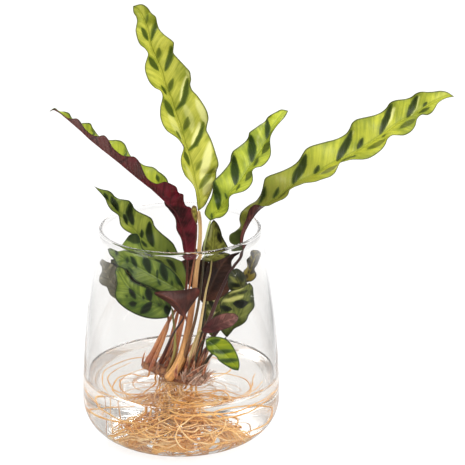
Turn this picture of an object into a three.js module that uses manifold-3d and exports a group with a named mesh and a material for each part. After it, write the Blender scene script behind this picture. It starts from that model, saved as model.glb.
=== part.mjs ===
// Rattlesnake plant (Goeppertia insignis) growing in a clear glass vase of water,
// with its roots showing. Millimetres, +Z up. The origin is the centre of the
// vase's flat base, X runs to the right, and the plant's front is -Y.
//
// Separate pieces: the vase, the water it holds, the rhizome, the main roots,
// a few dry scale leaves round the crown, and one stem and one blade per leaf.

import * as THREE from 'three';
import { mergeVertices } from 'three/addons/utils/BufferGeometryUtils.js';
import Module from 'manifold-3d';

// ---------------------------------------------------------------- dimensions
const GAP = 0.3;                 // clearance kept between neighbouring pieces

const VASE_SIDES = 36;           // facets round the vase
const VASE_FOOT_RADIUS = 52;     // flat base
const VASE_CORNER_RADIUS = 33;   // outer round between base and wall
const VASE_FLOOR = 5;            // glass thickness under the water
const VASE_INNER_CORNER = 28.5;  // inner round
// outer and inner wall, radius and height, from the widest part up to the rim
const VASE_WALL_OUT = [[85, 33], [85, 45], [84.4, 60], [83.4, 75], [82, 92], [79.8, 115], [76.2, 141], [72, 166], [68.7, 184.6]];
const VASE_LIP = [[68.3, 185.7], [67.4, 186.2], [66.5, 185.7]];
const VASE_WALL_IN = [[66.1, 184.6], [69.4, 166], [73.6, 141], [77.2, 115], [79.4, 92], [80.7, 75], [81.3, 60], [81.5, 48], [81, 33.5]];
const WATER_LEVEL = 55;

const LEAF_THICKNESS = 0.8;
const LEAF_CURL = 1.7;           // how far in from the margin its waves reach
const STEM_SIDES = 6;
const STEM_STEPS = 11;

const ROOT_RADIUS = 1.2;
const ROOT_SIDES = 5;
const ROOT_STEPS = 16;
const ROOT_TOP_LEVEL = 41;       // height at which the highest root runs
const ROOT_LEVEL_STEP = 3.3;     // and how far below it each next one runs

// rhizome: axis points and the radius at each
const RHIZOME_AXIS = [[-34, 9, 57.4], [-31, 7, 57], [-24, 3, 56], [-16, -3, 55], [-8, -10, 54.5], [0, -18, 54.5], [8, -26, 55.5], [15, -32, 57], [18, -34.5, 58]];
const RHIZOME_RADIUS = [2.2, 4.2, 5.8, 7, 7.7, 7.6, 6.6, 4.8, 2.4];

// roots: where each leaves the rhizome (0..1 along it), which way it sets off
// (degrees), how far it swings round the vase (degrees), how far out it runs,
// and its place in the stack of levels
const ROOTS = [
  { at: 0.10, way: 150, swing: 95, reach: 66, level: 3 },
  { at: 0.20, way: 245, swing: -80, reach: 70, level: 6 },
  { at: 0.29, way: 75, swing: 110, reach: 72, level: 1 },
  { at: 0.38, way: 222, swing: -100, reach: 60, level: 9 },
  { at: 0.47, way: 30, swing: 85, reach: 68, level: 4 },
  { at: 0.56, way: 255, swing: 95, reach: 72, level: 0 },
  { at: 0.65, way: 62, swing: -90, reach: 64, level: 7 },
  { at: 0.74, way: 215, swing: 120, reach: 66, level: 2 },
  { at: 0.83, way: 20, swing: -75, reach: 70, level: 5 },
  { at: 0.91, way: 285, swing: 80, reach: 62, level: 8 },
];

// leaf blades: rows from base to tip, each row the midrib point and the two
// margin points beside it (x, y, z each)
const LEAVES = {
  leaf_tall: [
    [15.9, -17, 205.8, 15.9, -17, 205.8, 15.9, -17, 205.8],
    [15.8, -16.6, 213.1, 14.6, -19.9, 215.5, 23.2, -16.2, 213.8],
    [15, -15.9, 220.1, 13.7, -18.9, 222.3, 26.9, -9.6, 220.6],
    [13.3, -15, 227, 11.5, -20.5, 229.9, 29.9, -16.1, 231.1],
    [12, -13.9, 233.8, 6.6, -25.2, 237.4, 31, -7.3, 235.6],
    [10.8, -12.4, 240.5, 3.2, -27.5, 244.4, 32.8, -15.2, 246.5],
    [9, -10.2, 247, 1.6, -25.5, 250.8, 31, -11.1, 253],
    [7.3, -7.7, 253.3, 2.5, -21.5, 257.1, 28.7, -6.8, 259.5],
    [4.9, -4.9, 259.3, 3.7, -18.4, 263.6, 26, -3, 265.6],
    [3.1, -2, 265.5, -1.6, -17.8, 269.6, 23, 0.6, 270.9],
    [1.2, 0.9, 271.7, -8.1, -18, 274.5, 24.1, -2.5, 279.8],
    [-0.9, 3.7, 277.8, -12.8, -16.6, 279.7, 23.4, -5.8, 288.9],
    [-3.3, 6.7, 283.9, -15.3, -13, 285.7, 20.2, 0.1, 293.7],
    [-5.4, 9.8, 289.9, -15.6, -8.4, 292, 16.1, 7.7, 297.8],
    [-7.6, 13, 295.9, -14.3, -3.3, 297.9, 10.5, 13.2, 303.1],
    [-10.4, 16.2, 301.7, -14.9, 1.3, 304, 9.8, 12.1, 310.9],
    [-13, 19.4, 307.6, -22.2, 3.7, 308.7, 9.4, 9.5, 317.6],
    [-14.6, 22.5, 313.9, -26.2, 4.3, 314.7, 5.2, 14.1, 322.5],
    [-17, 25.4, 319.9, -28.2, 7.9, 319.7, -1.2, 22.6, 327.4],
    [-19.8, 28.2, 325.9, -28.1, 14.7, 325.4, -5, 26.5, 332.9],
    [-22.9, 31, 331.7, -26.2, 20.1, 332.3, -4.5, 20.6, 341.5],
    [-24.9, 33.6, 338, -31.9, 22.8, 338, -9.3, 28.1, 343.9],
    [-26.3, 36.2, 344.4, -35.4, 24.9, 344.3, -15.4, 36.8, 346.8],
    [-27.9, 38.8, 350.8, -36.6, 28.1, 350.1, -18.8, 37.4, 354.5],
    [-30.5, 41.3, 356.9, -35.9, 35.3, 355, -22.7, 41.1, 361.1],
    [-34.1, 43.7, 362.6, -37.4, 41.3, 359.8, -28.4, 41.3, 367.9],
    [-39.4, 46, 366.8, -39.4, 46, 366.8, -39.4, 46, 366.8],
  ],
  leaf_short_right: [
    [25.9, -26, 200, 25.9, -26, 200, 25.9, -26, 200],
    [28.7, -25.7, 205.3, 21.9, -29.6, 211, 32.6, -31, 204.1],
    [33.2, -25, 209.2, 24.9, -28.7, 217.7, 38.2, -35.2, 208.6],
    [36.8, -24, 213.9, 26.6, -21.9, 219.8, 41.5, -33.8, 214.7],
    [39.8, -22.7, 218.9, 27.8, -19.3, 224.6, 41.6, -31.7, 221.1],
    [42.9, -20.8, 223.7, 28.3, -23, 234.1, 45.6, -32, 225.4],
    [46.8, -18, 227.5, 33.8, -16.9, 237.6, 52.3, -32.4, 227.4],
    [50.5, -14.5, 231.3, 37.2, -10.2, 239.6, 57.9, -31.8, 230.9],
    [53.9, -10.7, 235.3, 40.5, -3.3, 241.7, 61.2, -27, 235.5],
    [57.1, -6.9, 239.4, 42.9, -1.3, 248.2, 60.9, -19, 239.9],
    [61, -3.2, 243.2, 45.2, -4.1, 254.6, 65, -16.3, 243.8],
    [64.1, 0.7, 247.3, 49.4, 4.5, 255.4, 71.6, -14.7, 246.3],
    [67.3, 4.7, 251.5, 54.5, 13.1, 257.2, 75.3, -11.8, 250.4],
    [70.6, 8.9, 255.6, 57.8, 11.3, 263, 76.5, -5.3, 255.1],
    [73.7, 13.3, 259.7, 60.8, 13, 267.6, 76.1, 3.9, 259.8],
    [76.6, 17.9, 263.9, 65.7, 21.9, 268.7, 77.1, 11.1, 264.4],
    [79.5, 22.7, 268.1, 72.1, 29.1, 271, 80.3, 16.3, 268.2],
    [83.1, 27.6, 271.8, 76.6, 25.4, 277.6, 84.1, 21.3, 271.6],
    [87.1, 32.7, 275.2, 83.1, 33.9, 278.7, 88.3, 29.2, 273.8],
    [91.9, 38, 277.7, 91.9, 38, 277.7, 91.9, 38, 277.7],
  ],
  leaf_long_right: [
    [52, -16, 172.7, 52, -16, 172.7, 52, -16, 172.7],
    [52.8, -17, 180.7, 41.2, -17.3, 182.7, 50.8, -21.2, 184.3],
    [54.8, -17.6, 188.3, 48.2, -13.4, 188.3, 52.8, -24.3, 193.3],
    [58.2, -17.9, 195.3, 50.1, -14.2, 197.2, 55.7, -24.7, 200.9],
    [62.2, -18, 201.8, 53, -17.8, 206.9, 58.1, -25, 209.1],
    [67, -17.9, 207.6, 60.1, -10, 210.1, 65, -26.7, 214.6],
    [72.9, -17.4, 211.8, 67, -9.4, 216.1, 73.9, -28.9, 214],
    [79.1, -16.3, 215.5, 69.7, -13.8, 226.4, 80.8, -30.8, 218],
    [85.1, -14.7, 219.3, 71.9, -14.7, 234.3, 87.7, -31.2, 221.5],
    [90.8, -12.9, 223.7, 78.7, -9.9, 236.1, 91.6, -26.7, 226.6],
    [96.6, -10.9, 227.6, 86.9, -3.1, 237.1, 97.7, -23.9, 229.7],
    [103.1, -8.8, 230.6, 95.3, 1.6, 240.1, 104.4, -23.5, 232.1],
    [109.9, -6.8, 232.8, 100.8, -0.1, 246.6, 111.9, -23.3, 233.1],
    [116.3, -4.9, 236, 104.1, -3, 253.6, 119.3, -23, 235.4],
    [122.5, -2.8, 239.5, 109.6, -0.2, 257.5, 126.3, -22.1, 237.8],
    [129, -0.7, 242.5, 117.9, 4.8, 258.5, 131.2, -17.2, 242.2],
    [135.6, 1.6, 245.3, 125.9, 10.1, 259, 135.5, -13, 247.4],
    [142.2, 4, 248.1, 133.2, 15, 259.8, 143.1, -12, 249.1],
    [148.7, 6.4, 251, 139.6, 17.8, 262.7, 151.2, -11.3, 249.1],
    [155.1, 9, 254.2, 143.5, 15, 269.8, 159, -9.8, 250.1],
    [161.4, 11.5, 257.5, 147.6, 13.4, 276.4, 165.6, -6.8, 253.4],
    [167.6, 14.2, 261, 154.9, 17.9, 277.2, 171.3, -2, 257.6],
    [173.7, 16.8, 264.7, 162.5, 24.7, 277, 175.1, 3.3, 263.6],
    [179.7, 19.5, 268.5, 170, 30.3, 278.3, 182.7, 6, 265.2],
    [185.8, 22.3, 272.2, 175.8, 28.8, 284.8, 190.1, 5.9, 265.7],
    [192.4, 25.2, 275.1, 182.4, 26.2, 290.2, 196.2, 10.9, 268.7],
    [199, 28.2, 278, 190.9, 36.3, 288.6, 199.7, 18.7, 274.6],
    [205.4, 31.2, 281.2, 197.5, 34.8, 292, 206.3, 24.8, 277.7],
    [211.9, 34.3, 284.4, 204.3, 32.4, 296, 213.5, 26.2, 279.6],
    [218.6, 37.5, 287.1, 213.8, 40.2, 293.8, 218.2, 35, 284],
    [225.7, 40.7, 289.1, 223.1, 42.8, 293.7, 224.3, 38.8, 287.6],
    [233.4, 44, 288.4, 233.4, 44, 288.4, 233.4, 44, 288.4],
  ],
  leaf_long_left: [
    [6.1, -13, 162.2, 6.1, -13, 162.2, 6.1, -13, 162.2],
    [5.6, -13.2, 172.4, 13.2, -15.6, 172.7, 2.5, -13.8, 173],
    [4.3, -13.6, 182.6, 14.7, -18.6, 184.6, 0.4, -11, 180.9],
    [2.4, -14.3, 190.2, 14.2, -18.6, 195.3, -3, -11.2, 188.2],
    [0.2, -15.1, 196.5, 12.2, -18, 202.2, -3.1, -16.2, 196.2],
    [-2.4, -16.4, 202.8, 9.3, -17.5, 209.2, -5.4, -16.7, 202.2],
    [-5.9, -18.2, 208.6, 4.3, -20.9, 214.8, -9.1, -15.8, 206.9],
    [-10.5, -20.2, 213.8, 2.9, -30.2, 225.3, -12.7, -14.2, 211.3],
    [-15.2, -22.2, 219.4, -1.6, -34.1, 231.6, -11.6, -13.1, 220.3],
    [-19.7, -24.2, 224.5, -8.9, -33.1, 235.7, -9.1, -15.9, 230.9],
    [-23.2, -26.4, 228.7, -17.5, -31.8, 234.4, -13.2, -19.9, 238.6],
    [-27.1, -28.7, 232.5, -23.1, -33.8, 237.2, -18.5, -20, 243],
    [-31.8, -31.1, 237.2, -26.9, -38.7, 243, -23, -19.9, 245.6],
    [-36.3, -33.5, 242, -29.3, -44.2, 250.8, -29, -20.5, 246.9],
    [-40.7, -36, 246.8, -31.7, -49, 258.4, -34.3, -21.5, 250.5],
    [-45.2, -38.5, 251.5, -36.3, -50.4, 263.3, -39.2, -23.4, 254.9],
    [-49.6, -41.1, 256.3, -43.2, -47.8, 263.1, -42.1, -28.5, 262.4],
    [-54.1, -43.7, 260.9, -48.9, -48.2, 266.2, -44.5, -35.5, 270.6],
    [-58.6, -46.4, 265.6, -53.1, -53, 271.9, -50.3, -38.5, 274.1],
    [-63, -49.1, 270.3, -55.7, -59.1, 279.4, -57.3, -38.3, 273.9],
    [-67.4, -51.7, 274.9, -60, -63.4, 285.1, -63.4, -39.8, 276.4],
    [-71.8, -54.4, 279.6, -66.9, -60.2, 283.9, -66.8, -45.7, 282.7],
    [-75.8, -57, 284.6, -72.3, -59.4, 286.9, -69.6, -52.6, 289.8],
    [-79.9, -59.6, 289.5, -75.9, -64.6, 293.1, -75, -55.2, 293.3],
    [-84.1, -62.1, 294.3, -78.9, -70.8, 300.3, -82.1, -53.7, 293.3],
    [-88.3, -64.6, 298.9, -85.7, -67.1, 300.1, -85.7, -60.8, 300.1],
    [-92.5, -67.1, 303.5, -91.1, -67.1, 303, -89.8, -65.2, 305.4],
    [-97.2, -69.6, 307.5, -95.6, -71.5, 308.3, -96, -67.1, 307.2],
    [-102.3, -72, 307.4, -102.3, -72, 307.4, -102.3, -72, 307.4],
  ],
  leaf_left: [
    [4.9, 4, 128.6, 4.9, 4, 128.6, 4.9, 4, 128.6],
    [2.1, 3.3, 134.4, -3.4, -0, 132.2, 5.8, 3.6, 137.1],
    [-0.9, 2.7, 140, -8.3, -3.1, 137, 4.6, 6.9, 142.8],
    [-4.2, 2.2, 145.5, -12.5, -4.9, 141.4, 2.6, 9.2, 148.7],
    [-7.8, 1.7, 150.6, -16.4, -6.4, 145.9, 0, 8.3, 155.4],
    [-11.5, 1.3, 155.6, -20.1, -7.6, 150.6, -2.8, 5.4, 162.4],
    [-15.5, 1, 160.3, -23.4, -8.1, 155, -5.8, 3.6, 169.5],
    [-19.8, 0.8, 164.7, -26.6, -8.1, 159.6, -10.4, 4.7, 174.1],
    [-24.2, 0.5, 168.9, -29.9, -7.9, 164.5, -15.3, 7.6, 177.2],
    [-28.7, 0.3, 172.9, -33.2, -7.4, 169.5, -20, 9.7, 181],
    [-33.3, 0.1, 176.8, -35.9, -6.8, 175.5, -22.7, 6.3, 187.4],
    [-37.6, 0, 181.1, -39.2, -6.5, 181.1, -24.7, 2.5, 193.4],
    [-41.5, -0, 185.7, -44.6, -8.9, 185.1, -29.2, 5.1, 195.1],
    [-45.2, 0.2, 190.5, -49.2, -10.1, 189.6, -34.8, 8.4, 196.6],
    [-48.9, 1, 195, -51.2, -5.3, 194.2, -39.4, 7.3, 201.1],
    [-52.6, 2.1, 199.5, -53.7, -3.3, 199, -42.3, 2.4, 208.3],
    [-56.5, 3.5, 203.6, -58.4, -4.4, 203, -49.6, 8.2, 208.1],
    [-60.5, 5.3, 207.7, -61.7, -0.3, 207, -55.4, 9, 210.5],
    [-64.5, 7.4, 211.6, -64.6, 6.8, 210.5, -59.5, 5.5, 216.1],
    [-68.6, 9.6, 215.3, -68.5, 8.6, 214.5, -66.3, 9.8, 216.5],
    [-73.1, 12, 218.7, -73.1, 12, 218.7, -73.1, 12, 218.7],
  ],
  leaf_inner_left: [
    [3.6, -14, 130.6, 3.6, -14, 130.6, 3.6, -14, 130.6],
    [-0.9, -15.4, 134.3, -3.8, -18.6, 130.4, 2.2, -15.4, 139.8],
    [-5.3, -16.6, 137.8, -9.2, -20.9, 132.5, -0.9, -15.6, 145.6],
    [-9.9, -17.6, 141.1, -14.1, -21.1, 134.6, -4.8, -15.8, 150.8],
    [-14.5, -17.9, 144.1, -19, -20.8, 136.5, -9, -15.3, 155],
    [-19.2, -18, 146.9, -24, -21.3, 138.8, -13.7, -14.6, 157.9],
    [-23.9, -18, 149.6, -29, -22.4, 141.4, -18.4, -13.9, 160.8],
    [-28.5, -18, 152.4, -33.9, -24, 144.3, -23.1, -13.2, 163.7],
    [-33.2, -18, 155.2, -38.3, -24.8, 147.8, -27.6, -12.8, 167.9],
    [-37.8, -17.8, 157.8, -41.7, -22.5, 152, -31.5, -12.5, 171.5],
    [-42.5, -17, 160.3, -45.8, -20.6, 155.2, -33.5, -12.3, 178.4],
    [-47.2, -15.4, 162.6, -51.1, -21.3, 157.4, -36, -12.8, 184.2],
    [-51.8, -13.2, 164.8, -54.6, -14.7, 160.4, -41.9, -13.6, 183.4],
    [-56.4, -10.7, 167.1, -58.2, -12.6, 164.5, -52.5, -8.9, 171.4],
    [-61.1, -8, 169.2, -61.1, -8, 169.2, -61.1, -8, 169.2],
  ],
  leaf_low_left: [
    [-6.6, -33, 125.5, -6.6, -33, 125.5, -6.6, -33, 125.5],
    [-11.2, -34.4, 126.7, -12, -37.8, 118.1, -9.6, -35, 133.6],
    [-15.7, -35.6, 128.1, -17.8, -40.2, 118.2, -13, -35.9, 137.5],
    [-20.2, -36.5, 129.9, -23.8, -41.3, 118.7, -16.3, -36.3, 140.2],
    [-24.5, -37, 132, -29.7, -41.6, 120, -19.7, -36.3, 142.1],
    [-28.6, -37.4, 134.4, -35.1, -41.7, 122, -23.5, -36.1, 143.6],
    [-32.6, -37.7, 137, -40.4, -41.9, 124.9, -27.3, -35.8, 144.8],
    [-36.3, -37.9, 140, -45.8, -42.9, 129, -30.9, -35.5, 146.1],
    [-39.7, -37.9, 143.4, -50.3, -44.3, 134, -34.8, -35.3, 147.7],
    [-42.8, -37, 146.8, -53.2, -43, 139.5, -38.8, -34.3, 149.4],
    [-45.5, -35, 150.1, -52.6, -37.4, 145.2, -41.4, -33, 152.6],
    [-48.1, -31.9, 153.3, -52.8, -33.1, 150.2, -43.7, -31.7, 156.1],
    [-50.4, -28.3, 156.4, -53.6, -30.6, 155, -46.1, -28.7, 159],
    [-52.4, -24, 159.4, -52.4, -24, 159.4, -52.4, -24, 159.4],
  ],
  leaf_grey_left: [
    [-18.2, -14, 117.5, -18.2, -14, 117.5, -18.2, -14, 117.5],
    [-23.6, -13.5, 117.3, -24.4, -16.3, 115.4, -23.3, -13.8, 121.9],
    [-29, -12.5, 117.9, -30.5, -17.1, 115.3, -27.7, -11.2, 123.8],
    [-34.2, -11.4, 119.2, -36.4, -15.9, 116.4, -31.8, -6.8, 124.9],
    [-39.2, -10.3, 121.2, -41.9, -13.7, 118.1, -35.6, -3.9, 127],
    [-43.9, -9.2, 123.7, -47.2, -11.4, 120.4, -38.9, -2.3, 130],
    [-48.3, -7.7, 126.6, -52.3, -10.1, 123.2, -41.9, -1, 133.3],
    [-52.3, -5.9, 129.8, -57.5, -11.2, 127, -44.6, 0, 136.8],
    [-56.1, -4.1, 133.3, -61.2, -7.9, 131, -47, 0.5, 140.5],
    [-59.3, -2.3, 137.3, -65.1, -4.2, 134.5, -49.5, 0.8, 144.1],
    [-62.2, -0.5, 141.6, -69.4, -4.8, 139.6, -52.3, 1.1, 147.5],
    [-64.5, 1, 146.3, -67.7, 1, 145.1, -55.8, 1.4, 150.9],
    [-66.2, 1.7, 151.5, -68, 0.4, 151.7, -61.1, 1.4, 154],
    [-67.3, 2, 157, -67.3, 2, 157, -67.3, 2, 157],
  ],
  leaf_folded: [
    [3.6, -40, 119.6, 3.6, -40, 119.6, 3.6, -40, 119.6],
    [2.7, -40.9, 123.1, 0.4, -39.8, 121.7, 6.8, -37, 123.8],
    [1.5, -41.8, 126.5, -1.7, -39.7, 123.9, 11.1, -36.4, 130.3],
    [-0.2, -42.8, 129.7, -3.6, -39.9, 126.1, 16.7, -36.9, 139.3],
    [-2.1, -43.7, 132.6, -5.4, -40.4, 128.3, 14.1, -36, 144.6],
    [-4.3, -44.5, 135.2, -7.2, -40.8, 130.4, 5.9, -34.8, 142.6],
    [-6.8, -44.9, 137.3, -9.2, -40.9, 132.4, -0.4, -36.2, 142.2],
    [-9.5, -45.1, 139.1, -11.4, -41.2, 134.2, -5.3, -39.2, 143.1],
    [-12.3, -45.1, 140.6, -13.8, -41.6, 135.9, -9.4, -41.9, 143.9],
    [-15.2, -44.9, 141.7, -16.3, -42.3, 137.8, -13.3, -43.9, 144.5],
    [-18.1, -44.6, 142.5, -18.8, -43.1, 139.7, -17, -44.9, 144.5],
    [-21.2, -44, 143.1, -21.2, -44, 143.1, -21.2, -44, 143.1],
  ],
  leaf_maroon_right: [
    [21.5, 14, 113.9, 21.5, 14, 113.9, 21.5, 14, 113.9],
    [22.9, 14.6, 118, 18.7, 15.2, 119.5, 29.9, 11.1, 116.1],
    [24.4, 15.2, 122, 18.4, 17.3, 123.7, 35.1, 10.1, 118.9],
    [26, 15.7, 126.1, 18.9, 19.7, 127.7, 39, 9.9, 122],
    [27.6, 16.2, 130.1, 19.9, 22.1, 131.5, 41.8, 9.9, 125.4],
    [29.3, 16.5, 134.1, 20.9, 23.7, 135.7, 43.6, 10.1, 129.2],
    [31.1, 16.9, 138.1, 22, 22.5, 141, 44.6, 10.6, 132.8],
    [33.1, 17.1, 142, 23.7, 21.6, 146.1, 45.1, 11.5, 136.7],
    [35.3, 17.3, 145.8, 27.7, 22.7, 149.4, 44.8, 13, 140.4],
    [37.9, 17.6, 149.3, 32.2, 23.4, 152, 44.1, 14.7, 144.8],
    [40.7, 17.7, 152.7, 36.2, 22, 155.3, 43.8, 16.1, 149.6],
    [43.7, 17.9, 155.7, 40.5, 19.4, 158.8, 46, 16.1, 153.3],
    [47.1, 18, 158.4, 45.1, 18.1, 161.2, 49, 15.5, 156.2],
    [50.8, 18, 160.5, 50.8, 18, 160.5, 50.8, 18, 160.5],
  ],
  leaf_olive_right: [
    [56.3, -6, 138.6, 56.3, -6, 138.6, 56.3, -6, 138.6],
    [57.2, -5.5, 141, 53.9, -5.5, 142.3, 61.7, -7.4, 140.7],
    [58, -5, 143.5, 53.3, -2.2, 144.1, 64.1, -8.2, 143.8],
    [58.7, -4.6, 146, 53.7, 2.2, 145.2, 64.4, -7.4, 146.5],
    [59.4, -4.1, 148.6, 55.6, 6.5, 146.2, 63.1, -6.5, 149],
    [60.2, -3.7, 151.1, 57.3, 8.4, 148, 63.3, -6.3, 151.9],
    [61, -3.2, 153.5, 56.8, 5.9, 152.2, 65, -6.3, 154.3],
    [61.9, -2.8, 156, 56.8, 2.8, 156.3, 66, -6, 156.8],
    [62.9, -2.3, 158.4, 59.1, 6.9, 157, 66.8, -5.5, 159.3],
    [63.8, -1.9, 160.8, 59.7, 2.8, 161.1, 67.9, -4.8, 161.8],
    [64.7, -1.4, 163.3, 60.4, -1.3, 165.3, 68, -3.6, 164.1],
    [65.7, -1, 165.7, 65.7, -1, 165.7, 65.7, -1, 165.7],
  ],
  leaf_dark_upper: [
    [53.3, -16, 134.1, 53.3, -16, 134.1, 53.3, -16, 134.1],
    [52.4, -17, 136.6, 46.8, -20.1, 134.6, 55.2, -14.9, 137.2],
    [51.4, -17.8, 139.1, 43.3, -22.4, 136.4, 55.9, -14.2, 140],
    [50.5, -18.5, 141.6, 41.4, -23.1, 138.5, 55.9, -14.5, 142.8],
    [49.5, -18.9, 143.9, 40.5, -23.1, 140.8, 55.5, -14.9, 145.5],
    [48.6, -19, 146.1, 40.1, -22.5, 142.9, 54.6, -14.9, 148.1],
    [47.5, -18.6, 148.1, 40.1, -21.5, 144.7, 53.1, -14.7, 150.4],
    [46.3, -17.9, 149.9, 40.2, -20.2, 146.7, 51.1, -14.9, 152.5],
    [45, -17.1, 151.5, 40.6, -19.4, 149, 48.3, -15.4, 154.2],
    [43.6, -16, 153, 43.6, -16, 153, 43.6, -16, 153],
  ],
  leaf_dark_lower: [
    [38.9, -30, 97.7, 38.9, -30, 97.7, 38.9, -30, 97.7],
    [41.4, -30.2, 101.8, 33.5, -29.9, 106.2, 42.7, -32.1, 102.2],
    [43.8, -29.7, 105.9, 32.9, -27.7, 111, 45.7, -31.1, 105.7],
    [46, -29.1, 109.9, 33.3, -25.6, 115.2, 50.5, -32.7, 109.1],
    [48.1, -28.6, 114.1, 34.3, -23.5, 119, 54.7, -34, 112.9],
    [50.1, -27.9, 118.2, 33.3, -21.7, 123.8, 57, -30.7, 116.4],
    [51.8, -26.6, 122.3, 34.7, -20.8, 128.1, 59.7, -30.4, 121],
    [53.2, -25.3, 126.5, 37.6, -22, 132.7, 62.1, -30.3, 125.5],
    [54.5, -24, 130.6, 41.8, -25.6, 137.3, 62.2, -26.3, 129.1],
    [55.9, -22.2, 134.6, 47.5, -27, 139.8, 61.8, -22.6, 133],
    [57.2, -20.1, 138.5, 53.5, -23.2, 140.8, 61.3, -22, 138.1],
    [58.4, -18, 142.5, 58.4, -18, 142.5, 58.4, -18, 142.5],
  ],
  leaf_pink: [
    [18.3, -42, 108.7, 18.3, -42, 108.7, 18.3, -42, 108.7],
    [21.5, -42.5, 109.7, 20.7, -40.3, 112.2, 22.3, -45, 107.1],
    [24.7, -43, 110.9, 23.1, -39, 114.3, 26, -45.5, 107.4],
    [27.8, -43.5, 112.2, 25.7, -38.5, 116.4, 29.4, -45.4, 108.1],
    [30.8, -43.9, 113.6, 28.2, -38.4, 118.5, 32.7, -45.8, 109.3],
    [33.8, -44.2, 115.1, 31, -38.4, 120.3, 35.9, -46.6, 110.7],
    [36.8, -44.1, 116.5, 34.1, -38.1, 121.5, 39, -47.2, 112.1],
    [39.8, -43.7, 117.7, 37.4, -38.2, 122.3, 42.1, -47.1, 113.4],
    [42.9, -43.2, 118.9, 40.8, -38.9, 122.9, 44.9, -46.4, 115.1],
    [45.9, -42.6, 119.9, 44.8, -40.3, 123.3, 47.2, -44.9, 116.9],
    [49, -42, 120.7, 49, -42, 120.7, 49, -42, 120.7],
  ],
  leaf_small_striped: [
    [21.7, -44, 101.8, 21.7, -44, 101.8, 21.7, -44, 101.8],
    [24.9, -45.2, 99.9, 22, -46.7, 96.4, 27.6, -43.8, 103.5],
    [28, -46.3, 97.9, 23.6, -49, 93, 32.4, -43.7, 103.5],
    [31.1, -47.3, 95.8, 26.4, -51.5, 91.5, 36.8, -44.3, 102.5],
    [34, -48.4, 93.6, 29.4, -53.1, 89.9, 40.6, -45.4, 100.6],
    [36.9, -49.4, 91.2, 31.7, -54, 87.3, 43.5, -46.4, 97.6],
    [39.6, -50.1, 88.5, 34.1, -54.2, 84.7, 45.8, -47.1, 93.8],
    [42.2, -50.6, 85.6, 37.1, -53.9, 82.3, 47.7, -47.8, 89.7],
    [44.6, -51, 82.6, 40.3, -53.1, 79.8, 49.1, -48.9, 85.6],
    [46.9, -51.5, 79.5, 43.8, -52.3, 77.4, 49.9, -50.4, 81.4],
    [49, -52, 76.2, 49, -52, 76.2, 49, -52, 76.2],
  ],
  leaf_rim_back: [
    [26.5, 1, 153.3, 26.5, 1, 153.3, 26.5, 1, 153.3],
    [26.8, 1.5, 157, 19.1, 3.4, 156.3, 33.7, -1, 157],
    [27.2, 2, 160.8, 18.1, 5.4, 159.7, 39.2, -1.7, 160.4],
    [27.5, 2.6, 164.5, 18, 6.6, 163.3, 41.5, -1.3, 164.1],
    [27.8, 3.3, 168.2, 18.7, 7.3, 167, 40.6, -0, 167.8],
    [28.1, 4, 171.8, 19.9, 8, 170.7, 38.7, 1.5, 171.5],
    [28.4, 4.8, 175.5, 21.3, 8.8, 174.2, 36.4, 2.9, 175.2],
    [28.6, 5.7, 179.1, 22.8, 9.4, 177.8, 35, 4, 179.1],
    [28.7, 6.7, 182.7, 24.2, 9.5, 181.5, 33.8, 4.2, 183.2],
    [28.6, 7.8, 186.2, 25.7, 9.3, 185.3, 31.8, 5.7, 186.9],
    [28.3, 9, 189.7, 28.3, 9, 189.7, 28.3, 9, 189.7],
  ],
  leaf_young: [
    [14.4, -24, 196.7, 14.4, -24, 196.7, 14.4, -24, 196.7],
    [14, -24.3, 198.8, 13.2, -25.2, 199.1, 14.9, -25.4, 199.4],
    [13.7, -24.7, 201, 12.3, -26.2, 201.3, 15.2, -26.5, 202],
    [13.4, -25, 203.2, 11.5, -26.9, 203.5, 15.3, -27.3, 204.4],
    [13.1, -25.4, 205.4, 10.8, -27.4, 205.7, 15.3, -27.8, 206.6],
    [12.8, -25.8, 207.6, 10.3, -27.7, 207.8, 15.2, -28.1, 208.8],
    [12.5, -26.1, 209.7, 10, -27.6, 209.9, 15, -27.9, 210.8],
    [12.2, -26.1, 211.8, 10.3, -27, 211.9, 14.5, -27.2, 212.6],
    [12, -26, 213.8, 12, -26, 213.8, 12, -26, 213.8],
  ],
  leaf_back_centre: [
    [18.7, 30, 106.1, 18.7, 30, 106.1, 18.7, 30, 106.1],
    [18.2, 30, 109.3, 15.6, 29.1, 110.7, 20.3, 30, 110.3],
    [17.5, 30, 112.9, 13.1, 27.1, 115.3, 21.4, 31.2, 114],
    [16.7, 30, 116.9, 11.1, 29.3, 118.3, 23.4, 33.2, 118],
    [16, 30, 121.3, 7.5, 32.6, 121, 25.4, 30.1, 123.8],
    [15.2, 30, 125.9, 4.2, 30.7, 125.8, 25.4, 27, 129.2],
    [14.4, 30, 130.6, 3.7, 28.3, 130.9, 24.6, 29.1, 132.7],
    [13.6, 30, 135.3, 3.4, 30.4, 134.6, 24.9, 31.8, 136.5],
    [12.6, 30, 140.1, 1.4, 32.9, 138.2, 24.4, 29.7, 142.1],
    [11.5, 30, 144.4, -0.5, 30.4, 143.3, 21.7, 27.5, 147.3],
    [10.4, 30.3, 148.2, 0.1, 27.1, 148.2, 18.1, 30.6, 149.9],
    [9.1, 30.5, 151.8, 1.7, 28.9, 151.6, 15.5, 34.2, 152.3],
    [7.6, 30.8, 155.5, 2.9, 31.7, 154.7, 11.7, 32, 156.3],
    [5.9, 31, 159.2, 5.9, 31, 159.2, 5.9, 31, 159.2],
  ],
  leaf_back_lower: [
    [25.6, 23, 78, 25.6, 23, 78, 25.6, 23, 78],
    [26.2, 23.2, 81, 23, 24.1, 81.4, 29.3, 21.5, 81.1],
    [26.9, 23.5, 84.6, 21.5, 22.8, 86.2, 32.2, 22.4, 83.9],
    [27.5, 23.7, 88.8, 21, 23.9, 90.5, 36.4, 25.3, 86.3],
    [28.1, 23.9, 93, 19.6, 26.2, 94.7, 40.4, 24.1, 90.5],
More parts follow.
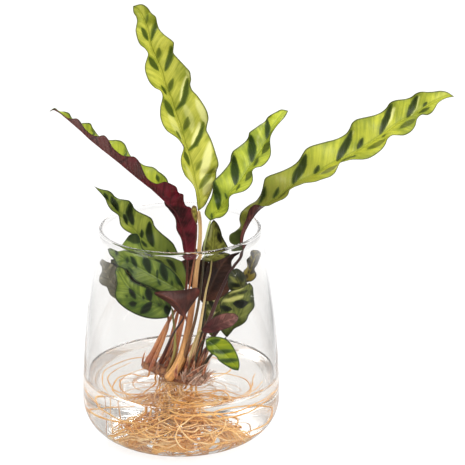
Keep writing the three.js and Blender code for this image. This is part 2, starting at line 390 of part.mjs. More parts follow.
    [28.7, 24.2, 97.2, 18, 24.6, 100.3, 41.9, 22.4, 95.5],
    [29.6, 24.4, 101.4, 18.2, 21.5, 106.1, 41.8, 24.7, 99.1],
    [30.5, 24.6, 105.6, 19, 22.7, 110.1, 42.6, 27.7, 102.2],
    [31.5, 24.9, 109.8, 19.3, 26.3, 113.5, 43.8, 26.2, 106.8],
    [32.6, 25, 113.9, 19.5, 26.4, 118.3, 43.4, 23, 112.3],
    [33.8, 25, 117.2, 22.2, 24, 122.3, 41.9, 23.2, 116.5],
    [35.1, 25, 120.6, 27, 24.5, 124.1, 41.2, 25.6, 119.6],
    [36.8, 25, 124.4, 32.3, 26.9, 125.5, 40.7, 25, 124],
    [38.8, 25, 128.3, 38.8, 25, 128.3, 38.8, 25, 128.3],
  ],
  leaf_back_left: [
    [-6.4, 24, 108.3, -6.4, 24, 108.3, -6.4, 24, 108.3],
    [-9, 24.4, 109.9, -10.2, 23.5, 107.4, -7.3, 24.2, 112.8],
    [-12.2, 24.9, 111.9, -14.3, 22, 108.4, -9.4, 26.3, 115.7],
    [-16, 25.3, 114.2, -19.1, 24.9, 109, -11.8, 28.3, 119.8],
    [-20, 25.7, 116.8, -24.9, 28, 108.6, -14.6, 25.3, 125.4],
    [-24.4, 26.1, 119.7, -30.4, 25.8, 111.1, -19, 23.7, 128.9],
    [-28.8, 26.2, 122.9, -34.9, 24.5, 115.1, -23.3, 26.4, 131.5],
    [-33.2, 26, 126.1, -39.9, 27.6, 117.3, -26.9, 27.2, 136.2],
    [-37.7, 25.8, 129.3, -45.6, 28.8, 119.1, -31, 24, 141.1],
    [-42.1, 25.6, 132.6, -50.5, 24.8, 123.5, -36, 23.3, 143.1],
    [-46.4, 25.3, 135.8, -53.8, 22.8, 128.5, -40.7, 26.8, 144.3],
    [-50.3, 24.8, 139.1, -56.8, 25.2, 131.9, -44.5, 27.5, 147.1],
    [-54.1, 24.3, 142.5, -60.1, 25.3, 135.4, -48.7, 24, 149.9],
    [-57.8, 23.7, 145.8, -61.3, 22.1, 142.3, -55, 23.2, 149.5],
    [-61.3, 23, 149.2, -61.3, 23, 149.2, -61.3, 23, 149.2],
  ],
};

// stems: radius at the blade and at the foot, and the points each one runs through
const STEMS = {
  stem_tall: { top: 2.0, foot: 3.3, path: [[16, -17.1, 205.3], [17.2, -21.2, 186.7], [15.6, -22.8, 167.6], [13.2, -24.5, 148.6], [11, -24.7, 129.5], [8.1, -23.1, 110.5], [5.1, -20.5, 91.7], [1, -18, 73.1], [-8.5, -16.5, 56.5]] },
  stem_short_right: { top: 1.1, foot: 1.5, path: [[25.8, -26, 199.5], [21.1, -27.7, 182.3], [19.8, -28.5, 164.4], [18.2, -28.7, 146.6], [15.7, -28.9, 128.8], [12.3, -28.8, 111.2], [7.6, -27.5, 94], [3.2, -24.5, 76.9], [0.6, -19.9, 59.7]] },
  stem_long_right: { top: 1.6, foot: 2.0, path: [[52, -15.9, 172.2], [47.9, -12.2, 158.8], [40, -12.7, 146], [33.8, -15, 132.4], [28.1, -18.6, 118.8], [23, -22.5, 105.2], [18.3, -26.6, 91.4], [15.3, -28.3, 76.7], [13.3, -27.1, 61.8]] },
  stem_long_left: { top: 1.3, foot: 2.0, path: [[6.1, -13, 161.6], [5.8, -12.1, 148], [4.9, -11, 134.5], [3, -10, 121], [0.5, -9, 107.6], [-2.2, -8.1, 94.3], [-5.1, -7.1, 81], [-8.8, -6.1, 67.9], [-14.4, -5, 55.5]] },
  stem_left: { top: 1.5, foot: 2.1, path: [[4.8, 4, 128.1], [1.6, 3.6, 118.8], [-1.8, 4.2, 109.5], [-4.6, 4.3, 100], [-6.8, 4.4, 90.3], [-9.1, 4.1, 80.7], [-11.7, 3.4, 71.2], [-15.6, 3.1, 62.1], [-20.1, 2.7, 53.3]] },
  stem_inner_left: { top: 1.5, foot: 2.3, path: [[3.1, -14.7, 129.6], [-1.4, -15.8, 121.1], [-5.7, -10, 112.4], [-9.6, -4.2, 103.7], [-13.6, 0.4, 94.2], [-17.9, 3.8, 84.4], [-22.3, 5.8, 74.3], [-26.8, 6.9, 64.1], [-30.5, 7, 53.4]] },
  stem_low_left: { top: 1.1, foot: 1.5, path: [[-6.5, -32.7, 124.4], [-5.9, -29.7, 116.1], [-5.3, -27.5, 107.5], [-4.7, -25.5, 98.9], [-4.6, -23.6, 90.3], [-5.2, -21, 81.8], [-6.8, -18.1, 73.5], [-9.3, -15, 65.6], [-12.4, -11.5, 58.1]] },
  stem_grey_left: { top: 1.2, foot: 2.1, path: [[-17.5, -13.9, 117.1], [-11.5, -11.7, 111.4], [-10.3, -8.5, 103.3], [-11.9, -5.4, 95.3], [-14.5, -3, 87.2], [-17.6, -1.9, 79], [-20.7, -1.1, 70.9], [-23.9, -0.3, 62.7], [-26.7, 0, 54.4]] },
  stem_folded: { top: 1.2, foot: 1.7, path: [[3.4, -39.9, 119.2], [-1, -36.9, 110.7], [-4.9, -31.7, 103], [-7.8, -25.7, 95.5], [-10.1, -19.7, 87.9], [-12.5, -13.7, 80.2], [-15.2, -8.5, 72.1], [-18.8, -3.9, 63.9], [-21.9, -1.2, 54.9]] },
  stem_maroon_right: { top: 1.3, foot: 1.8, path: [[21.4, 13.9, 113.4], [20.5, 11.7, 105.6], [19.4, 7.9, 98.5], [18.3, 3.1, 92], [17.2, -2.4, 86.1], [15.9, -7.9, 80.2], [14.4, -13.3, 74.3], [12.7, -17.2, 67.3], [11.4, -20, 59.8]] },
  stem_olive_right: { top: 1.1, foot: 1.6, path: [[56.2, -6, 138.1], [52.4, -7.1, 128.2], [46.1, -10.1, 119.9], [39.7, -13.9, 112.1], [33.5, -18.3, 104.5], [28, -23.3, 96.6], [23.2, -27.8, 88.2], [19.5, -30.5, 78.4], [17.2, -30.8, 67.8]] },
  stem_dark_upper: { top: 1.0, foot: 1.5, path: [[53.3, -15.9, 133.6], [51.6, -13.5, 123.4], [45.2, -14.5, 114.8], [38.4, -18.6, 107.4], [31.8, -24, 100.7], [25.9, -29.7, 93.8], [20.6, -34.3, 85.6], [16.9, -35.3, 75.4], [14.7, -33.1, 65.1]] },
  stem_dark_lower: { top: 1.1, foot: 1.6, path: [[38.6, -30.1, 97.3], [35.4, -31.6, 93.3], [32, -33.6, 89.9], [28.5, -35.9, 86.7], [25.1, -38, 83.3], [22.1, -39.2, 79], [19.9, -39.1, 74.2], [18.2, -38, 69.4], [16.8, -36.2, 64.6]] },
  stem_pink: { top: 1.0, foot: 1.5, path: [[18, -41.8, 108.3], [14.4, -39.8, 103.1], [12.3, -37.8, 97.1], [10.5, -36.3, 90.8], [8.9, -34.6, 84.5], [7.6, -32.9, 78.2], [6.6, -30.7, 72], [5.7, -28.4, 65.7], [5.2, -26.1, 59.5]] },
  stem_small_striped: { top: 0.9, foot: 1.4, path: [[21, -43.6, 101], [18.1, -42.1, 97.1], [16.4, -41.1, 92.4], [14.9, -40.3, 87.5], [13.7, -39.4, 82.6], [12.7, -38.3, 77.7], [12, -37, 72.8], [11.4, -35.2, 68], [11, -33.1, 63.3]] },
  stem_rim_back: { top: 1.4, foot: 2.0, path: [[26.4, 0.9, 152.8], [24.3, -4.1, 141.3], [21.6, -11.2, 131.1], [19.5, -18, 120.4], [17.3, -22.9, 108.8], [14.9, -26.6, 96.8], [12, -28.3, 84.5], [9.9, -27.1, 71.9], [9, -24, 59.6]] },
  stem_young: { top: 0.9, foot: 1.2, path: [[14.4, -24.1, 196.2], [13.3, -26.5, 178.9], [11.3, -28.5, 161.6], [8.4, -28.9, 144.4], [5.5, -27.6, 127.2], [2.5, -25.4, 110.1], [-0.9, -22, 93.3], [-4.7, -16.4, 77.1], [-9, -10.2, 61.4]] },
  stem_back_centre: { top: 1.2, foot: 1.9, path: [[18.8, 30.1, 105.3], [21.2, 31.6, 95.4], [19.8, 28.2, 86.1], [15.9, 22, 78.3], [10.6, 14.4, 73.8], [5.4, 6.8, 69.7], [1.3, 0.2, 63], [-0.8, -7.5, 57.6], [0.1, -18, 55]] },
  stem_back_lower: { top: 1.1, foot: 1.7, path: [[25.4, 22.8, 77.3], [22.7, 20.4, 69.6], [16.9, 16.2, 65], [9.7, 12.2, 62.4], [1.2, 12, 62.3], [-7.3, 12.5, 62.3], [-14.9, 9.9, 59.7], [-22.8, 7.8, 57.7], [-31.3, 6.8, 57.4]] },
  stem_back_left: { top: 1.2, foot: 1.9, path: [[-5.8, 23.8, 107.9], [1.1, 20.3, 102.6], [4.8, 12.6, 97.2], [6.4, 4.9, 90.9], [5.1, 1.1, 82.7], [3.7, -2.3, 73.6], [3.1, -7.2, 65.3], [4.2, -14.1, 59], [7.2, -23.2, 55.5]] },
};

// dry scale leaves at the crown, as short rows of the same kind
const SCALES = {
  dry_scale_front: [
    [3, -33.5, 62, 3, -33.5, 62, 3, -33.5, 62],
    [8, -38, 65.5, 6, -36.6, 68.5, 11, -38.4, 63],
    [14, -41, 71, 11.5, -39.5, 74, 17.4, -41.5, 69],
    [20, -43, 76.5, 18.5, -42.5, 78, 21.8, -43.2, 75],
    [23.5, -44, 79.5, 23.5, -44, 79.5, 23.5, -44, 79.5],
  ],
  dry_scale_right: [
    [19, -29, 62, 19, -29, 62, 19, -29, 62],
    [22.4, -29, 66.5, 21, -31.5, 67, 22.6, -26.5, 67],
    [24.6, -28.4, 72, 23.6, -31, 72.5, 24.6, -26, 72.5],
    [26, -27.4, 78, 26, -27.4, 78, 26, -27.4, 78],
  ],
  dry_scale_middle: [
    [-3, -28.6, 57.5, -3, -28.6, 57.5, -3, -28.6, 57.5],
    [-4, -31, 62.5, -6.6, -30, 63, -1, -31.2, 63],
    [-3.4, -32, 69, -5.8, -31.4, 69.4, -1.2, -32, 69.4],
    [-2, -32.2, 76, -2, -32.2, 76, -2, -32.2, 76],
  ],
  dry_scale_left: [
    [-33, -1.2, 58.5, -33, -1.2, 58.5, -33, -1.2, 58.5],
    [-33.6, -3, 63.5, -35.4, -1, 64, -30.8, -4, 64],
    [-32.4, -3.6, 69.5, -34.2, -2, 70, -30.4, -4.6, 70],
    [-30.4, -4, 76, -30.4, -4, 76, -30.4, -4, 76],
  ],
};

// ---------------------------------------------------------------- helpers
const wasm = await Module();
wasm.setup();

const rad = (deg) => (deg * Math.PI) / 180;
const vec = (a) => new THREE.Vector3(a[0], a[1], a[2]);

function solidOf(geometry) {
  const g = geometry.clone();
  for (const name of ['normal', 'uv']) if (g.getAttribute(name)) g.deleteAttribute(name);
  const merged = mergeVertices(g, 1e-4);
  return new wasm.Manifold(new wasm.Mesh({
    numProp: 3,
    vertProperties: new Float32Array(merged.getAttribute('position').array),
    triVerts: new Uint32Array(merged.getIndex().array),
  }));
}

// the same shell with every face's direction reversed
function turnedOver(geometry) {
  const g = geometry.index ? geometry.toNonIndexed() : geometry.clone();
  const p = g.getAttribute('position').array;
  for (let i = 0; i < p.length; i += 9) {
    for (let k = 0; k < 3; k++) [p[i + k], p[i + 3 + k]] = [p[i + 3 + k], p[i + k]];
  }
  return g;
}

function geometryOf(solid) {
  const m = solid.getMesh();
  const g = new THREE.BufferGeometry();
  g.setAttribute('position', new THREE.BufferAttribute(new Float32Array(m.vertProperties), 3));
  g.setIndex(new THREE.BufferAttribute(new Uint32Array(m.triVerts), 1));
  g.computeVertexNormals();
  return g;
}

function meshOf(vertices, faces) {
  const g = new THREE.BufferGeometry();
  g.setAttribute('position', new THREE.BufferAttribute(new Float32Array(vertices.flat()), 3));
  g.setIndex(faces.flat());
  g.computeVertexNormals();
  return g;
}

// closed tube of changing radius along a smooth curve
function taperedTube(points, radiusAt, sides, steps) {
  const curve = new THREE.CatmullRomCurve3(points.map(vec), false, 'centripetal');
  const frames = curve.computeFrenetFrames(steps, false);
  const v = [];
  const f = [];
  for (let i = 0; i <= steps; i++) {
    const c = curve.getPointAt(i / steps);
    const r = radiusAt(i / steps);
    for (let k = 0; k < sides; k++) {
      const a = (2 * Math.PI * k) / sides;
      const p = c.clone()
        .addScaledVector(frames.normals[i], r * Math.cos(a))
        .addScaledVector(frames.binormals[i], r * Math.sin(a));
      v.push([p.x, p.y, p.z]);
    }
  }
  for (let i = 0; i < steps; i++) {
    for (let k = 0; k < sides; k++) {
      const a = i * sides + k;
      const b = i * sides + ((k + 1) % sides);
      f.push([a, b, a + sides], [b, b + sides, a + sides]);
    }
  }
  const first = v.length;
  const p0 = curve.getPointAt(0);
  const p1 = curve.getPointAt(1);
  v.push([p0.x, p0.y, p0.z], [p1.x, p1.y, p1.z]);
  for (let k = 0; k < sides; k++) {
    f.push([first, (k + 1) % sides, k]);
    f.push([first + 1, steps * sides + k, steps * sides + ((k + 1) % sides)]);
  }
  return meshOf(v, f);
}

// thin closed blade through rows of [midrib, left margin, right margin]
function blade(rows, thickness) {
  const n = rows.length;
  const at = (i, k) => new THREE.Vector3(rows[i][k], rows[i][k + 1], rows[i][k + 2]);
  const reach = Math.max(1, n / 7);
  const calm = (i, k) => {               // margin offset with its waves averaged out
    const sum = new THREE.Vector3();
    let weight = 0;
    for (let j = 0; j < n; j++) {
      const w = Math.exp(-0.5 * ((j - i) / reach) ** 2);
      sum.addScaledVector(at(j, k).sub(at(j, 0)), w);
      weight += w;
    }
    return sum.divideScalar(weight);
  };
  const across = [-1, -0.52, 0, 0.52, 1];
  const point = (i, t) => {
    const k = t < 0 ? 3 : 6;
    const u = Math.abs(t);
    const m = at(i, 0);
    const edge = at(i, k).sub(m);
    const base = calm(i, k).multiplyScalar(edge.length() < 1e-6 ? 0 : 1);
    return m.addScaledVector(base, u).addScaledVector(edge.sub(base), u ** LEAF_CURL);
  };
  const grid = [];
  for (let i = 0; i < n; i++) grid.push(across.map((t) => point(i, t)));
  const cols = across.length;
  const normal = (i, j) => {
    const a = grid[Math.min(i + 1, n - 1)][j].clone().sub(grid[Math.max(i - 1, 0)][j]);
    const row = i === 0 ? 1 : i === n - 1 ? n - 2 : i;
    const b = grid[row][Math.min(j + 1, cols - 1)].clone().sub(grid[row][Math.max(j - 1, 0)]);
    return a.cross(b).normalize();
  };
  const v = [];
  const top = [];
  const bottom = [];
  for (let i = 0; i < n; i++) {
    const end = i === 0 || i === n - 1;
    const rowTop = [];
    const rowBottom = [];
    for (let j = 0; j < cols; j++) {
      if (end && j > 0) { rowTop.push(rowTop[0]); rowBottom.push(rowBottom[0]); continue; }
      const c = end ? grid[i][2] : grid[i][j];
      const nn = normal(i, end ? 2 : j);
      const half = thickness / 2;
      rowTop.push(v.push([c.x - nn.x * half, c.y - nn.y * half, c.z - nn.z * half]) - 1);
      rowBottom.push(v.push([c.x + nn.x * half, c.y + nn.y * half, c.z + nn.z * half]) - 1);
    }
    top.push(rowTop);
    bottom.push(rowBottom);
  }
  const f = [];
  const tri = (a, b, c) => { if (a !== b && b !== c && a !== c) f.push([a, b, c]); };
  for (let i = 0; i < n - 1; i++) {
    for (let j = 0; j < cols - 1; j++) {
      tri(top[i][j], top[i][j + 1], top[i + 1][j]);
      tri(top[i][j + 1], top[i + 1][j + 1], top[i + 1][j]);
      tri(bottom[i][j], bottom[i + 1][j], bottom[i][j + 1]);
      tri(bottom[i][j + 1], bottom[i + 1][j], bottom[i + 1][j + 1]);
    }
    const e = cols - 1;
    tri(top[i][0], top[i + 1][0], bottom[i][0]);
    tri(bottom[i][0], top[i + 1][0], bottom[i + 1][0]);
    tri(top[i][e], bottom[i][e], top[i + 1][e]);
    tri(bottom[i][e], bottom[i + 1][e], top[i + 1][e]);
  }
  let solid = solidOf(meshOf(v, f));
  if (solid.volume() < 0) solid = solidOf(meshOf(v, f.map(([a, b, c]) => [a, c, b])));
  return solid;
}

function lathe(profile) {
  const g = new THREE.LatheGeometry(profile.map(([r, z]) => new THREE.Vector2(r, z)), VASE_SIDES);
  g.rotateX(Math.PI / 2);              // the lathe turns about Y: stand it up on Z
  const s = solidOf(g);
  return s.volume() > 0 ? s : solidOf(turnedOver(g));
}

function arc(cx, cz, r, from, to, steps) {
  const pts = [];
  for (let i = 0; i <= steps; i++) {
    const a = rad(from + ((to - from) * i) / steps);
    pts.push([cx + r * Math.cos(a), cz + r * Math.sin(a)]);
  }
  return pts;
}

// ---------------------------------------------------------------- the object
const plant = new THREE.Group();
const colours = {
  glass: { color: 0xe9efee, roughness: 0.04, metalness: 0, transparent: true, opacity: 0.25 },
  water: { color: 0xdfeaea, roughness: 0.02, metalness: 0, transparent: true, opacity: 0.35 },
  upper: { color: 0x9fb540, roughness: 0.42, metalness: 0 },
  shaded: { color: 0x5d7a32, roughness: 0.45, metalness: 0 },
  under: { color: 0x5f3036, roughness: 0.5, metalness: 0 },
  stem: { color: 0xb98552, roughness: 0.55, metalness: 0 },
  stemGreen: { color: 0x8d8a4a, roughness: 0.5, metalness: 0 },
  rhizome: { color: 0xa8663e, roughness: 0.7, metalness: 0 },
  root: { color: 0xd9b27c, roughness: 0.6, metalness: 0 },
  scale: { color: 0x9a4a2c, roughness: 0.75, metalness: 0 },
};

function add(name, solid, colour) {
  const mesh = new THREE.Mesh(geometryOf(solid), new THREE.MeshStandardMaterial(colours[colour]));
  mesh.name = name;
  plant.add(mesh);
}

// vase: one closed profile, base centre, out, up the wall, over the lip, down inside
const footCentre = [VASE_FOOT_RADIUS, VASE_CORNER_RADIUS];
const innerCentre = [81 - VASE_INNER_CORNER, VASE_FLOOR + VASE_INNER_CORNER];
const outerCorner = arc(footCentre[0], footCentre[1], VASE_CORNER_RADIUS, -90, 0, 6);
const innerCorner = arc(innerCentre[0], innerCentre[1], VASE_INNER_CORNER, 0, -90, 6);
add('glass_vase', lathe([
  [0, 0], ...outerCorner, ...VASE_WALL_OUT.slice(1), ...VASE_LIP, ...VASE_WALL_IN.slice(0, -1), ...innerCorner, [0, VASE_FLOOR],
]), 'glass');

// rhizome, lying in the water's surface
const rhizomeRadius = (grow) => (t) => {
  const s = t * (RHIZOME_RADIUS.length - 1);
  const i = Math.min(Math.floor(s), RHIZOME_RADIUS.length - 2);
  const r = RHIZOME_RADIUS[i] + (RHIZOME_RADIUS[i + 1] - RHIZOME_RADIUS[i]) * (s - i);
  return r + 0.35 * Math.sin(t * 40) * (grow ? 0 : 1) + grow;
};
const rhizome = solidOf(taperedTube(RHIZOME_AXIS, rhizomeRadius(0), 12, 16));
const rhizomeKeep = solidOf(taperedTube(RHIZOME_AXIS, rhizomeRadius(0.35 + GAP + 0.1), 12, 16));
add('rhizome', rhizome, 'rhizome');

// roots: down from the rhizome, out, then round the vase, each at its own level
const axis = new THREE.CatmullRomCurve3(RHIZOME_AXIS.map(vec), false, 'centripetal');
function rootPath(root) {
  const start = axis.getPointAt(root.at);
  const z = ROOT_TOP_LEVEL - ROOT_LEVEL_STEP * root.level;
  const a = rad(root.way);
  const pts = [start.clone(), start.clone().setZ(Math.max(z + 3, 0.5 * (z + 50)))];
  pts.push(start.clone().setZ(z + 2.6).add(new THREE.Vector3(1.5 * Math.cos(a), 1.5 * Math.sin(a), 0)));
  const corner = start.clone().setZ(z).add(new THREE.Vector3(8 * Math.cos(a), 8 * Math.sin(a), 0));
  pts.push(corner);
  const limit = z > VASE_FLOOR + VASE_INNER_CORNER ? 81
    : innerCentre[0] + Math.sqrt(VASE_INNER_CORNER ** 2 - (innerCentre[1] - z) ** 2);
  const reach = Math.min(root.reach, limit - 5);
  // straight on until it is well clear of the others, then round the vase
  const dir = new THREE.Vector3(Math.cos(a), Math.sin(a), 0);
  const out = corner.clone();
  while (Math.hypot(out.x, out.y) < 0.55 * reach || out.distanceTo(corner) < 10) out.addScaledVector(dir, 1);
  pts.push(corner.clone().lerp(out, 0.55), out);
  const r0 = Math.hypot(out.x, out.y);
  const a0 = Math.atan2(out.y, out.x);
  for (let i = 1; i <= 4; i++) {
    const u = i / 4;
    const r = r0 + (reach - r0) * (1 - (1 - u) ** 2);
    const b = a0 + rad(root.swing) * u ** 1.5;
    pts.push(new THREE.Vector3(r * Math.cos(b), r * Math.sin(b), z));
  }
  return new THREE.CatmullRomCurve3(pts, false, 'centripetal');
}
function rootSolid(path, radius) {
  const ring = new THREE.Shape();
  for (let k = 0; k < ROOT_SIDES; k++) {
    const a = (2 * Math.PI * k) / ROOT_SIDES;
    if (k) ring.lineTo(radius * Math.cos(a), radius * Math.sin(a));
    else ring.moveTo(radius, 0);
  }
  ring.closePath();
  const g = new THREE.ExtrudeGeometry(ring, { extrudePath: path, steps: ROOT_STEPS, bevelEnabled: false });
  const solid = solidOf(g);
  return solid.volume() > 0 ? solid : solidOf(turnedOver(g));
}
const largest = (solid) => solid.decompose().sort((p, q) => q.volume() - p.volume())[0];
let channels = rhizomeKeep;
ROOTS.forEach((root, i) => {
  const path = rootPath(root);
  add(`root_${i + 1}`, largest(rootSolid(path, ROOT_RADIUS).subtract(rhizomeKeep)), 'root');
  // the water's channel runs on past the root's tip
  const last = path.points[path.points.length - 1];
  const along = last.clone().sub(path.points[path.points.length - 2]).normalize();
  const longer = new THREE.CatmullRomCurve3([...path.points, last.clone().addScaledVector(along, 1.2)], false, 'centripetal');
  channels = channels.add(rootSolid(longer, ROOT_RADIUS + 3.7 * GAP));
});

// water: everything inside the glass up to its level, less what stands in it
const water = lathe([
  [0, VASE_FLOOR + GAP],
  ...arc(innerCentre[0], innerCentre[1], VASE_INNER_CORNER - GAP, -90, 0, 6),
  [81.5 - GAP, 48], [81.4 - GAP, WATER_LEVEL], [0, WATER_LEVEL],
]);
add('water', largest(water.subtract(channels)), 'water');

// stems: each a tapering tube from the foot of its blade to the rhizome
const depth = new THREE.BoxGeometry(240, 240, 100);   // all that lies under the water's surface
depth.translate(0, 0, WATER_LEVEL + GAP - 50);
const under = solidOf(depth).add(rhizomeKeep);
const GREEN_STEMS = ['stem_short_right', 'stem_low_left', 'stem_rim_back', 'stem_young', 'stem_small_striped'];
for (const [name, s] of Object.entries(STEMS)) {
  const tube = solidOf(taperedTube(s.path, (t) => s.top + (s.foot - s.top) * t ** 1.3, STEM_SIDES, STEM_STEPS));
  add(name, largest(tube.subtract(under)), GREEN_STEMS.includes(name) ? 'stemGreen' : 'stem');
}

// blades
const UNDERSIDE_OUT = ['leaf_long_left', 'leaf_grey_left', 'leaf_folded', 'leaf_maroon_right', 'leaf_pink', 'leaf_back_centre'];
const SHADED = ['leaf_left', 'leaf_inner_left', 'leaf_low_left', 'leaf_dark_upper', 'leaf_dark_lower', 'leaf_rim_back', 'leaf_olive_right', 'leaf_young', 'leaf_back_lower', 'leaf_back_left'];
for (const [name, rows] of Object.entries(LEAVES)) {
  add(name, blade(rows, LEAF_THICKNESS), UNDERSIDE_OUT.includes(name) ? 'under' : SHADED.includes(name) ? 'shaded' : 'upper');
}
for (const [name, rows] of Object.entries(SCALES)) add(name, blade(rows, 0.9), 'scale');

export default plant;
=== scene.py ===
# Looks for a rattlesnake plant (Goeppertia insignis) that grows in a clear glass
# vase of water. Everything is built in millimetres and scaled to metres at the
# end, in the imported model's own frame: origin at the centre of the vase's flat
# base, +Z up, front at -Y.
import bpy
import math
import numpy as np
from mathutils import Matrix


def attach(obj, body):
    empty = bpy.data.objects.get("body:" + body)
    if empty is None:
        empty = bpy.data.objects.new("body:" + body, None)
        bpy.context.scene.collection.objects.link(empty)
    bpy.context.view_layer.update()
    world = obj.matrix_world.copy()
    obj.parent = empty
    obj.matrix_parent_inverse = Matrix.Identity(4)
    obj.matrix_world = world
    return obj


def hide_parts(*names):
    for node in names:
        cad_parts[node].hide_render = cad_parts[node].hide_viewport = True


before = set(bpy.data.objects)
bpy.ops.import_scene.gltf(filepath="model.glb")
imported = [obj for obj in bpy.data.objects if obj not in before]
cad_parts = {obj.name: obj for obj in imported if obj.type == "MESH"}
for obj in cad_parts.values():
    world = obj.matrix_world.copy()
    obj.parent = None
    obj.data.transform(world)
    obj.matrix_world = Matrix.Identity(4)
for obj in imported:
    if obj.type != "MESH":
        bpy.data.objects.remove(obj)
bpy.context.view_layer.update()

MM = 0.001
rng = np.random.default_rng(20251)

# ---------------------------------------------------------------- shapes
# vase walls, radius and height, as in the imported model
VASE_OUT = [(85, 33), (85, 45), (84.4, 60), (83.4, 75), (82, 92), (79.8, 115), (76.2, 141), (72, 166), (68.7, 184.6)]
VASE_IN = [(66.1, 184.6), (69.4, 166), (73.6, 141), (77.2, 115), (79.4, 92), (80.7, 75), (81.3, 60), (81.5, 48), (81, 33.5)]
WATER_LEVEL = 55.0

RHIZOME_AXIS = [(-34, 9, 57.4), (-31, 7, 57), (-24, 3, 56), (-16, -3, 55), (-8, -10, 54.5), (0, -18, 54.5), (8, -26, 55.5), (15, -32, 57), (18, -34.5, 58)]
RHIZOME_RADIUS = [2.2, 4.2, 5.8, 7, 7.7, 7.6, 6.6, 4.8, 2.4]

# main roots: place along the rhizome, first direction, swing round the vase, reach, level
ROOTS = [
    (0.10, 150, 95, 66, 3), (0.20, 245, -80, 70, 6), (0.29, 75, 110, 72, 1), (0.38, 222, -100, 60, 9), (0.47, 30, 85, 68, 4),
    (0.56, 255, 95, 72, 0), (0.65, 62, -90, 64, 7), (0.74, 215, 120, 66, 2), (0.83, 20, -75, 70, 5), (0.91, 285, 80, 62, 8),
]

# dry scale leaves at the crown: rows of midrib point and the two margin points
SCALES = {
 'dry_scale_front': [
  (3, -33.5, 62, 3, -33.5, 62, 3, -33.5, 62),
  (8, -38, 65.5, 6, -36.6, 68.5, 11, -38.4, 63),
  (14, -41, 71, 11.5, -39.5, 74, 17.4, -41.5, 69),
  (20, -43, 76.5, 18.5, -42.5, 78, 21.8, -43.2, 75),
  (23.5, -44, 79.5, 23.5, -44, 79.5, 23.5, -44, 79.5),
 ],
 'dry_scale_right': [
  (19, -29, 62, 19, -29, 62, 19, -29, 62),
  (22.4, -29, 66.5, 21, -31.5, 67, 22.6, -26.5, 67),
  (24.6, -28.4, 72, 23.6, -31, 72.5, 24.6, -26, 72.5),
  (26, -27.4, 78, 26, -27.4, 78, 26, -27.4, 78),
 ],
 'dry_scale_middle': [
  (-3, -28.6, 57.5, -3, -28.6, 57.5, -3, -28.6, 57.5),
  (-4, -31, 62.5, -6.6, -30, 63, -1, -31.2, 63),
  (-3.4, -32, 69, -5.8, -31.4, 69.4, -1.2, -32, 69.4),
  (-2, -32.2, 76, -2, -32.2, 76, -2, -32.2, 76),
 ],
 'dry_scale_left': [
  (-33, -1.2, 58.5, -33, -1.2, 58.5, -33, -1.2, 58.5),
  (-33.6, -3, 63.5, -35.4, -1, 64, -30.8, -4, 64),
  (-32.4, -3.6, 69.5, -34.2, -2, 70, -30.4, -4.6, 70),
  (-30.4, -4, 76, -30.4, -4, 76, -30.4, -4, 76),
 ],
}

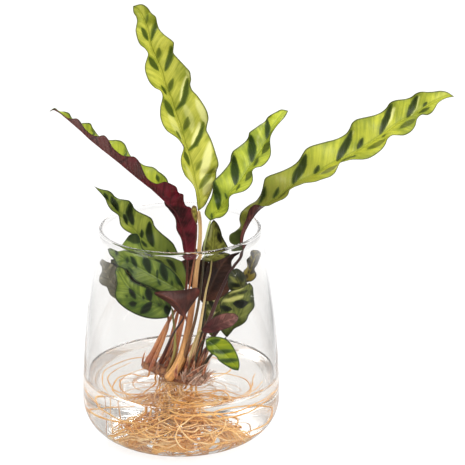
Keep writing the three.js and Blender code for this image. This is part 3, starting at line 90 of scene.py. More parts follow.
# leaf blades, rows from base to tip: midrib point, left margin, right margin
# stems: radius at the blade, radius at the foot, points from blade to foot
LEAF = {
 'leaf_tall': [
  (15.9,-17,205.8,15.9,-17,205.8,15.9,-17,205.8),
  (15.9,-16.8,210.2,14.8,-18.8,212.1,21.3,-17.2,210.8),
  (15.7,-16.5,214.6,14.5,-20.3,217,24,-15.2,215.3),
  (15.2,-16.1,218.8,13.9,-19.2,221,26.3,-8.8,218.8),
  (14.3,-15.6,223,13.2,-18.8,225.3,28.2,-12.1,225.3),
  (13.3,-15,227.1,11.4,-20.6,230.1,30,-16.2,231.2),
  (12.4,-14.3,231.3,8.5,-23.6,234.8,30.9,-11.2,233.9),
  (11.8,-13.6,235.4,5.4,-26.2,239.1,31,-5.1,236.7),
  (11,-12.6,239.5,3.6,-27.5,243.3,32.8,-15.5,245.1),
  (10,-11.5,243.4,2.3,-27,247.3,32.3,-13.7,249.7),
  (9,-10.1,247.3,1.6,-25.3,251.1,30.9,-10.9,253.3),
  (7.9,-8.6,251.1,1.8,-22.9,254.9,29.6,-8.2,257.1),
  (6.8,-7,254.9,3.1,-20.5,258.8,28,-5.8,261.2),
  (5.2,-5.3,258.5,4.1,-18.7,262.7,26.4,-3.5,264.9),
  (4,-3.5,262.2,1.3,-17.9,266.6,24.6,-1.1,267.8),
  (3,-1.8,265.9,-2,-17.8,270,22.8,0.8,271.3),
  (1.8,-0,269.7,-6,-18.1,273,23.4,-0,276.3),
  (0.6,1.7,273.4,-9.8,-17.9,275.8,24.5,-4.6,282.7),
  (-0.7,3.4,277.1,-12.4,-16.9,279.1,23.7,-6,288.1),
  (-2.1,5.1,280.8,-14.2,-15,282.5,22,-3.4,291.6),
  (-3.5,6.9,284.4,-15.4,-12.6,286.3,19.9,0.8,294.1),
  (-4.7,8.8,288.1,-15.7,-9.8,290.1,17.5,5.5,296.5),
  (-6,10.7,291.8,-15.4,-6.9,293.8,14.6,9.8,299.2),
  (-7.3,12.7,295.4,-14.4,-3.8,297.3,10.9,12.9,302.4),
  (-9,14.6,298.9,-13.8,-0.8,301.1,9.2,13.5,307.1),
  (-10.7,16.6,302.4,-15.5,1.7,304.8,9.9,11.8,311.8),
  (-12.4,18.5,305.9,-20.3,3.4,307,9.6,9.8,315.9),
  (-13.5,20.4,309.7,-24,3.9,310.7,8.8,10.2,319.4),
  (-14.5,22.3,313.5,-26,4.3,314.3,5.7,13.5,322.2),
  (-15.7,24.1,317.2,-27.3,5.7,317.4,1.6,18.4,325.4),
  (-17.4,25.8,320.8,-28.4,8.8,320.4,-2.1,23.9,328),
  (-19.1,27.5,324.3,-28.6,12.9,323.9,-5.1,27.7,330.9),
  (-20.8,29.2,327.9,-27.4,17,327.6,-4.8,24.4,336.3),
  (-22.8,30.8,331.4,-26.2,19.9,332,-4.5,20.7,341.3),
  (-24.2,32.5,335.1,-28.8,21.8,335.9,-7,24.3,343.1),
  (-25.2,34.1,339,-32.8,23.2,338.9,-10.3,29.5,344.2),
  (-26,35.6,342.9,-34.9,24.4,342.8,-14,34.9,345.9),
  (-26.8,37.2,346.8,-36,25.8,346.6,-17.3,39,348.9),
  (-27.8,38.7,350.7,-36.7,28,350,-18.8,37.5,354.3),
  (-29.2,40.2,354.4,-36.3,31.7,353,-19.8,32.8,360.5),
  (-31.1,41.7,358,-35.8,36.8,355.9,-24,44,361.5),
  (-33.2,43.2,361.4,-36.7,40.6,358.8,-26.9,39.6,366.9),
  (-35.9,44.6,364.5,-38.9,42.3,362,-32,44.7,368.7),
  (-39.4,46,366.8,-39.4,46,366.8,-39.4,46,366.8),
 ],
 'leaf_short_right': [
  (25.9,-26,200,25.9,-26,200,25.9,-26,200),
  (27.4,-25.9,203.4,21.2,-27.6,206.6,30.2,-28.5,203),
  (29.7,-25.6,206.3,22.5,-30.6,213.5,33.9,-32.4,204.8),
  (32.5,-25.1,208.6,24.6,-29.6,217.3,37.3,-35,207.6),
  (35,-24.6,211.2,25.7,-26,218.8,40.3,-35,211.3),
  (37,-23.9,214.2,26.7,-21.4,220,41.5,-33.7,215.1),
  (38.9,-23.2,217.3,27.5,-17.9,222.2,41.5,-32.2,219),
  (40.7,-22.2,220.4,28,-21.1,227.2,41.9,-31.7,223),
  (42.5,-21,223.3,28,-23.3,233.3,45,-31.9,225.2),
  (44.9,-19.4,225.7,31.7,-20,236.5,48.9,-32.3,226.4),
  (47.3,-17.5,228,34.3,-16,237.9,53.2,-32.4,227.7),
  (49.6,-15.4,230.3,36.4,-12,239.1,56.7,-32.1,229.8),
  (51.8,-13.2,232.7,38.4,-7.8,240.3,59.4,-30.8,232.5),
  (53.8,-10.8,235.2,40.4,-3.5,241.6,61.2,-27.3,235.4),
  (55.7,-8.5,237.8,42.3,0,244,61.3,-21.8,237.9),
  (57.9,-6.2,240.2,43.1,-2.1,250.1,60.9,-18.2,240.9),
  (60.3,-3.9,242.4,44.6,-4.5,254.3,63.5,-16.6,243.4),
  (62.4,-1.6,244.9,46.8,-0.4,255,68.4,-15.7,244.3),
  (64.2,0.8,247.5,49.5,4.7,255.5,71.8,-14.7,246.5),
  (66.2,3.3,250,52.7,9.9,256.5,74.1,-13.1,248.9),
  (68.2,5.8,252.5,55.7,14,258.1,75.9,-10.6,251.6),
  (70.1,8.4,255,57.6,11.7,262.1,76.6,-6.5,254.5),
  (72.1,11,257.5,58.4,9.7,266.4,76.3,-0.9,257.4),
  (74,13.8,260.1,61.2,14,267.6,76,4.7,260.3),
  (75.8,16.6,262.6,64.2,19.4,268.2,76.4,9.3,263.1),
  (77.4,19.4,265.3,67.7,24.8,269.2,78.1,13,265.7),
  (79.3,22.4,267.8,71.8,29,270.7,80.1,16,268),
  (81.4,25.4,270.1,74.1,27.6,274.9,82.3,19,270.1),
  (83.7,28.4,272.4,77.6,25,278.2,84.8,22.3,272),
  (86.1,31.5,274.5,81.6,32.2,278.4,87.4,27,273.3),
  (88.8,34.7,276.3,85.9,36.3,279.2,89.7,33,274.7),
  (91.9,38,277.7,91.9,38,277.7,91.9,38,277.7),
 ],
 'leaf_long_right': [
  (52,-16,172.7,52,-16,172.7,52,-16,172.7),
  (52.4,-16.6,177.6,42.7,-15.8,177.2,50.7,-19.2,180.2),
  (53.1,-17.1,182.4,42,-17.8,184.8,51.1,-22.3,186.4),
  (54.3,-17.5,187.1,46.9,-15.2,187.5,52.4,-24.1,191.9),
  (56.2,-17.7,191.4,50.9,-9.9,190.2,54,-24.6,196.6),
  (58.3,-17.9,195.5,50.1,-14.5,197.7,55.8,-24.7,201.2),
  (60.7,-18,199.5,51.2,-18.8,204.6,57.1,-24.8,206.2),
  (63.3,-18,203.3,54.7,-15.7,207.8,59.1,-25.3,211.2),
  (66.2,-18,206.8,59.1,-10.8,209.7,63.7,-26.4,214.6),
  (69.7,-17.8,209.7,63.9,-8.6,211.9,69.3,-27.7,213.6),
  (73.4,-17.3,212.1,67.3,-9.7,216.9,74.5,-29.1,214.3),
  (77.2,-16.7,214.3,69.2,-12.5,223.2,78.7,-30.3,216.8),
  (81,-15.9,216.5,70.2,-14.8,229.2,82.8,-31.2,219.1),
  (84.6,-14.9,218.9,71.5,-15,233.8,87,-31.3,221.1),
  (88,-13.8,221.6,75.2,-12.8,235.7,90.4,-29.7,223.9),
  (91.4,-12.7,224.1,79.6,-9.1,236.2,92.1,-26.1,227.2),
  (95,-11.4,226.6,84.5,-4.9,236.7,95.9,-24.2,229.1),
  (98.7,-10.2,228.7,89.7,-1.1,237.8,99.9,-23.7,230.5),
  (102.7,-8.9,230.4,94.8,1.4,239.9,104,-23.5,232.1),
  (106.9,-7.7,231.6,98.9,1.6,243.3,108.4,-23.4,232.7),
  (111,-6.5,233.2,101.4,-0.6,247.7,113.1,-23.2,233.3),
  (114.8,-5.3,235.2,103.3,-2.6,252.1,117.5,-23.1,234.9),
  (118.7,-4.1,237.2,105.7,-2.4,255.5,121.9,-22.8,236.3),
  (122.4,-2.9,239.4,109.5,-0.3,257.4,126.1,-22.1,237.7),
  (126.3,-1.6,241.4,114.4,2.6,258.2,129.6,-19.9,240.1),
  (130.3,-0.2,243.1,119.6,5.8,258.7,131.9,-16,243.3),
  (134.3,1.1,244.8,124.4,9.1,259,134.1,-13.5,247),
  (138.3,2.6,246.4,129,12.2,259.2,138.7,-12.5,248.1),
  (142.3,4,248.1,133.4,15.1,259.9,143.3,-12,249.1),
  (146.3,5.5,249.9,137.3,17.2,261.3,148.1,-11.6,249.2),
  (150.2,7,251.7,140.8,17.5,264,153.1,-11,249),
  (154.1,8.5,253.7,143.1,15.6,268.5,157.9,-10.1,249.7),
  (158,10.1,255.7,144.7,13.4,273.5,162.1,-8.7,251.5),
  (161.8,11.7,257.7,148,13.5,276.6,166,-6.6,253.6),
  (165.5,13.3,259.9,152.4,16,277.3,169.6,-3.8,256),
  (169.3,14.9,262,157,19.7,277.2,172.5,-0.5,259.1),
  (173,16.5,264.2,161.6,23.9,277,174.5,2.7,262.9),
  (176.6,18.1,266.6,166.2,27.9,277.2,178.5,5.2,265.3),
  (180.3,19.8,268.9,170.7,30.6,278.6,183.5,6,265.1),
  (184,21.5,271.2,174.5,30.3,282.1,188.1,5.6,265.2),
  (187.8,23.2,273.2,177.3,27,287.6,192.1,6.9,266.5),
  (191.8,25,274.9,181.7,25.4,290.3,195.8,10.4,268.4),
  (195.9,26.8,276.7,187,31.6,289.3,198.6,14.9,271.5),
  (199.9,28.6,278.5,192,37.7,288.3,200.2,19.8,275.5),
  (203.8,30.4,280.4,196.1,36.3,290.4,204.2,24,277.9),
  (207.7,32.3,282.4,199.5,32.9,294.2,209.2,25.3,277.3),
  (211.6,34.2,284.2,203.9,32.1,296,213.3,26,279.5),
  (215.7,36.1,286,209.7,36.5,294.6,216.3,31.5,282),
  (219.9,38.1,287.5,215.5,41.5,293.5,219,36.2,284.8),
  (224.2,40,288.8,221.1,42.8,293.9,222.8,37.9,287.1),
  (228.7,42,289.4,226.9,42.8,292.9,227.3,40.7,288.3),
  (233.4,44,288.4,233.4,44,288.4,233.4,44,288.4),
 ],
 'leaf_long_left': [
  (6.1,-13,162.2,6.1,-13,162.2,6.1,-13,162.2),
  (5.9,-13.1,168.5,12.7,-14.1,168.5,3.1,-13.5,169.1),
  (5.4,-13.3,174.9,13.6,-16.5,175.5,2.1,-13.8,175.1),
  (4.6,-13.6,181.3,14.6,-18.4,182.8,0.8,-11.5,179.9),
  (3.4,-13.9,187,14.6,-18.7,191.4,-1.9,-9.9,184.7),
  (2.2,-14.3,190.9,14.1,-18.5,196,-3.1,-11.8,189),
  (0.8,-14.8,194.9,12.9,-18.2,200.4,-3,-15.3,194.2),
  (-0.7,-15.5,198.8,11.2,-17.8,204.6,-3.5,-16.8,198.6),
  (-2.3,-16.4,202.6,9.3,-17.5,209.1,-5.3,-16.7,202.1),
  (-4.2,-17.4,206.5,5.4,-18.2,211,-7.6,-16.2,205),
  (-6.9,-18.6,209.7,3.8,-22.9,217.2,-9.9,-15.5,207.9),
  (-9.8,-19.9,213,3.6,-30.5,224.6,-12.3,-14.5,210.5),
  (-12.6,-21.1,216.4,-0.4,-24.2,224.3,-12.8,-13,214.7),
  (-15.6,-22.4,219.9,-2,-34.6,232.3,-11.4,-13.2,221.3),
  (-18.5,-23.7,223.2,-6.4,-33.9,234.9,-9.3,-14.6,228.2),
  (-20.9,-24.9,226,-11.7,-32.2,236.3,-10,-17.4,233.7),
  (-23.1,-26.3,228.6,-17.2,-31.8,234.4,-12.9,-19.8,238.3),
  (-25.2,-27.7,230.6,-21,-32.5,235.5,-16.9,-20.1,241.4),
  (-28.1,-29.2,233.5,-24,-34.6,238.2,-19.3,-20,243.7),
  (-30.9,-30.7,236.4,-26.3,-37.7,241.7,-22,-19.9,245.3),
  (-33.8,-32.2,239.3,-28.1,-41.1,246.3,-25.6,-20.1,245.9),
  (-36.6,-33.7,242.3,-29.5,-44.6,251.3,-29.4,-20.5,247.1),
  (-39.4,-35.3,245.3,-30.8,-47.7,256.2,-32.6,-21.1,249.5),
  (-42.1,-36.8,248.2,-32.8,-50,260.4,-36,-22,251.6),
  (-44.9,-38.4,251.2,-35.8,-50.6,263.3,-39,-23.3,254.5),
  (-47.6,-39.9,254.2,-40.1,-49.1,263.2,-41,-25.7,258.8),
  (-50.4,-41.6,257.1,-44.4,-47.4,263.1,-42.5,-29.8,263.9),
  (-53.2,-43.2,260,-47.9,-47.6,265.2,-43.9,-34.3,269.1),
  (-56,-44.8,262.9,-50.7,-49.9,268.4,-46.7,-37.4,272.8),
  (-58.8,-46.5,265.8,-53.2,-53.3,272.2,-50.6,-38.5,274.1),
  (-61.6,-48.2,268.7,-54.8,-57.1,276.9,-55,-38.4,273.9),
  (-64.3,-49.8,271.6,-56.5,-60.7,281.5,-59.2,-38.2,274.1),
  (-67,-51.5,274.5,-59.3,-63.2,285.1,-63,-39.5,276),
  (-69.7,-53.2,277.4,-63.7,-62.7,284.3,-65.5,-42.5,279.4),
  (-72.4,-54.8,280.4,-68,-59.5,283.9,-67.3,-46.8,283.7),
  (-75,-56.4,283.5,-71.3,-58.8,285.8,-69.1,-51.2,288.1),
  (-77.4,-58,286.6,-73.9,-61.2,289.1,-70.7,-54.4,292.7),
  (-80,-59.6,289.6,-75.9,-64.7,293.2,-75.1,-55.2,293.3),
  (-82.6,-61.2,292.6,-77.6,-68.5,297.8,-79.7,-54.2,292.6),
  (-85.2,-62.8,295.5,-80.3,-71,301.3,-83.4,-54.5,294.7),
  (-87.8,-64.4,298.4,-84.8,-67.7,300.3,-85.4,-59.8,299.2),
  (-90.5,-65.9,301.2,-89.1,-64.4,300,-86.9,-65.4,304.3),
  (-93.1,-67.5,304.1,-91.7,-68.1,303.8,-90.6,-65,305.5),
  (-95.9,-69,306.6,-94.4,-71.2,307.2,-94.7,-65.7,305.9),
  (-99.1,-70.5,308.5,-97.8,-71.7,309.6,-98,-69.9,309.8),
  (-102.3,-72,307.4,-102.3,-72,307.4,-102.3,-72,307.4),
 ],
 'leaf_left': [
  (4.9,4,128.6,4.9,4,128.6,4.9,4,128.6),
  (3.2,3.6,132.1,-1,1.8,130.1,5.9,3.6,134.3),
  (1.5,3.2,135.6,-4.5,-1,133.2,5.6,4,138.4),
  (-0.3,2.8,139,-7.5,-2.7,136.1,4.9,6.3,141.8),
  (-2.2,2.5,142.4,-10.1,-3.9,138.9,3.8,8.3,145.2),
  (-4.3,2.2,145.6,-12.6,-4.9,141.5,2.5,9.2,148.9),
  (-6.4,1.9,148.8,-15,-5.9,144.2,1,9,152.9),
  (-8.7,1.6,151.8,-17.3,-6.7,147.1,-0.6,7.6,157.1),
  (-10.9,1.4,154.8,-19.6,-7.4,149.9,-2.4,5.8,161.3),
  (-13.3,1.2,157.8,-21.6,-7.9,152.6,-4,4.3,165.7),
  (-15.7,1,160.6,-23.5,-8.1,155.3,-6,3.6,169.9),
  (-18.3,0.8,163.2,-25.5,-8.1,158.1,-8.8,4,172.8),
  (-21,0.7,165.8,-27.5,-8.1,161,-11.7,5.4,175),
  (-23.7,0.5,168.4,-29.5,-7.9,163.9,-14.7,7.2,176.8),
  (-26.4,0.4,170.9,-31.5,-7.7,166.9,-17.6,8.9,178.9),
  (-29.1,0.3,173.2,-33.5,-7.4,169.9,-20.4,9.7,181.5),
  (-31.9,0.2,175.6,-35.2,-7,173.6,-22.3,8.1,185.2),
  (-34.6,0.1,178.1,-36.6,-6.7,177.5,-23,4.4,189.7),
  (-37.2,0,180.7,-38.7,-6.5,180.7,-24.4,2.5,193.1),
  (-39.6,0,183.5,-42,-7,182.9,-26.9,3.4,194.5),
  (-41.9,0,186.3,-45.3,-9.4,185.6,-29.9,5.5,195.3),
  (-44.2,0.1,189.2,-48.1,-10.6,188.4,-33.3,7.6,196.1),
  (-46.4,0.4,192,-50.2,-8.8,191,-36.7,8.8,197.6),
  (-48.6,0.9,194.8,-51.1,-5.6,193.9,-39.2,7.5,200.7),
  (-50.9,1.5,197.5,-51.9,-3.4,197.2,-40.5,4.4,205.2),
  (-53.1,2.3,200.1,-54.5,-3.4,199.5,-43.2,2.8,208.7),
  (-55.5,3.2,202.6,-57.4,-4.3,202,-47.8,6.7,208.3),
  (-57.9,4.2,205.1,-59.7,-3.7,204.6,-52.1,10.6,207.8),
  (-60.3,5.3,207.5,-61.6,-0.5,206.9,-55.3,9.1,210.3),
  (-62.8,6.5,209.9,-63.1,4,209.1,-57.5,6.5,214.1),
  (-65.2,7.8,212.3,-65.3,7.5,211.1,-60.6,5.8,216.5),
  (-67.7,9.1,214.5,-67.6,8.2,213.7,-64.8,8.9,216.4),
  (-70.3,10.5,216.7,-70.1,9.4,216.1,-69,11.4,216.7),
  (-73.1,12,218.7,-73.1,12,218.7,-73.1,12,218.7),
 ],
 'leaf_inner_left': [
  (3.6,-14,130.6,3.6,-14,130.6,3.6,-14,130.6),
  (0.9,-14.9,132.9,-1.4,-16.8,129.6,3.1,-14.9,136.9),
  (-1.8,-15.7,135.1,-5,-19.5,130.8,1.6,-15.6,141.2),
  (-4.6,-16.4,137.2,-8.4,-20.7,132.1,-0.3,-15.6,144.7),
  (-7.3,-17.1,139.3,-11.4,-21.1,133.5,-2.5,-15.8,148),
  (-10.1,-17.6,141.3,-14.3,-21.1,134.6,-5,-15.8,151),
  (-12.9,-17.9,143.1,-17.3,-20.9,135.8,-7.5,-15.5,153.7),
  (-15.8,-18,144.8,-20.3,-20.8,137.1,-10.2,-15.1,155.8),
  (-18.6,-18,146.5,-23.4,-21.2,138.5,-13,-14.7,157.6),
  (-21.4,-18,148.2,-26.4,-21.8,140.1,-15.9,-14.2,159.3),
  (-24.3,-18,149.9,-29.4,-22.6,141.7,-18.8,-13.8,161.1),
  (-27.1,-18,151.5,-32.4,-23.5,143.4,-21.7,-13.4,162.8),
  (-29.9,-18,153.2,-35.3,-24.4,145.2,-24.5,-13.1,164.6),
  (-32.8,-18,154.9,-38,-24.8,147.4,-27.3,-12.8,167.6),
  (-35.6,-18,156.6,-40.1,-24.1,150.2,-29.7,-12.6,169.3),
  (-38.5,-17.7,158.2,-42.2,-22.1,152.5,-32,-12.5,172.3),
  (-41.3,-17.2,159.7,-44.5,-20.4,154.8,-33.2,-12.4,176.5),
  (-44.2,-16.5,161.1,-47.8,-21.2,155.7,-34,-12.4,180.9),
  (-47,-15.5,162.5,-50.9,-21.5,157.3,-35.8,-12.7,184),
  (-49.8,-14.2,163.8,-53.4,-17.6,158.9,-39.3,-13.4,184.6),
  (-52.6,-12.8,165.2,-55.1,-13.6,161.1,-43.3,-13.5,182.5),
  (-55.4,-11.3,166.6,-57.4,-13.1,163.7,-50.2,-8.5,171.2),
  (-58.2,-9.7,167.9,-59.6,-11.3,165.9,-56.5,-10.1,173.1),
  (-61.1,-8,169.2,-61.1,-8,169.2,-61.1,-8,169.2),
 ],
 'leaf_low_left': [
  (-6.6,-33,125.5,-6.6,-33,125.5,-6.6,-33,125.5),
  (-9.4,-33.9,126.2,-9.8,-36.2,118.7,-8.3,-34.3,131.4),
  (-12.3,-34.7,127,-13.4,-38.6,118,-10.4,-35.3,134.7),
  (-15.1,-35.4,127.9,-16.9,-40,118.1,-12.6,-35.8,137.1),
  (-17.9,-36,128.9,-20.6,-40.9,118.3,-14.6,-36.2,139),
  (-20.6,-36.5,130.1,-24.4,-41.4,118.8,-16.6,-36.3,140.4),
  (-23.3,-36.9,131.4,-28.1,-41.6,119.6,-18.7,-36.3,141.6),
  (-25.9,-37.2,132.8,-31.5,-41.7,120.6,-21,-36.2,142.6),
  (-28.4,-37.4,134.2,-34.8,-41.7,121.9,-23.3,-36.1,143.5),
  (-30.9,-37.6,135.8,-38.1,-41.7,123.5,-25.7,-35.9,144.3),
  (-33.3,-37.8,137.5,-41.5,-42,125.6,-28,-35.8,145.1),
  (-35.6,-37.9,139.4,-44.8,-42.6,128.1,-30.2,-35.6,145.9),
  (-37.8,-38,141.5,-47.8,-43.6,131.1,-32.6,-35.4,146.8),
  (-39.8,-37.9,143.6,-50.5,-44.4,134.3,-35,-35.2,147.8),
  (-41.8,-37.4,145.7,-52.6,-44,137.6,-37.5,-34.7,148.8),
  (-43.6,-36.6,147.8,-53.3,-41.7,141.2,-39.7,-34,150.2),
  (-45.3,-35.3,149.8,-52.6,-37.9,144.7,-41.2,-33.1,152.2),
  (-46.9,-33.5,151.8,-52.2,-34.6,147.9,-42.6,-32.3,154.4),
  (-48.4,-31.4,153.7,-52.9,-32.8,150.9,-44,-31.5,156.5),
  (-49.8,-29.2,155.6,-53.4,-31.6,154,-45.4,-29.9,158.5),
  (-51.2,-26.7,157.5,-53.9,-28.3,156.4,-47.7,-26.8,159.5),
  (-52.4,-24,159.4,-52.4,-24,159.4,-52.4,-24,159.4),
 ],
 'leaf_grey_left': [
  (-18.2,-14,117.5,-18.2,-14,117.5,-18.2,-14,117.5),
  (-21.6,-13.7,117.3,-22.2,-15.3,115.7,-21.6,-13.9,120.4),
  (-24.9,-13.3,117.4,-25.8,-16.8,115.4,-24.3,-13.8,122.6),
  (-28.3,-12.7,117.8,-29.6,-17.2,115.3,-27,-11.9,123.6),
  (-31.5,-12,118.4,-33.3,-16.7,115.6,-29.7,-9.1,124.2),
  (-34.7,-11.3,119.4,-36.9,-15.7,116.5,-32.2,-6.4,125),
  (-37.8,-10.6,120.6,-40.4,-14.4,117.5,-34.6,-4.5,126.3),
  (-40.8,-10,122,-43.7,-12.9,118.8,-36.8,-3.3,127.9),
  (-43.7,-9.3,123.6,-46.9,-11.5,120.3,-38.7,-2.4,129.8),
  (-46.4,-8.5,125.3,-50.1,-10.4,121.9,-40.6,-1.6,131.9),
  (-49.1,-7.4,127.2,-53.3,-10.1,123.9,-42.4,-0.8,134),
  (-51.6,-6.2,129.1,-56.5,-10.9,126.3,-44.1,-0.1,136.1),
  (-54,-5.1,131.3,-59.4,-10.9,128.8,-45.6,0.3,138.4),
  (-56.2,-4,133.5,-61.3,-7.6,131.2,-47.1,0.5,140.7),
  (-58.3,-2.9,136,-63.2,-4,133.5,-48.6,0.7,142.9),
  (-60.2,-1.8,138.5,-67,-4.5,135.6,-50.2,0.9,145.1),
  (-61.9,-0.6,141.2,-69.2,-5,139.1,-52,1.1,147.2),
  (-63.4,0.4,144,-69.1,-1.5,142.4,-54,1.4,149.3),
  (-64.7,1.1,147,-67.4,1.6,145.9,-56.4,1.3,151.3),
  (-65.8,1.5,150.2,-67.5,0.5,150.3,-59.5,1.2,153.4),
  (-66.7,1.9,153.6,-68.9,0.4,153.8,-63.7,1.9,154.7),
  (-67.3,2,157,-67.3,2,157,-67.3,2,157),
 ],
 'leaf_folded': [
  (3.6,-40,119.6,3.6,-40,119.6,3.6,-40,119.6),
  (3.2,-40.5,121.7,1.6,-39.8,120.9,5.5,-38.2,122),
  (2.6,-41.1,123.7,0,-39.7,122.1,7.4,-36.6,124.5),
  (1.8,-41.6,125.6,-1.2,-39.7,123.3,9.8,-36.3,128.3),
  (1,-42.1,127.5,-2.3,-39.7,124.6,12.8,-36.6,133),
  (0,-42.7,129.4,-3.4,-39.9,125.8,16.2,-36.9,138.4),
  (-1,-43.2,131.1,-4.4,-40.1,127.1,17,-36.7,142.9),
  (-2.2,-43.7,132.8,-5.5,-40.4,128.4,13.7,-35.9,144.6),
  (-3.5,-44.2,134.3,-6.5,-40.6,129.6,8.6,-35.1,143.1),
  (-4.8,-44.6,135.7,-7.6,-40.8,130.8,4.4,-34.9,142.3),
  (-6.2,-44.8,136.9,-8.8,-40.9,132,0.8,-35.7,142.2),
  (-7.8,-45,138,-10,-41,133,-2.4,-37.2,142.4),
  (-9.3,-45.1,139,-11.3,-41.1,134.1,-5.1,-39,143),
  (-10.9,-45.1,139.9,-12.7,-41.4,135.1,-7.5,-40.8,143.6),
  (-12.6,-45.1,140.7,-14.1,-41.7,136.1,-9.8,-42.2,144),
  (-14.2,-45,141.4,-15.5,-42,137.2,-12.1,-43.4,144.4),
  (-15.9,-44.9,142,-16.9,-42.5,138.3,-14.3,-44.3,144.6),
  (-17.7,-44.6,142.4,-18.4,-42.9,139.4,-16.4,-44.9,144.6),
  (-19.4,-44.4,142.8,-19.9,-43.5,140.6,-18.6,-44.5,144.1),
  (-21.2,-44,143.1,-21.2,-44,143.1,-21.2,-44,143.1),
 ],
 'leaf_maroon_right': [
  (21.5,14,113.9,21.5,14,113.9,21.5,14,113.9),
  (22.4,14.4,116.4,19.3,14.7,117.6,27.3,12.1,115),
  (23.3,14.7,118.9,18.5,15.5,120.6,31.2,10.7,116.8),
  (24.2,15.1,121.4,18.4,17,123.1,34.4,10.1,118.5),
  (25.1,15.4,124,18.6,18.5,125.6,37.1,9.9,120.4),
  (26.1,15.7,126.5,19,19.9,128.1,39.3,9.9,122.3),
  (27.1,16,128.9,19.6,21.4,130.4,41.1,9.9,124.4),
  (28.1,16.3,131.4,20.2,22.8,132.8,42.5,10,126.7),
  (29.2,16.5,133.9,20.8,23.6,135.4,43.5,10.1,129),
  (30.3,16.7,136.4,21.5,23.5,138.6,44.2,10.4,131.3),
  (31.5,16.9,138.9,22.3,22.2,142.1,44.8,10.7,133.5),
  (32.7,17.1,141.3,23.3,21.5,145.3,45.1,11.3,135.9),
  (34,17.2,143.7,25.2,21.9,147.7,45,12.1,138.3),
  (35.4,17.4,146,27.9,22.7,149.5,44.8,13.1,140.6),
  (37,17.5,148.2,30.8,23.3,151.1,44.4,14.1,143.1),
  (38.6,17.6,150.3,33.3,23.2,152.9,43.8,15.2,146.3),
  (40.4,17.7,152.3,35.8,22.2,155,43.7,16,149.3),
  (42.2,17.8,154.3,38.5,20.7,157.3,44.9,16.5,151.5),
  (44.2,17.9,156.1,41.2,19.1,159.3,46.4,16,153.8),
  (46.3,18,157.8,44,18,160.8,48.2,15.2,155.7),
  (48.5,18,159.3,47.1,18.3,161.3,50.1,16.4,157),
  (50.8,18,160.5,50.8,18,160.5,50.8,18,160.5),
 ],
 'leaf_olive_right': [
  (56.3,-6,138.6,56.3,-6,138.6,56.3,-6,138.6),
  (56.8,-5.7,140,54.5,-5.9,141,59.9,-6.7,139.4),
  (57.3,-5.4,141.4,53.7,-5.2,142.6,62.2,-7.7,141.2),
  (57.8,-5.1,142.9,53.4,-3.2,143.7,63.6,-8.2,143),
  (58.2,-4.9,144.3,53.4,-0.9,144.5,64.4,-8.1,144.7),
  (58.6,-4.6,145.8,53.6,1.7,145.1,64.5,-7.6,146.2),
  (59,-4.3,147.2,54.3,4.4,145.7,64,-6.9,147.6),
  (59.4,-4.1,148.7,55.7,6.7,146.2,63,-6.4,149.2),
  (59.9,-3.8,150.1,56.9,8.2,147.1,62.9,-6.3,150.9),
  (60.3,-3.6,151.6,57.2,8.2,148.7,63.7,-6.3,152.4),
  (60.8,-3.3,153,56.9,6.8,151.2,64.7,-6.3,153.8),
  (61.3,-3,154.4,56.5,4.3,154,65.4,-6.2,155.2),
  (61.9,-2.8,155.8,56.7,2.6,156.3,65.9,-6,156.7),
  (62.4,-2.5,157.2,57.9,4.9,156.7,66.4,-5.8,158.2),
  (63,-2.3,158.7,59.3,7.3,157.1,66.9,-5.5,159.6),
  (63.5,-2,160.1,59.9,4.8,159.4,67.5,-5.1,161),
  (64,-1.8,161.5,59.6,1.2,162.5,68.1,-4.6,162.5),
  (64.6,-1.5,162.9,60.1,-1.3,165,68.1,-3.9,163.8),
  (65.1,-1.3,164.3,61.7,-0.4,165.7,68,-2.5,164.5),
  (65.7,-1,165.7,65.7,-1,165.7,65.7,-1,165.7),
 ],
 'leaf_dark_upper': [
  (53.3,-16,134.1,53.3,-16,134.1,53.3,-16,134.1),
  (52.7,-16.6,135.6,48.9,-18.8,134.2,54.6,-15.3,136.1),
  (52.2,-17.2,137.1,45.9,-20.7,134.9,55.4,-14.7,137.8),
  (51.6,-17.7,138.6,43.9,-22,136,55.8,-14.2,139.4),
  (51,-18.1,140.1,42.5,-22.8,137.2,55.9,-14.2,141.1),
  (50.5,-18.5,141.6,41.4,-23.1,138.5,55.9,-14.5,142.8),
  (49.9,-18.8,143,40.8,-23.1,139.9,55.7,-14.8,144.5),
  (49.4,-19,144.4,40.4,-23,141.3,55.3,-15,146),
  (48.8,-19,145.7,40.2,-22.7,142.5,54.8,-15,147.6),
  (48.2,-18.9,146.9,40.1,-22.2,143.6,54,-14.9,149.1),
  (47.5,-18.6,148.1,40.1,-21.5,144.7,53.1,-14.7,150.4),
  (46.8,-18.2,149.2,40.1,-20.6,145.9,52,-14.8,151.7),
  (46.1,-17.7,150.2,40.3,-20,147.1,50.5,-15,152.9),
  (45.3,-17.2,151.2,40.5,-19.7,148.5,48.9,-15.3,153.9),
  (44.5,-16.7,152.1,40.9,-18.4,150,46.9,-15.6,154.4),
  (43.6,-16,153,43.6,-16,153,43.6,-16,153),
 ],
 'leaf_dark_lower': [
  (38.9,-30,97.7,38.9,-30,97.7,38.9,-30,97.7),
  (40.4,-30.1,100.1,34.5,-30.2,103.5,41.3,-32.3,100.8),
  (41.8,-30.1,102.5,33.3,-29.6,107.1,43.2,-31.9,102.8),
  (43.2,-29.9,104.8,32.9,-28.3,109.9,44.8,-30.9,104.8),
  (44.5,-29.5,107.2,32.9,-27,112.4,47.1,-31.6,106.9),
  (45.8,-29.2,109.5,33.2,-25.8,114.8,50,-32.6,108.7),
  (47,-28.9,111.9,33.7,-24.5,117.1,52.6,-33.5,110.8),
  (48.3,-28.6,114.3,34.4,-23.4,119.2,54.9,-33.9,113.1),
  (49.4,-28.2,116.7,33.4,-22.3,122.1,56.5,-32.2,115.1),
  (50.5,-27.7,119.1,33.4,-21.4,124.7,57.4,-30.1,117.2),
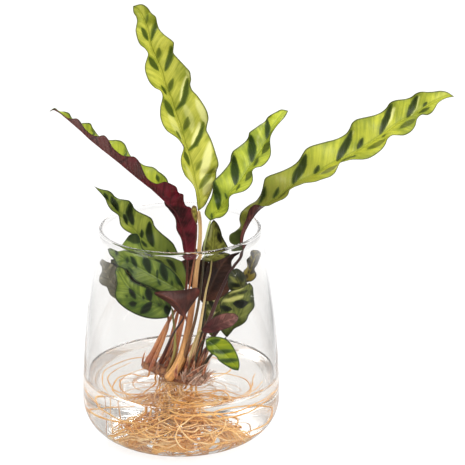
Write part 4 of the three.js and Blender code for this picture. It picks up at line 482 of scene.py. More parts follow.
  (51.4,-26.9,121.4,34.2,-20.9,127.2,59,-30.2,120),
  (52.3,-26.1,123.8,35.6,-20.9,129.7,60.9,-30.8,122.8),
  (53.1,-25.4,126.2,37.4,-21.8,132.4,62.1,-30.4,125.3),
  (53.9,-24.7,128.7,39.7,-23.8,135.1,62.3,-28.5,127.5),
  (54.7,-23.9,131.1,42.3,-26,137.8,62.1,-25.8,129.5),
  (55.5,-22.8,133.4,45.5,-27,139.4,61.9,-23.4,131.6),
  (56.3,-21.6,135.6,49.2,-26.5,140.1,61.6,-22.3,134.3),
  (57,-20.4,137.9,52.8,-24,140.6,61.4,-22.3,137.4),
  (57.7,-19.2,140.2,55.3,-21,141.4,60.9,-20.7,140),
  (58.4,-18,142.5,58.4,-18,142.5,58.4,-18,142.5),
 ],
 'leaf_pink': [
  (18.3,-42,108.7,18.3,-42,108.7,18.3,-42,108.7),
  (20.2,-42.3,109.2,19.7,-41,111.2,20.8,-44.2,107.2),
  (22.1,-42.6,109.8,21.1,-40,112.6,23,-45.2,107.1),
  (23.9,-42.9,110.5,22.5,-39.3,113.8,25.1,-45.5,107.3),
  (25.8,-43.2,111.3,24,-38.7,115,27.2,-45.5,107.5),
  (27.6,-43.5,112.1,25.6,-38.5,116.2,29.2,-45.4,108.1),
  (29.4,-43.7,112.9,27,-38.4,117.5,31.1,-45.5,108.7),
  (31.2,-44,113.8,28.5,-38.4,118.7,33.1,-45.9,109.4),
  (32.9,-44.2,114.7,30.2,-38.4,119.8,35,-46.4,110.2),
  (34.7,-44.2,115.5,31.9,-38.3,120.8,36.8,-46.8,111.1),
  (36.5,-44.2,116.3,33.7,-38.2,121.4,38.7,-47.1,111.9),
  (38.3,-44,117,35.6,-38.1,121.9,40.5,-47.3,112.7),
  (40,-43.7,117.7,37.6,-38.2,122.4,42.3,-47.1,113.5),
  (41.8,-43.4,118.4,39.6,-38.6,122.7,44,-46.7,114.4),
  (43.6,-43.1,119.1,41.7,-39.2,123,45.5,-46.1,115.5),
  (45.3,-42.7,119.8,44.1,-40,123.2,46.8,-45.2,116.6),
  (47.2,-42.4,120.3,46.4,-40.9,123,48,-43.8,118),
  (49,-42,120.7,49,-42,120.7,49,-42,120.7),
 ],
 'leaf_small_striped': [
  (21.7,-44,101.8,21.7,-44,101.8,21.7,-44,101.8),
  (23.6,-44.7,100.7,21.7,-45.9,98.4,25.4,-43.8,103.1),
  (25.4,-45.4,99.6,22.2,-47.1,95.7,28.4,-43.7,103.6),
  (27.3,-46,98.4,23.1,-48.4,93.6,31.3,-43.7,103.6),
  (29.1,-46.7,97.2,24.5,-49.9,92.4,34,-43.9,103.2),
  (30.9,-47.3,95.9,26.2,-51.4,91.6,36.6,-44.3,102.6),
  (32.6,-47.9,94.6,28,-52.5,90.7,38.9,-44.9,101.7),
  (34.4,-48.5,93.3,29.8,-53.3,89.7,41,-45.5,100.3),
  (36.1,-49.1,91.9,31.2,-53.8,88.3,42.7,-46.1,98.6),
  (37.7,-49.7,90.4,32.2,-54.1,86.4,44.2,-46.7,96.5),
  (39.3,-50.1,88.9,33.8,-54.2,84.9,45.5,-47.1,94.2),
  (40.8,-50.4,87.2,35.5,-54.2,83.6,46.7,-47.4,91.9),
  (42.3,-50.6,85.5,37.3,-53.9,82.1,47.8,-47.9,89.5),
  (43.8,-50.9,83.7,39.1,-53.4,80.7,48.7,-48.5,87.1),
  (45.1,-51.2,81.9,41.1,-52.9,79.2,49.4,-49.3,84.7),
  (46.5,-51.4,80,43.2,-52.4,77.8,49.8,-50.1,82.2),
  (47.8,-51.7,78.1,45.6,-52.2,76.7,49.8,-51,79.5),
  (49,-52,76.2,49,-52,76.2,49,-52,76.2),
 ],
 'leaf_rim_back': [
  (26.5,1,153.3,26.5,1,153.3,26.5,1,153.3),
  (26.7,1.3,155.5,20,2.4,155,30.9,-0.3,155.5),
  (26.9,1.6,157.7,18.8,3.8,156.9,34.9,-1.2,157.6),
  (27.1,1.9,159.9,18.2,5,158.9,38.2,-1.7,159.5),
  (27.3,2.2,162.1,18,5.9,161,40.3,-1.7,161.7),
  (27.5,2.6,164.3,18,6.5,163.1,41.4,-1.3,163.9),
  (27.7,2.9,166.4,18.3,6.9,165.3,41.3,-0.6,166.1),
  (27.9,3.3,168.6,18.9,7.3,167.4,40.4,0.2,168.3),
  (28,3.8,170.8,19.5,7.8,169.6,39.3,1,170.4),
  (28.2,4.2,172.9,20.3,8.2,171.7,38,1.9,172.6),
  (28.3,4.7,175,21.1,8.7,173.7,36.6,2.8,174.8),
  (28.5,5.2,177.2,22,9.2,175.8,35.6,3.5,177),
  (28.6,5.8,179.3,22.8,9.4,178,35,4,179.3),
  (28.7,6.4,181.4,23.7,9.5,180.2,34.3,4.2,181.7),
  (28.7,7,183.5,24.5,9.5,182.4,33.4,4.3,184.2),
  (28.6,7.6,185.6,25.4,9.4,184.6,32.2,5.1,186.4),
  (28.5,8.3,187.7,26.6,9.2,187,30.7,7.1,188),
  (28.3,9,189.7,28.3,9,189.7,28.3,9,189.7),
 ],
 'leaf_young': [
  (14.4,-24,196.7,14.4,-24,196.7,14.4,-24,196.7),
  (14.2,-24.2,198,13.6,-24.8,198.2,14.7,-24.9,198.4),
  (14,-24.4,199.3,13,-25.4,199.6,15,-25.6,200),
  (13.8,-24.6,200.7,12.5,-26,201,15.1,-26.3,201.6),
  (13.6,-24.8,202,11.9,-26.5,202.4,15.3,-26.9,203.1),
  (13.4,-25,203.3,11.4,-26.9,203.7,15.3,-27.3,204.5),
  (13.2,-25.3,204.7,11,-27.3,205,15.3,-27.7,205.9),
  (13,-25.5,206,10.7,-27.5,206.4,15.3,-27.9,207.3),
  (12.8,-25.8,207.4,10.3,-27.7,207.7,15.2,-28,208.7),
  (12.6,-26,208.7,10.1,-27.7,208.9,15.1,-28,209.9),
  (12.5,-26.1,210.1,10,-27.6,210.2,14.9,-27.8,211.1),
  (12.3,-26.2,211.3,10.2,-27.2,211.4,14.6,-27.4,212.2),
  (12.1,-26.1,212.6,10.6,-26.7,212.6,14.1,-26.8,213.2),
  (12,-26,213.8,12,-26,213.8,12,-26,213.8),
 ],
 'leaf_back_centre': [
  (18.7,30,106.1,18.7,30,106.1,18.7,30,106.1),
  (18.4,30,108,16.8,29.8,108.8,19.8,30,108.7),
  (18,30,110.1,14.9,28.7,111.8,20.6,30,111.3),
  (17.6,30,112.3,13.4,27.4,114.7,21.2,30.9,113.5),
  (17.2,30,114.8,12.2,27.5,116.9,22.1,32.4,115.7),
  (16.7,30,117.3,10.9,29.6,118.5,23.6,33.1,118.5),
  (16.2,30,120,8.7,31.9,120.1,24.9,31.3,122.1),
  (15.7,30,122.8,6.2,32.4,122.4,25.6,28.6,125.8),
  (15.2,30,125.7,4.3,30.8,125.5,25.4,27.1,129),
  (14.7,30,128.6,3.7,28.9,128.9,24.8,27.7,131.4),
  (14.3,30,131.5,3.7,28.4,131.7,24.6,29.8,133.4),
  (13.8,30,134.4,3.5,29.8,134,24.8,31.5,135.6),
  (13.2,30,137.4,2.7,31.9,136,24.9,31.4,138.7),
  (12.5,30,140.3,1.3,32.9,138.4,24.3,29.6,142.3),
  (11.9,30,143.1,-0.1,31.7,141.5,22.8,27.9,145.8),
  (11.2,30.1,145.5,-0.6,29.2,144.8,20.7,28,148.2),
  (10.5,30.3,147.8,-0.1,27.3,147.8,18.5,30.2,149.7),
  (9.7,30.4,150,1,27.4,150.2,16.7,33,150.9),
  (8.9,30.6,152.3,1.9,29.4,152,15.1,34,152.8),
  (8,30.7,154.6,2.6,31.5,153.8,12.9,32.5,155.4),
  (7,30.9,156.9,3.7,31.4,156.4,9.6,31,157.7),
  (5.9,31,159.2,5.9,31,159.2,5.9,31,159.2),
 ],
 'leaf_back_lower': [
  (25.6,23,78,25.6,23,78,25.6,23,78),
  (26,23.1,79.8,24,24.1,79.9,28.1,22.1,79.8),
  (26.4,23.3,81.8,22.5,23.9,82.5,30,21.2,81.8),
  (26.8,23.4,84,21.6,23,85.5,31.8,21.9,83.5),
  (27.1,23.6,86.6,21.3,22.7,88.4,34,24.1,84.9),
  (27.5,23.7,89.2,20.9,24.1,90.8,36.8,25.3,86.6),
  (27.9,23.9,91.8,20.1,25.8,93.4,39.4,24.8,89.1),
  (28.3,24,94.4,19,26.2,96.4,41.2,23.3,92.2),
  (28.7,24.1,97,18.1,24.7,100.1,41.9,22.4,95.3),
  (29.2,24.3,99.6,17.9,22.5,103.8,41.8,23.2,97.8),
  (29.8,24.4,102.2,18.3,21.3,107,41.8,25.3,99.7),
  (30.3,24.6,104.8,18.9,22,109.4,42.3,27.3,101.6),
  (30.9,24.7,107.4,19.3,24.3,111.4,43.2,27.6,104),
  (31.6,24.9,110,19.3,26.5,113.7,43.8,26.1,107.1),
  (32.2,25,112.6,19.3,27,116.6,43.8,23.9,110.6),
  (32.9,25,114.9,20,25.8,119.7,43,22.6,113.7),
  (33.7,25,116.9,21.8,24.2,122,42,23,116.2),
  (34.4,25,118.9,24.6,23.7,123.4,41.3,24.6,118.1),
  (35.3,25,121.2,27.7,24.9,124.2,41.2,25.7,120.2),
  (36.3,25,123.5,31,26.6,125,40.9,25.3,122.9),
  (37.5,25,125.9,34.4,26.6,126.5,40.1,24.6,125.8),
  (38.8,25,128.3,38.8,25,128.3,38.8,25,128.3),
 ],
 'leaf_back_left': [
  (-6.4,24,108.3,-6.4,24,108.3,-6.4,24,108.3),
  (-8,24.3,109.3,-8.7,24.1,107.6,-6.8,24.2,111.2),
  (-9.7,24.5,110.3,-11.1,23.2,107.5,-7.7,24.3,113.5),
  (-11.6,24.8,111.5,-13.5,22.2,108.1,-9,25.8,115.2),
  (-13.8,25,112.8,-16.2,22.7,108.9,-10.5,27.8,117.1),
  (-16.1,25.3,114.3,-19.3,25.1,109,-11.9,28.3,120),
  (-18.6,25.6,115.9,-22.8,27.4,108.5,-13.5,26.6,123.5),
  (-21.1,25.8,117.5,-26.5,27.6,108.9,-15.7,24.4,126.6),
  (-23.8,26.1,119.3,-29.8,26.1,110.6,-18.4,23.6,128.6),
  (-26.5,26.2,121.2,-32.7,24.6,113.1,-21.2,24.7,130),
  (-29.2,26.1,123.2,-35.3,24.7,115.4,-23.7,26.6,131.8),
  (-31.9,26,125.1,-38.2,26.6,116.9,-25.8,27.5,134.5),
  (-34.6,26,127.1,-41.6,28.7,117.8,-28,26.4,137.9),
  (-37.3,25.9,129,-45.1,28.9,118.9,-30.6,24.3,140.8),
  (-40,25.7,131,-48.3,27,121.1,-33.5,23,142.5),
  (-42.6,25.6,133,-51,24.3,124.1,-36.7,23.7,143.3),
  (-45.3,25.4,135,-53,22.8,127.3,-39.6,25.9,143.9),
  (-47.8,25.1,137,-54.8,23.4,129.9,-42.1,27.7,145.1),
  (-50.2,24.9,139,-56.7,25.1,131.7,-44.3,27.6,147),
  (-52.5,24.6,141,-58.8,26,133.6,-46.7,25.6,148.9),
  (-54.8,24.2,143,-60.5,24.8,136.4,-49.7,23.4,150),
  (-57,23.8,145.1,-61.3,22.5,140.7,-53.6,23,149.7),
  (-59.2,23.4,147.1,-61.3,22,145.2,-57.6,23.7,149.1),
  (-61.3,23,149.2,-61.3,23,149.2,-61.3,23,149.2),
 ],
}
STEM = {
 'stem_tall': (2.0,3.3,[(16,-17.1,205.3),(17.3,-20.2,194),(17.1,-21.6,182.2),(16.1,-22.6,170.5),(14.4,-23.7,158.8),(13.1,-24.6,147.1),(11.8,-24.8,135.3),(10.1,-24.3,123.6),(8.3,-23.3,112),(6.5,-21.7,100.4),(4.6,-20.1,88.8),(2.2,-18.5,77.3),(-1.9,-17.1,66.4),(-8.5,-16.5,56.5)]),
 'stem_short_right': (1.1,1.5,[(25.8,-26,199.5),(22.9,-27,188.9),(20.6,-28.1,178.2),(19.9,-28.4,167.2),(19.2,-28.6,156.2),(18,-28.7,145.2),(16.6,-28.8,134.3),(14.8,-28.9,123.4),(12.6,-28.9,112.6),(9.9,-28.1,101.9),(6.9,-27.3,91.3),(4.1,-25.4,80.8),(2,-22.8,70.3),(0.6,-19.9,59.7)]),
 'stem_long_right': (1.6,2.0,[(52,-15.9,172.2),(51,-13.3,163.6),(46,-11.9,155.9),(41,-12.4,148),(37,-13.6,139.7),(33.3,-15.2,131.3),(29.8,-17.5,123),(26.5,-19.8,114.7),(23.3,-22.2,106.2),(20.4,-24.7,97.8),(17.8,-27.1,89.2),(15.9,-28.3,80.1),(14.4,-28,70.9),(13.3,-27.1,61.8)]),
 'stem_long_left': (1.3,2.0,[(6.1,-13,161.6),(6,-12.6,153.2),(5.7,-11.8,144.9),(5.1,-11.2,136.5),(4.2,-10.5,128.2),(2.8,-9.9,120),(1.3,-9.3,111.7),(-0.3,-8.8,103.5),(-2,-8.2,95.3),(-3.7,-7.6,87.1),(-5.5,-7,78.9),(-7.8,-6.3,70.9),(-10.7,-5.7,63),(-14.4,-5,55.5)]),
 'stem_left': (1.5,2.1,[(4.8,4,128.1),(2.8,3.6,122.3),(0.8,3.8,116.6),(-1.4,4.2,110.9),(-3.2,4.3,105.1),(-4.7,4.3,99.2),(-6.1,4.4,93.3),(-7.5,4.4,87.4),(-8.9,4.2,81.5),(-10.4,3.6,75.6),(-12.2,3.4,69.8),(-14.6,3.2,64.2),(-17.2,3,58.7),(-20.1,2.7,53.3)]),
 'stem_inner_left': (1.5,2.3,[(3.1,-14.7,129.6),(0.4,-17.8,124.4),(-2.6,-14.6,119),(-5.1,-10.9,113.7),(-7.5,-7.2,108.4),(-9.9,-3.8,103),(-12.4,-0.9,97.2),(-14.9,1.6,91.2),(-17.5,3.6,85.2),(-20.3,5,79),(-23,6,72.7),(-25.8,6.7,66.4),(-28.5,7.1,60.1),(-30.5,7,53.4)]),
 'stem_low_left': (1.1,1.5,[(-6.5,-32.7,124.4),(-6.1,-30.8,119.3),(-5.8,-29.2,114.1),(-5.4,-27.9,108.8),(-5,-26.6,103.6),(-4.7,-25.4,98.2),(-4.6,-24.2,92.9),(-4.7,-22.9,87.6),(-5.1,-21.3,82.4),(-5.9,-19.5,77.3),(-7.1,-17.7,72.3),(-8.7,-15.7,67.4),(-10.4,-13.7,62.7),(-12.4,-11.5,58.1)]),
 'stem_grey_left': (1.2,2.1,[(-17.5,-13.9,117.1),(-13.1,-12.8,114.2),(-10.9,-11,109.6),(-10.3,-9,104.6),(-11,-7.1,99.6),(-12.1,-5.2,94.7),(-13.7,-3.5,89.7),(-15.4,-2.5,84.7),(-17.3,-1.9,79.7),(-19.3,-1.5,74.7),(-21.2,-1,69.6),(-23.2,-0.5,64.6),(-25.1,-0,59.6),(-26.7,0,54.4)]),
 'stem_folded': (1.2,1.7,[(3.4,-39.9,119.2),(0.6,-38.4,113.8),(-2,-35.8,108.9),(-4.4,-32.6,104.2),(-6.3,-29,99.6),(-8,-25.3,94.9),(-9.4,-21.6,90.3),(-10.8,-17.8,85.6),(-12.3,-14.1,80.8),(-13.9,-10.8,75.9),(-15.7,-7.8,70.8),(-17.9,-4.9,65.8),(-20.2,-2.5,60.6),(-21.9,-1.2,54.9)]),
 'stem_maroon_right': (1.3,1.8,[(21.4,13.9,113.4),(20.9,12.8,108.5),(20.3,11,103.9),(19.6,8.6,99.5),(18.9,5.8,95.4),(18.3,2.7,91.5),(17.6,-0.7,87.9),(16.8,-4.1,84.3),(16,-7.5,80.7),(15.1,-10.9,77.1),(14.1,-14,73.3),(13.1,-16.4,69),(12.2,-18.4,64.5),(11.4,-20,59.8)]),
 'stem_olive_right': (1.1,1.6,[(56.2,-6,138.1),(54.4,-6.4,131.7),(51,-7.7,126.2),(47.1,-9.6,121.1),(43.1,-11.8,116.3),(39.2,-14.2,111.5),(35.4,-16.9,106.8),(31.8,-19.8,102.1),(28.4,-22.9,97.3),(25.3,-25.9,92.3),(22.5,-28.4,86.7),(20.2,-30.1,80.7),(18.4,-30.9,74.4),(17.2,-30.8,67.8)]),
 'stem_dark_upper': (1.0,1.5,[(53.3,-15.9,133.6),(53.1,-14,127.2),(50.3,-13.4,121.2),(46.2,-14.1,116),(42,-16.1,111.3),(37.9,-19,106.9),(33.8,-22.3,102.8),(29.9,-25.7,98.6),(26.3,-29.3,94.3),(22.9,-32.5,89.7),(19.9,-34.7,84),(17.6,-35.4,77.8),(15.9,-34.8,71.5),(14.7,-33.1,65.1)]),
 'stem_dark_lower': (1.1,1.6,[(38.6,-30.1,97.3),(36.7,-30.9,94.7),(34.6,-32,92.5),(32.5,-33.3,90.4),(30.4,-34.7,88.4),(28.2,-36.1,86.4),(26.1,-37.5,84.4),(24.1,-38.5,82.1),(22.3,-39.1,79.4),(20.8,-39.3,76.4),(19.6,-39,73.4),(18.6,-38.3,70.5),(17.6,-37.4,67.5),(16.8,-36.2,64.6)]),
 'stem_pink': (1.0,1.5,[(18,-41.8,108.3),(15.4,-40.5,105.3),(13.9,-39.3,101.8),(12.6,-38.1,98),(11.5,-37.1,94.2),(10.4,-36.1,90.3),(9.4,-35.1,86.5),(8.5,-34.1,82.6),(7.7,-33,78.7),(7,-31.7,74.9),(6.4,-30.4,71),(5.9,-28.9,67.2),(5.5,-27.5,63.3),(5.2,-26.1,59.5)]),
 'stem_small_striped': (0.9,1.4,[(21,-43.6,101),(19,-42.6,98.8),(17.7,-41.9,96),(16.6,-41.2,93.1),(15.7,-40.7,90.1),(14.8,-40.2,87.1),(14,-39.7,84.1),(13.4,-39.1,81.1),(12.8,-38.4,78),(12.3,-37.6,75),(11.9,-36.7,72),(11.5,-35.7,69.1),(11.2,-34.4,66.2),(11,-33.1,63.3)]),
 'stem_rim_back': (1.4,2.0,[(26.4,0.9,152.8),(25.5,-1.7,145.5),(23.7,-5.7,139),(21.9,-10.1,132.6),(20.6,-14.5,126.3),(19.3,-18.4,119.6),(18,-21.6,112.5),(16.6,-24.1,105.1),(15.1,-26.3,97.7),(13.2,-27.9,90.3),(11.6,-28.2,82.6),(10.3,-27.5,74.8),(9.3,-26.1,67.1),(9,-24,59.6)]),
 'stem_young': (0.9,1.2,[(14.4,-24.1,196.2),(13.9,-25.6,185.5),(13,-27,174.9),(11.8,-28.2,164.3),(10,-29.1,153.7),(8.2,-28.9,143.1),(6.4,-28.2,132.5),(4.6,-27,121.9),(2.8,-25.6,111.4),(0.7,-23.9,101),(-1.4,-21.2,90.8),(-3.7,-17.8,80.8),(-6.3,-14.1,71),(-9,-10.2,61.4)]),
 'stem_back_centre': (1.2,1.9,[(18.8,30.1,105.3),(20.9,31.8,99.2),(21.1,31,93.2),(20.2,28.9,87.4),(18.3,25.7,82.1),(15.5,21.4,77.8),(12.3,16.7,74.9),(9,12,72.7),(5.8,7.4,70.1),(3,3.1,66.4),(0.8,-0.8,61.9),(-0.6,-5.4,58.6),(-0.7,-11.3,56.4),(0.1,-18,55)]),
 'stem_back_lower': (1.1,1.7,[(25.4,22.8,77.3),(24.3,21.5,72),(21.4,19.7,68.4),(17.9,17,65.6),(13.8,14.1,63.5),(9.1,12,62.2),(3.9,11.6,62.1),(-1.5,12.4,62.5),(-6.7,12.6,62.4),(-11.4,11.3,61.1),(-16.1,9.5,59.2),(-20.9,8.2,58),(-26,7.3,57.4),(-31.3,6.8,57.4)]),
 'stem_back_left': (1.2,1.9,[(-5.8,23.8,107.9),(-0.8,22.4,104.7),(2.1,18.8,101.4),(4.3,13.9,98),(5.8,8.8,94.4),(6.4,4.5,90.4),(5.7,1.9,85.5),(4.5,0.3,79.8),(3.7,-1.9,74.2),(3.3,-4.7,69),(3.1,-8.1,64.1),(3.8,-12.3,60.1),(5.2,-17.4,57.4),(7.2,-23.2,55.5)]),
}

# markings in each blade's own flat coordinates: points (mm along the midrib, mm
# to the side), width in mm, strength
SPOT = {
 'leaf_tall': [
  ([(164.0,-6.6),(158.1,-4.6),(152.3,-2.2)],6.0,1.00),
  ([(138.8,-9.5),(131.7,-7.0),(125.3,-4.0)],8.0,1.00),
  ([(111.2,-5.9),(107.4,-6.3),(103.0,-4.8)],6.5,1.00),
  ([(98.7,-12.8),(91.1,-8.1),(83.5,-4.4)],9.4,1.00),
  ([(70.2,-9.3),(66.4,-8.6),(62.6,-6.8)],5.6,0.90),
  ([(52.0,-10.3),(45.6,-5.3),(39.7,-3.8)],8.0,1.00),
  ([(103.6,-16.2),(100.3,-15.1),(95.4,-13.6)],5.2,0.60),
  ([(55.2,-3.7),(52.0,-7.6),(47.7,-9.7)],4.9,0.60),
  ([(172.6,4.9),(169.3,3.3),(166.1,0.5)],3.4,0.80),
  ([(166.1,10.9),(158.7,5.3),(151.2,1.7)],4.5,1.00),
  ([(142.5,7.4),(138.8,4.5),(135.0,1.5)],4.5,0.85),
  ([(140.4,18.6),(130.7,11.1),(122.6,3.3)],5.6,1.00),
  ([(113.9,8.8),(109.6,4.9),(104.7,1.3)],4.7,0.90),
  ([(110.1,21.3),(99.2,14.0),(92.2,9.2),(87.8,1.4)],5.3,1.00),
  ([(78.7,9.4),(74.4,6.8),(69.7,2.5)],5.5,0.85),
  ([(71.8,20.7),(62.1,14.8),(55.2,8.8),(52.0,1.3)],4.4,1.00),
  ([(41.3,9.5),(38.2,6.5),(34.5,3.2)],4.3,0.50),
  ([(33.4,17.6),(27.1,11.8),(19.0,3.1)],5.2,0.75),
 ],
 'leaf_short_right': [
  ([(104.8,-9.0),(97.7,-3.9),(88.8,-0.8)],5.4,1.00),
  ([(83.5,-13.6),(73.8,-6.9),(63.3,-1.4)],7.5,1.00),
  ([(57.8,-16.0),(48.4,-8.9),(38.0,-1.3)],7.7,1.00),
  ([(29.9,-17.0),(22.1,-8.3),(12.5,-1.3)],6.6,1.00),
  ([(69.3,3.8),(65.3,4.6),(61.3,6.6)],5.1,0.80),
  ([(40.4,3.8),(37.5,5.1),(34.2,7.1)],3.9,0.80),
  ([(26.8,-3.6),(24.9,-1.2),(23.5,1.7)],2.3,1.00),
  ([(88.3,8.8),(81.5,6.3),(75.4,5.9)],9.9,0.85),
  ([(56.3,10.0),(51.3,8.5),(46.4,8.2)],9.0,0.80),
  ([(6.5,-2.6),(4.2,-1.0),(2.3,1.4)],2.2,1.00),
 ],
 'leaf_long_right': [
  ([(207.1,-11.8),(199.4,-7.0),(188.7,-0.3)],5.8,1.00),
  ([(184.0,-16.6),(174.7,-10.0),(160.8,-1.6)],5.9,1.00),
  ([(141.7,-17.0),(130.8,-9.4),(117.1,-0.8)],6.9,1.00),
  ([(97.8,-18.3),(89.4,-11.5),(74.7,-1.3)],7.5,1.00),
  ([(55.2,-13.9),(49.6,-8.3),(41.8,-4.1)],4.5,1.00),
  ([(211.2,-2.9),(208.3,-2.2),(205.9,-1.2)],2.6,1.00),
  ([(11.7,-10.4),(8.0,-5.8),(0.6,-1.3)],16.0,0.92),
  ([(146.4,-6.9),(142.3,-4.1),(137.1,-1.6)],4.4,1.00),
  ([(101.8,-4.8),(98.4,-2.5),(94.4,-0.7)],3.9,1.00),
  ([(63.5,-6.2),(59.1,-3.9),(54.1,-1.5)],3.8,1.00),
  ([(164.8,4.4),(163.1,3.6),(160.8,2.9)],3.2,0.90),
  ([(132.6,6.2),(131.4,7.9),(130.2,9.0)],3.5,0.90),
  ([(210.6,3.6),(205.3,2.9),(200.0,3.1)],4.2,0.90),
  ([(194.7,7.3),(186.3,7.3),(178.8,7.5)],6.5,0.70),
  ([(162.5,9.8),(152.7,8.3),(145.2,6.6)],7.1,0.70),
  ([(130.8,7.9),(123.9,6.4),(118.8,10.0)],6.7,0.70),
  ([(114.8,9.8),(106.8,8.6),(100.1,7.1)],7.5,0.70),
  ([(71.3,3.4),(64.7,4.0),(57.4,7.6)],7.5,0.60),
 ],
 'leaf_left': [
  ([(111.6,1.8),(108.4,0.5),(104.8,-0.1)],3.7,1.00),
  ([(86.9,2.0),(82.8,0.5),(78.8,-2.6)],4.8,1.00),
  ([(66.4,4.9),(63.7,2.4),(61.4,-0.6)],3.6,1.00),
  ([(60.4,-3.2),(56.8,-3.9),(52.8,-4.5)],3.8,1.00),
  ([(44.4,-3.1),(35.1,-6.4),(25.7,-6.6)],5.0,1.00),
  ([(105.2,4.0),(98.5,1.8),(92.2,-0.5)],5.6,1.00),
  ([(90.9,12.8),(85.1,6.5),(75.1,2.7)],6.4,1.00),
  ([(66.4,14.3),(58.1,6.0),(49.5,0.3)],6.8,1.00),
  ([(37.9,6.2),(30.3,1.8),(18.5,-0.4)],5.2,1.00),
 ],
 'leaf_inner_left': [
  ([(67.4,16.7),(63.6,19.9),(54.5,19.7)],8.5,0.85),
  ([(72.6,5.0),(69.6,2.7),(67.9,-0.7)],3.7,1.00),
  ([(57.0,6.0),(52.5,2.3),(47.9,-0.8)],4.1,1.00),
  ([(46.3,13.6),(42.1,6.8),(36.0,0.9)],6.9,1.00),
  ([(30.2,12.9),(26.1,7.3),(20.3,1.8)],7.0,1.00),
  ([(16.0,10.6),(10.4,7.8),(4.1,5.0)],6.1,1.00),
  ([(59.0,3.1),(57.8,0.7),(56.5,-1.7)],3.2,0.90),
  ([(31.4,6.1),(30.2,3.1),(28.2,-0.4)],2.5,1.00),
  ([(16.5,3.9),(15.2,2.5),(13.9,0.6)],2.2,0.90),
  ([(54.9,-3.9),(51.7,-4.9),(47.5,-6.8)],2.2,0.90),
  ([(27.3,-1.0),(25.3,-2.6),(22.8,-4.3)],2.6,0.90),
 ],
 'leaf_low_left': [
  ([(40.8,-0.8),(36.4,-1.9),(31.8,-3.6)],4.4,1.00),
  ([(33.3,-9.9),(31.1,-8.7),(29.2,-6.4)],4.8,1.00),
  ([(28.5,9.8),(24.4,6.0),(20.1,1.4)],6.7,1.00),
  ([(18.6,0.2),(20.4,-5.5),(22.6,-11.8)],6.2,1.00),
  ([(27.8,2.0),(26.7,0.8),(25.2,-0.6)],2.0,1.00),
  ([(12.9,1.3),(11.1,0.6),(9.5,-0.4)],3.2,0.60),
  ([(5.4,1.5),(3.8,-2.8),(3.4,-6.1)],5.6,1.00),
  ([(39.3,-6.9),(38.2,-6.9),(37.1,-7.5)],2.2,0.70),
  ([(15.6,11.1),(8.4,9.2),(3.8,5.0)],4.1,1.00),
 ],
 'leaf_dark_lower': [
  ([(29.5,-7.7),(31.1,-2.2),(34.5,3.3)],7.0,1.00),
  ([(22.9,-16.7),(22.9,-11.9),(24.2,-7.9)],5.0,1.00),
  ([(45.1,2.8),(39.5,5.2),(33.8,8.0)],2.5,0.60),
  ([(38.8,-7.1),(41.5,-3.3),(44.5,0.4)],2.6,0.80),
  ([(30.8,-14.7),(33.8,-11.9),(36.5,-9.6)],1.5,0.60),
  ([(17.1,-11.2),(17.8,-4.7),(18.5,1.6)],3.2,0.50),
 ],
 'leaf_back_lower': [
  ([(30.6,-7.6),(28.9,-4.5),(25.3,-2.2)],4.7,1.00),
  ([(40.7,-7.8),(42.9,-5.3),(45.1,-2.0)],3.9,0.80),
  ([(23.6,3.7),(19.6,2.3),(16.3,-0.6)],4.1,0.90),
 ],
 'leaf_dark_upper': [
  ([(11.5,-7.2),(9.0,-3.8),(6.4,-0.8)],3.4,0.90),
  ([(17.8,1.3),(14.2,2.9),(9.6,3.8)],3.0,0.80),
 ],
 'leaf_small_striped': [
  ([(3.1,-4.1),(5.7,-0.1),(9.7,6.2)],5.4,1.00),
  ([(9.1,-6.7),(17.1,-1.2),(23.6,7.0)],4.4,1.00),
  ([(20.2,-8.1),(25.6,-3.6),(31.9,5.5)],4.4,1.00),
  ([(29.4,-6.2),(34.6,-3.6),(37.7,1.1)],3.0,0.90),
 ],
 'leaf_rim_back': [
  ([(27.1,3.8),(22.7,4.9),(18.6,6.8)],4.3,1.00),
  ([(14.7,9.1),(10.9,12.3),(7.5,12.5)],4.0,0.80),
  ([(26.3,-6.7),(22.1,-8.3),(18.6,-8.0)],2.2,1.00),
  ([(14.4,-8.3),(12.5,-6.3),(12.8,-3.4)],2.6,0.80),
  ([(33.7,1.3),(31.2,3.1),(28.7,4.0)],2.7,0.80),
  ([(14.7,2.7),(11.4,4.0),(8.4,5.9)],1.9,0.60),
 ],
 # on leaf_long_left these marks are painted shade along the folds of its underside
 'leaf_long_left': [
  ([(157.6,7.2),(153.2,8.0),(150.5,-11.7)],2.6,1.00),
  ([(119.6,13.4),(116.9,13.0),(114.7,-14.9)],3.0,1.00),
  ([(80.0,12.4),(77.9,10.1),(75.9,8.6)],2.7,1.00),
  ([(182.5,4.8),(179.9,4.7),(177.2,-8.0)],1.8,0.80),
 ],
}
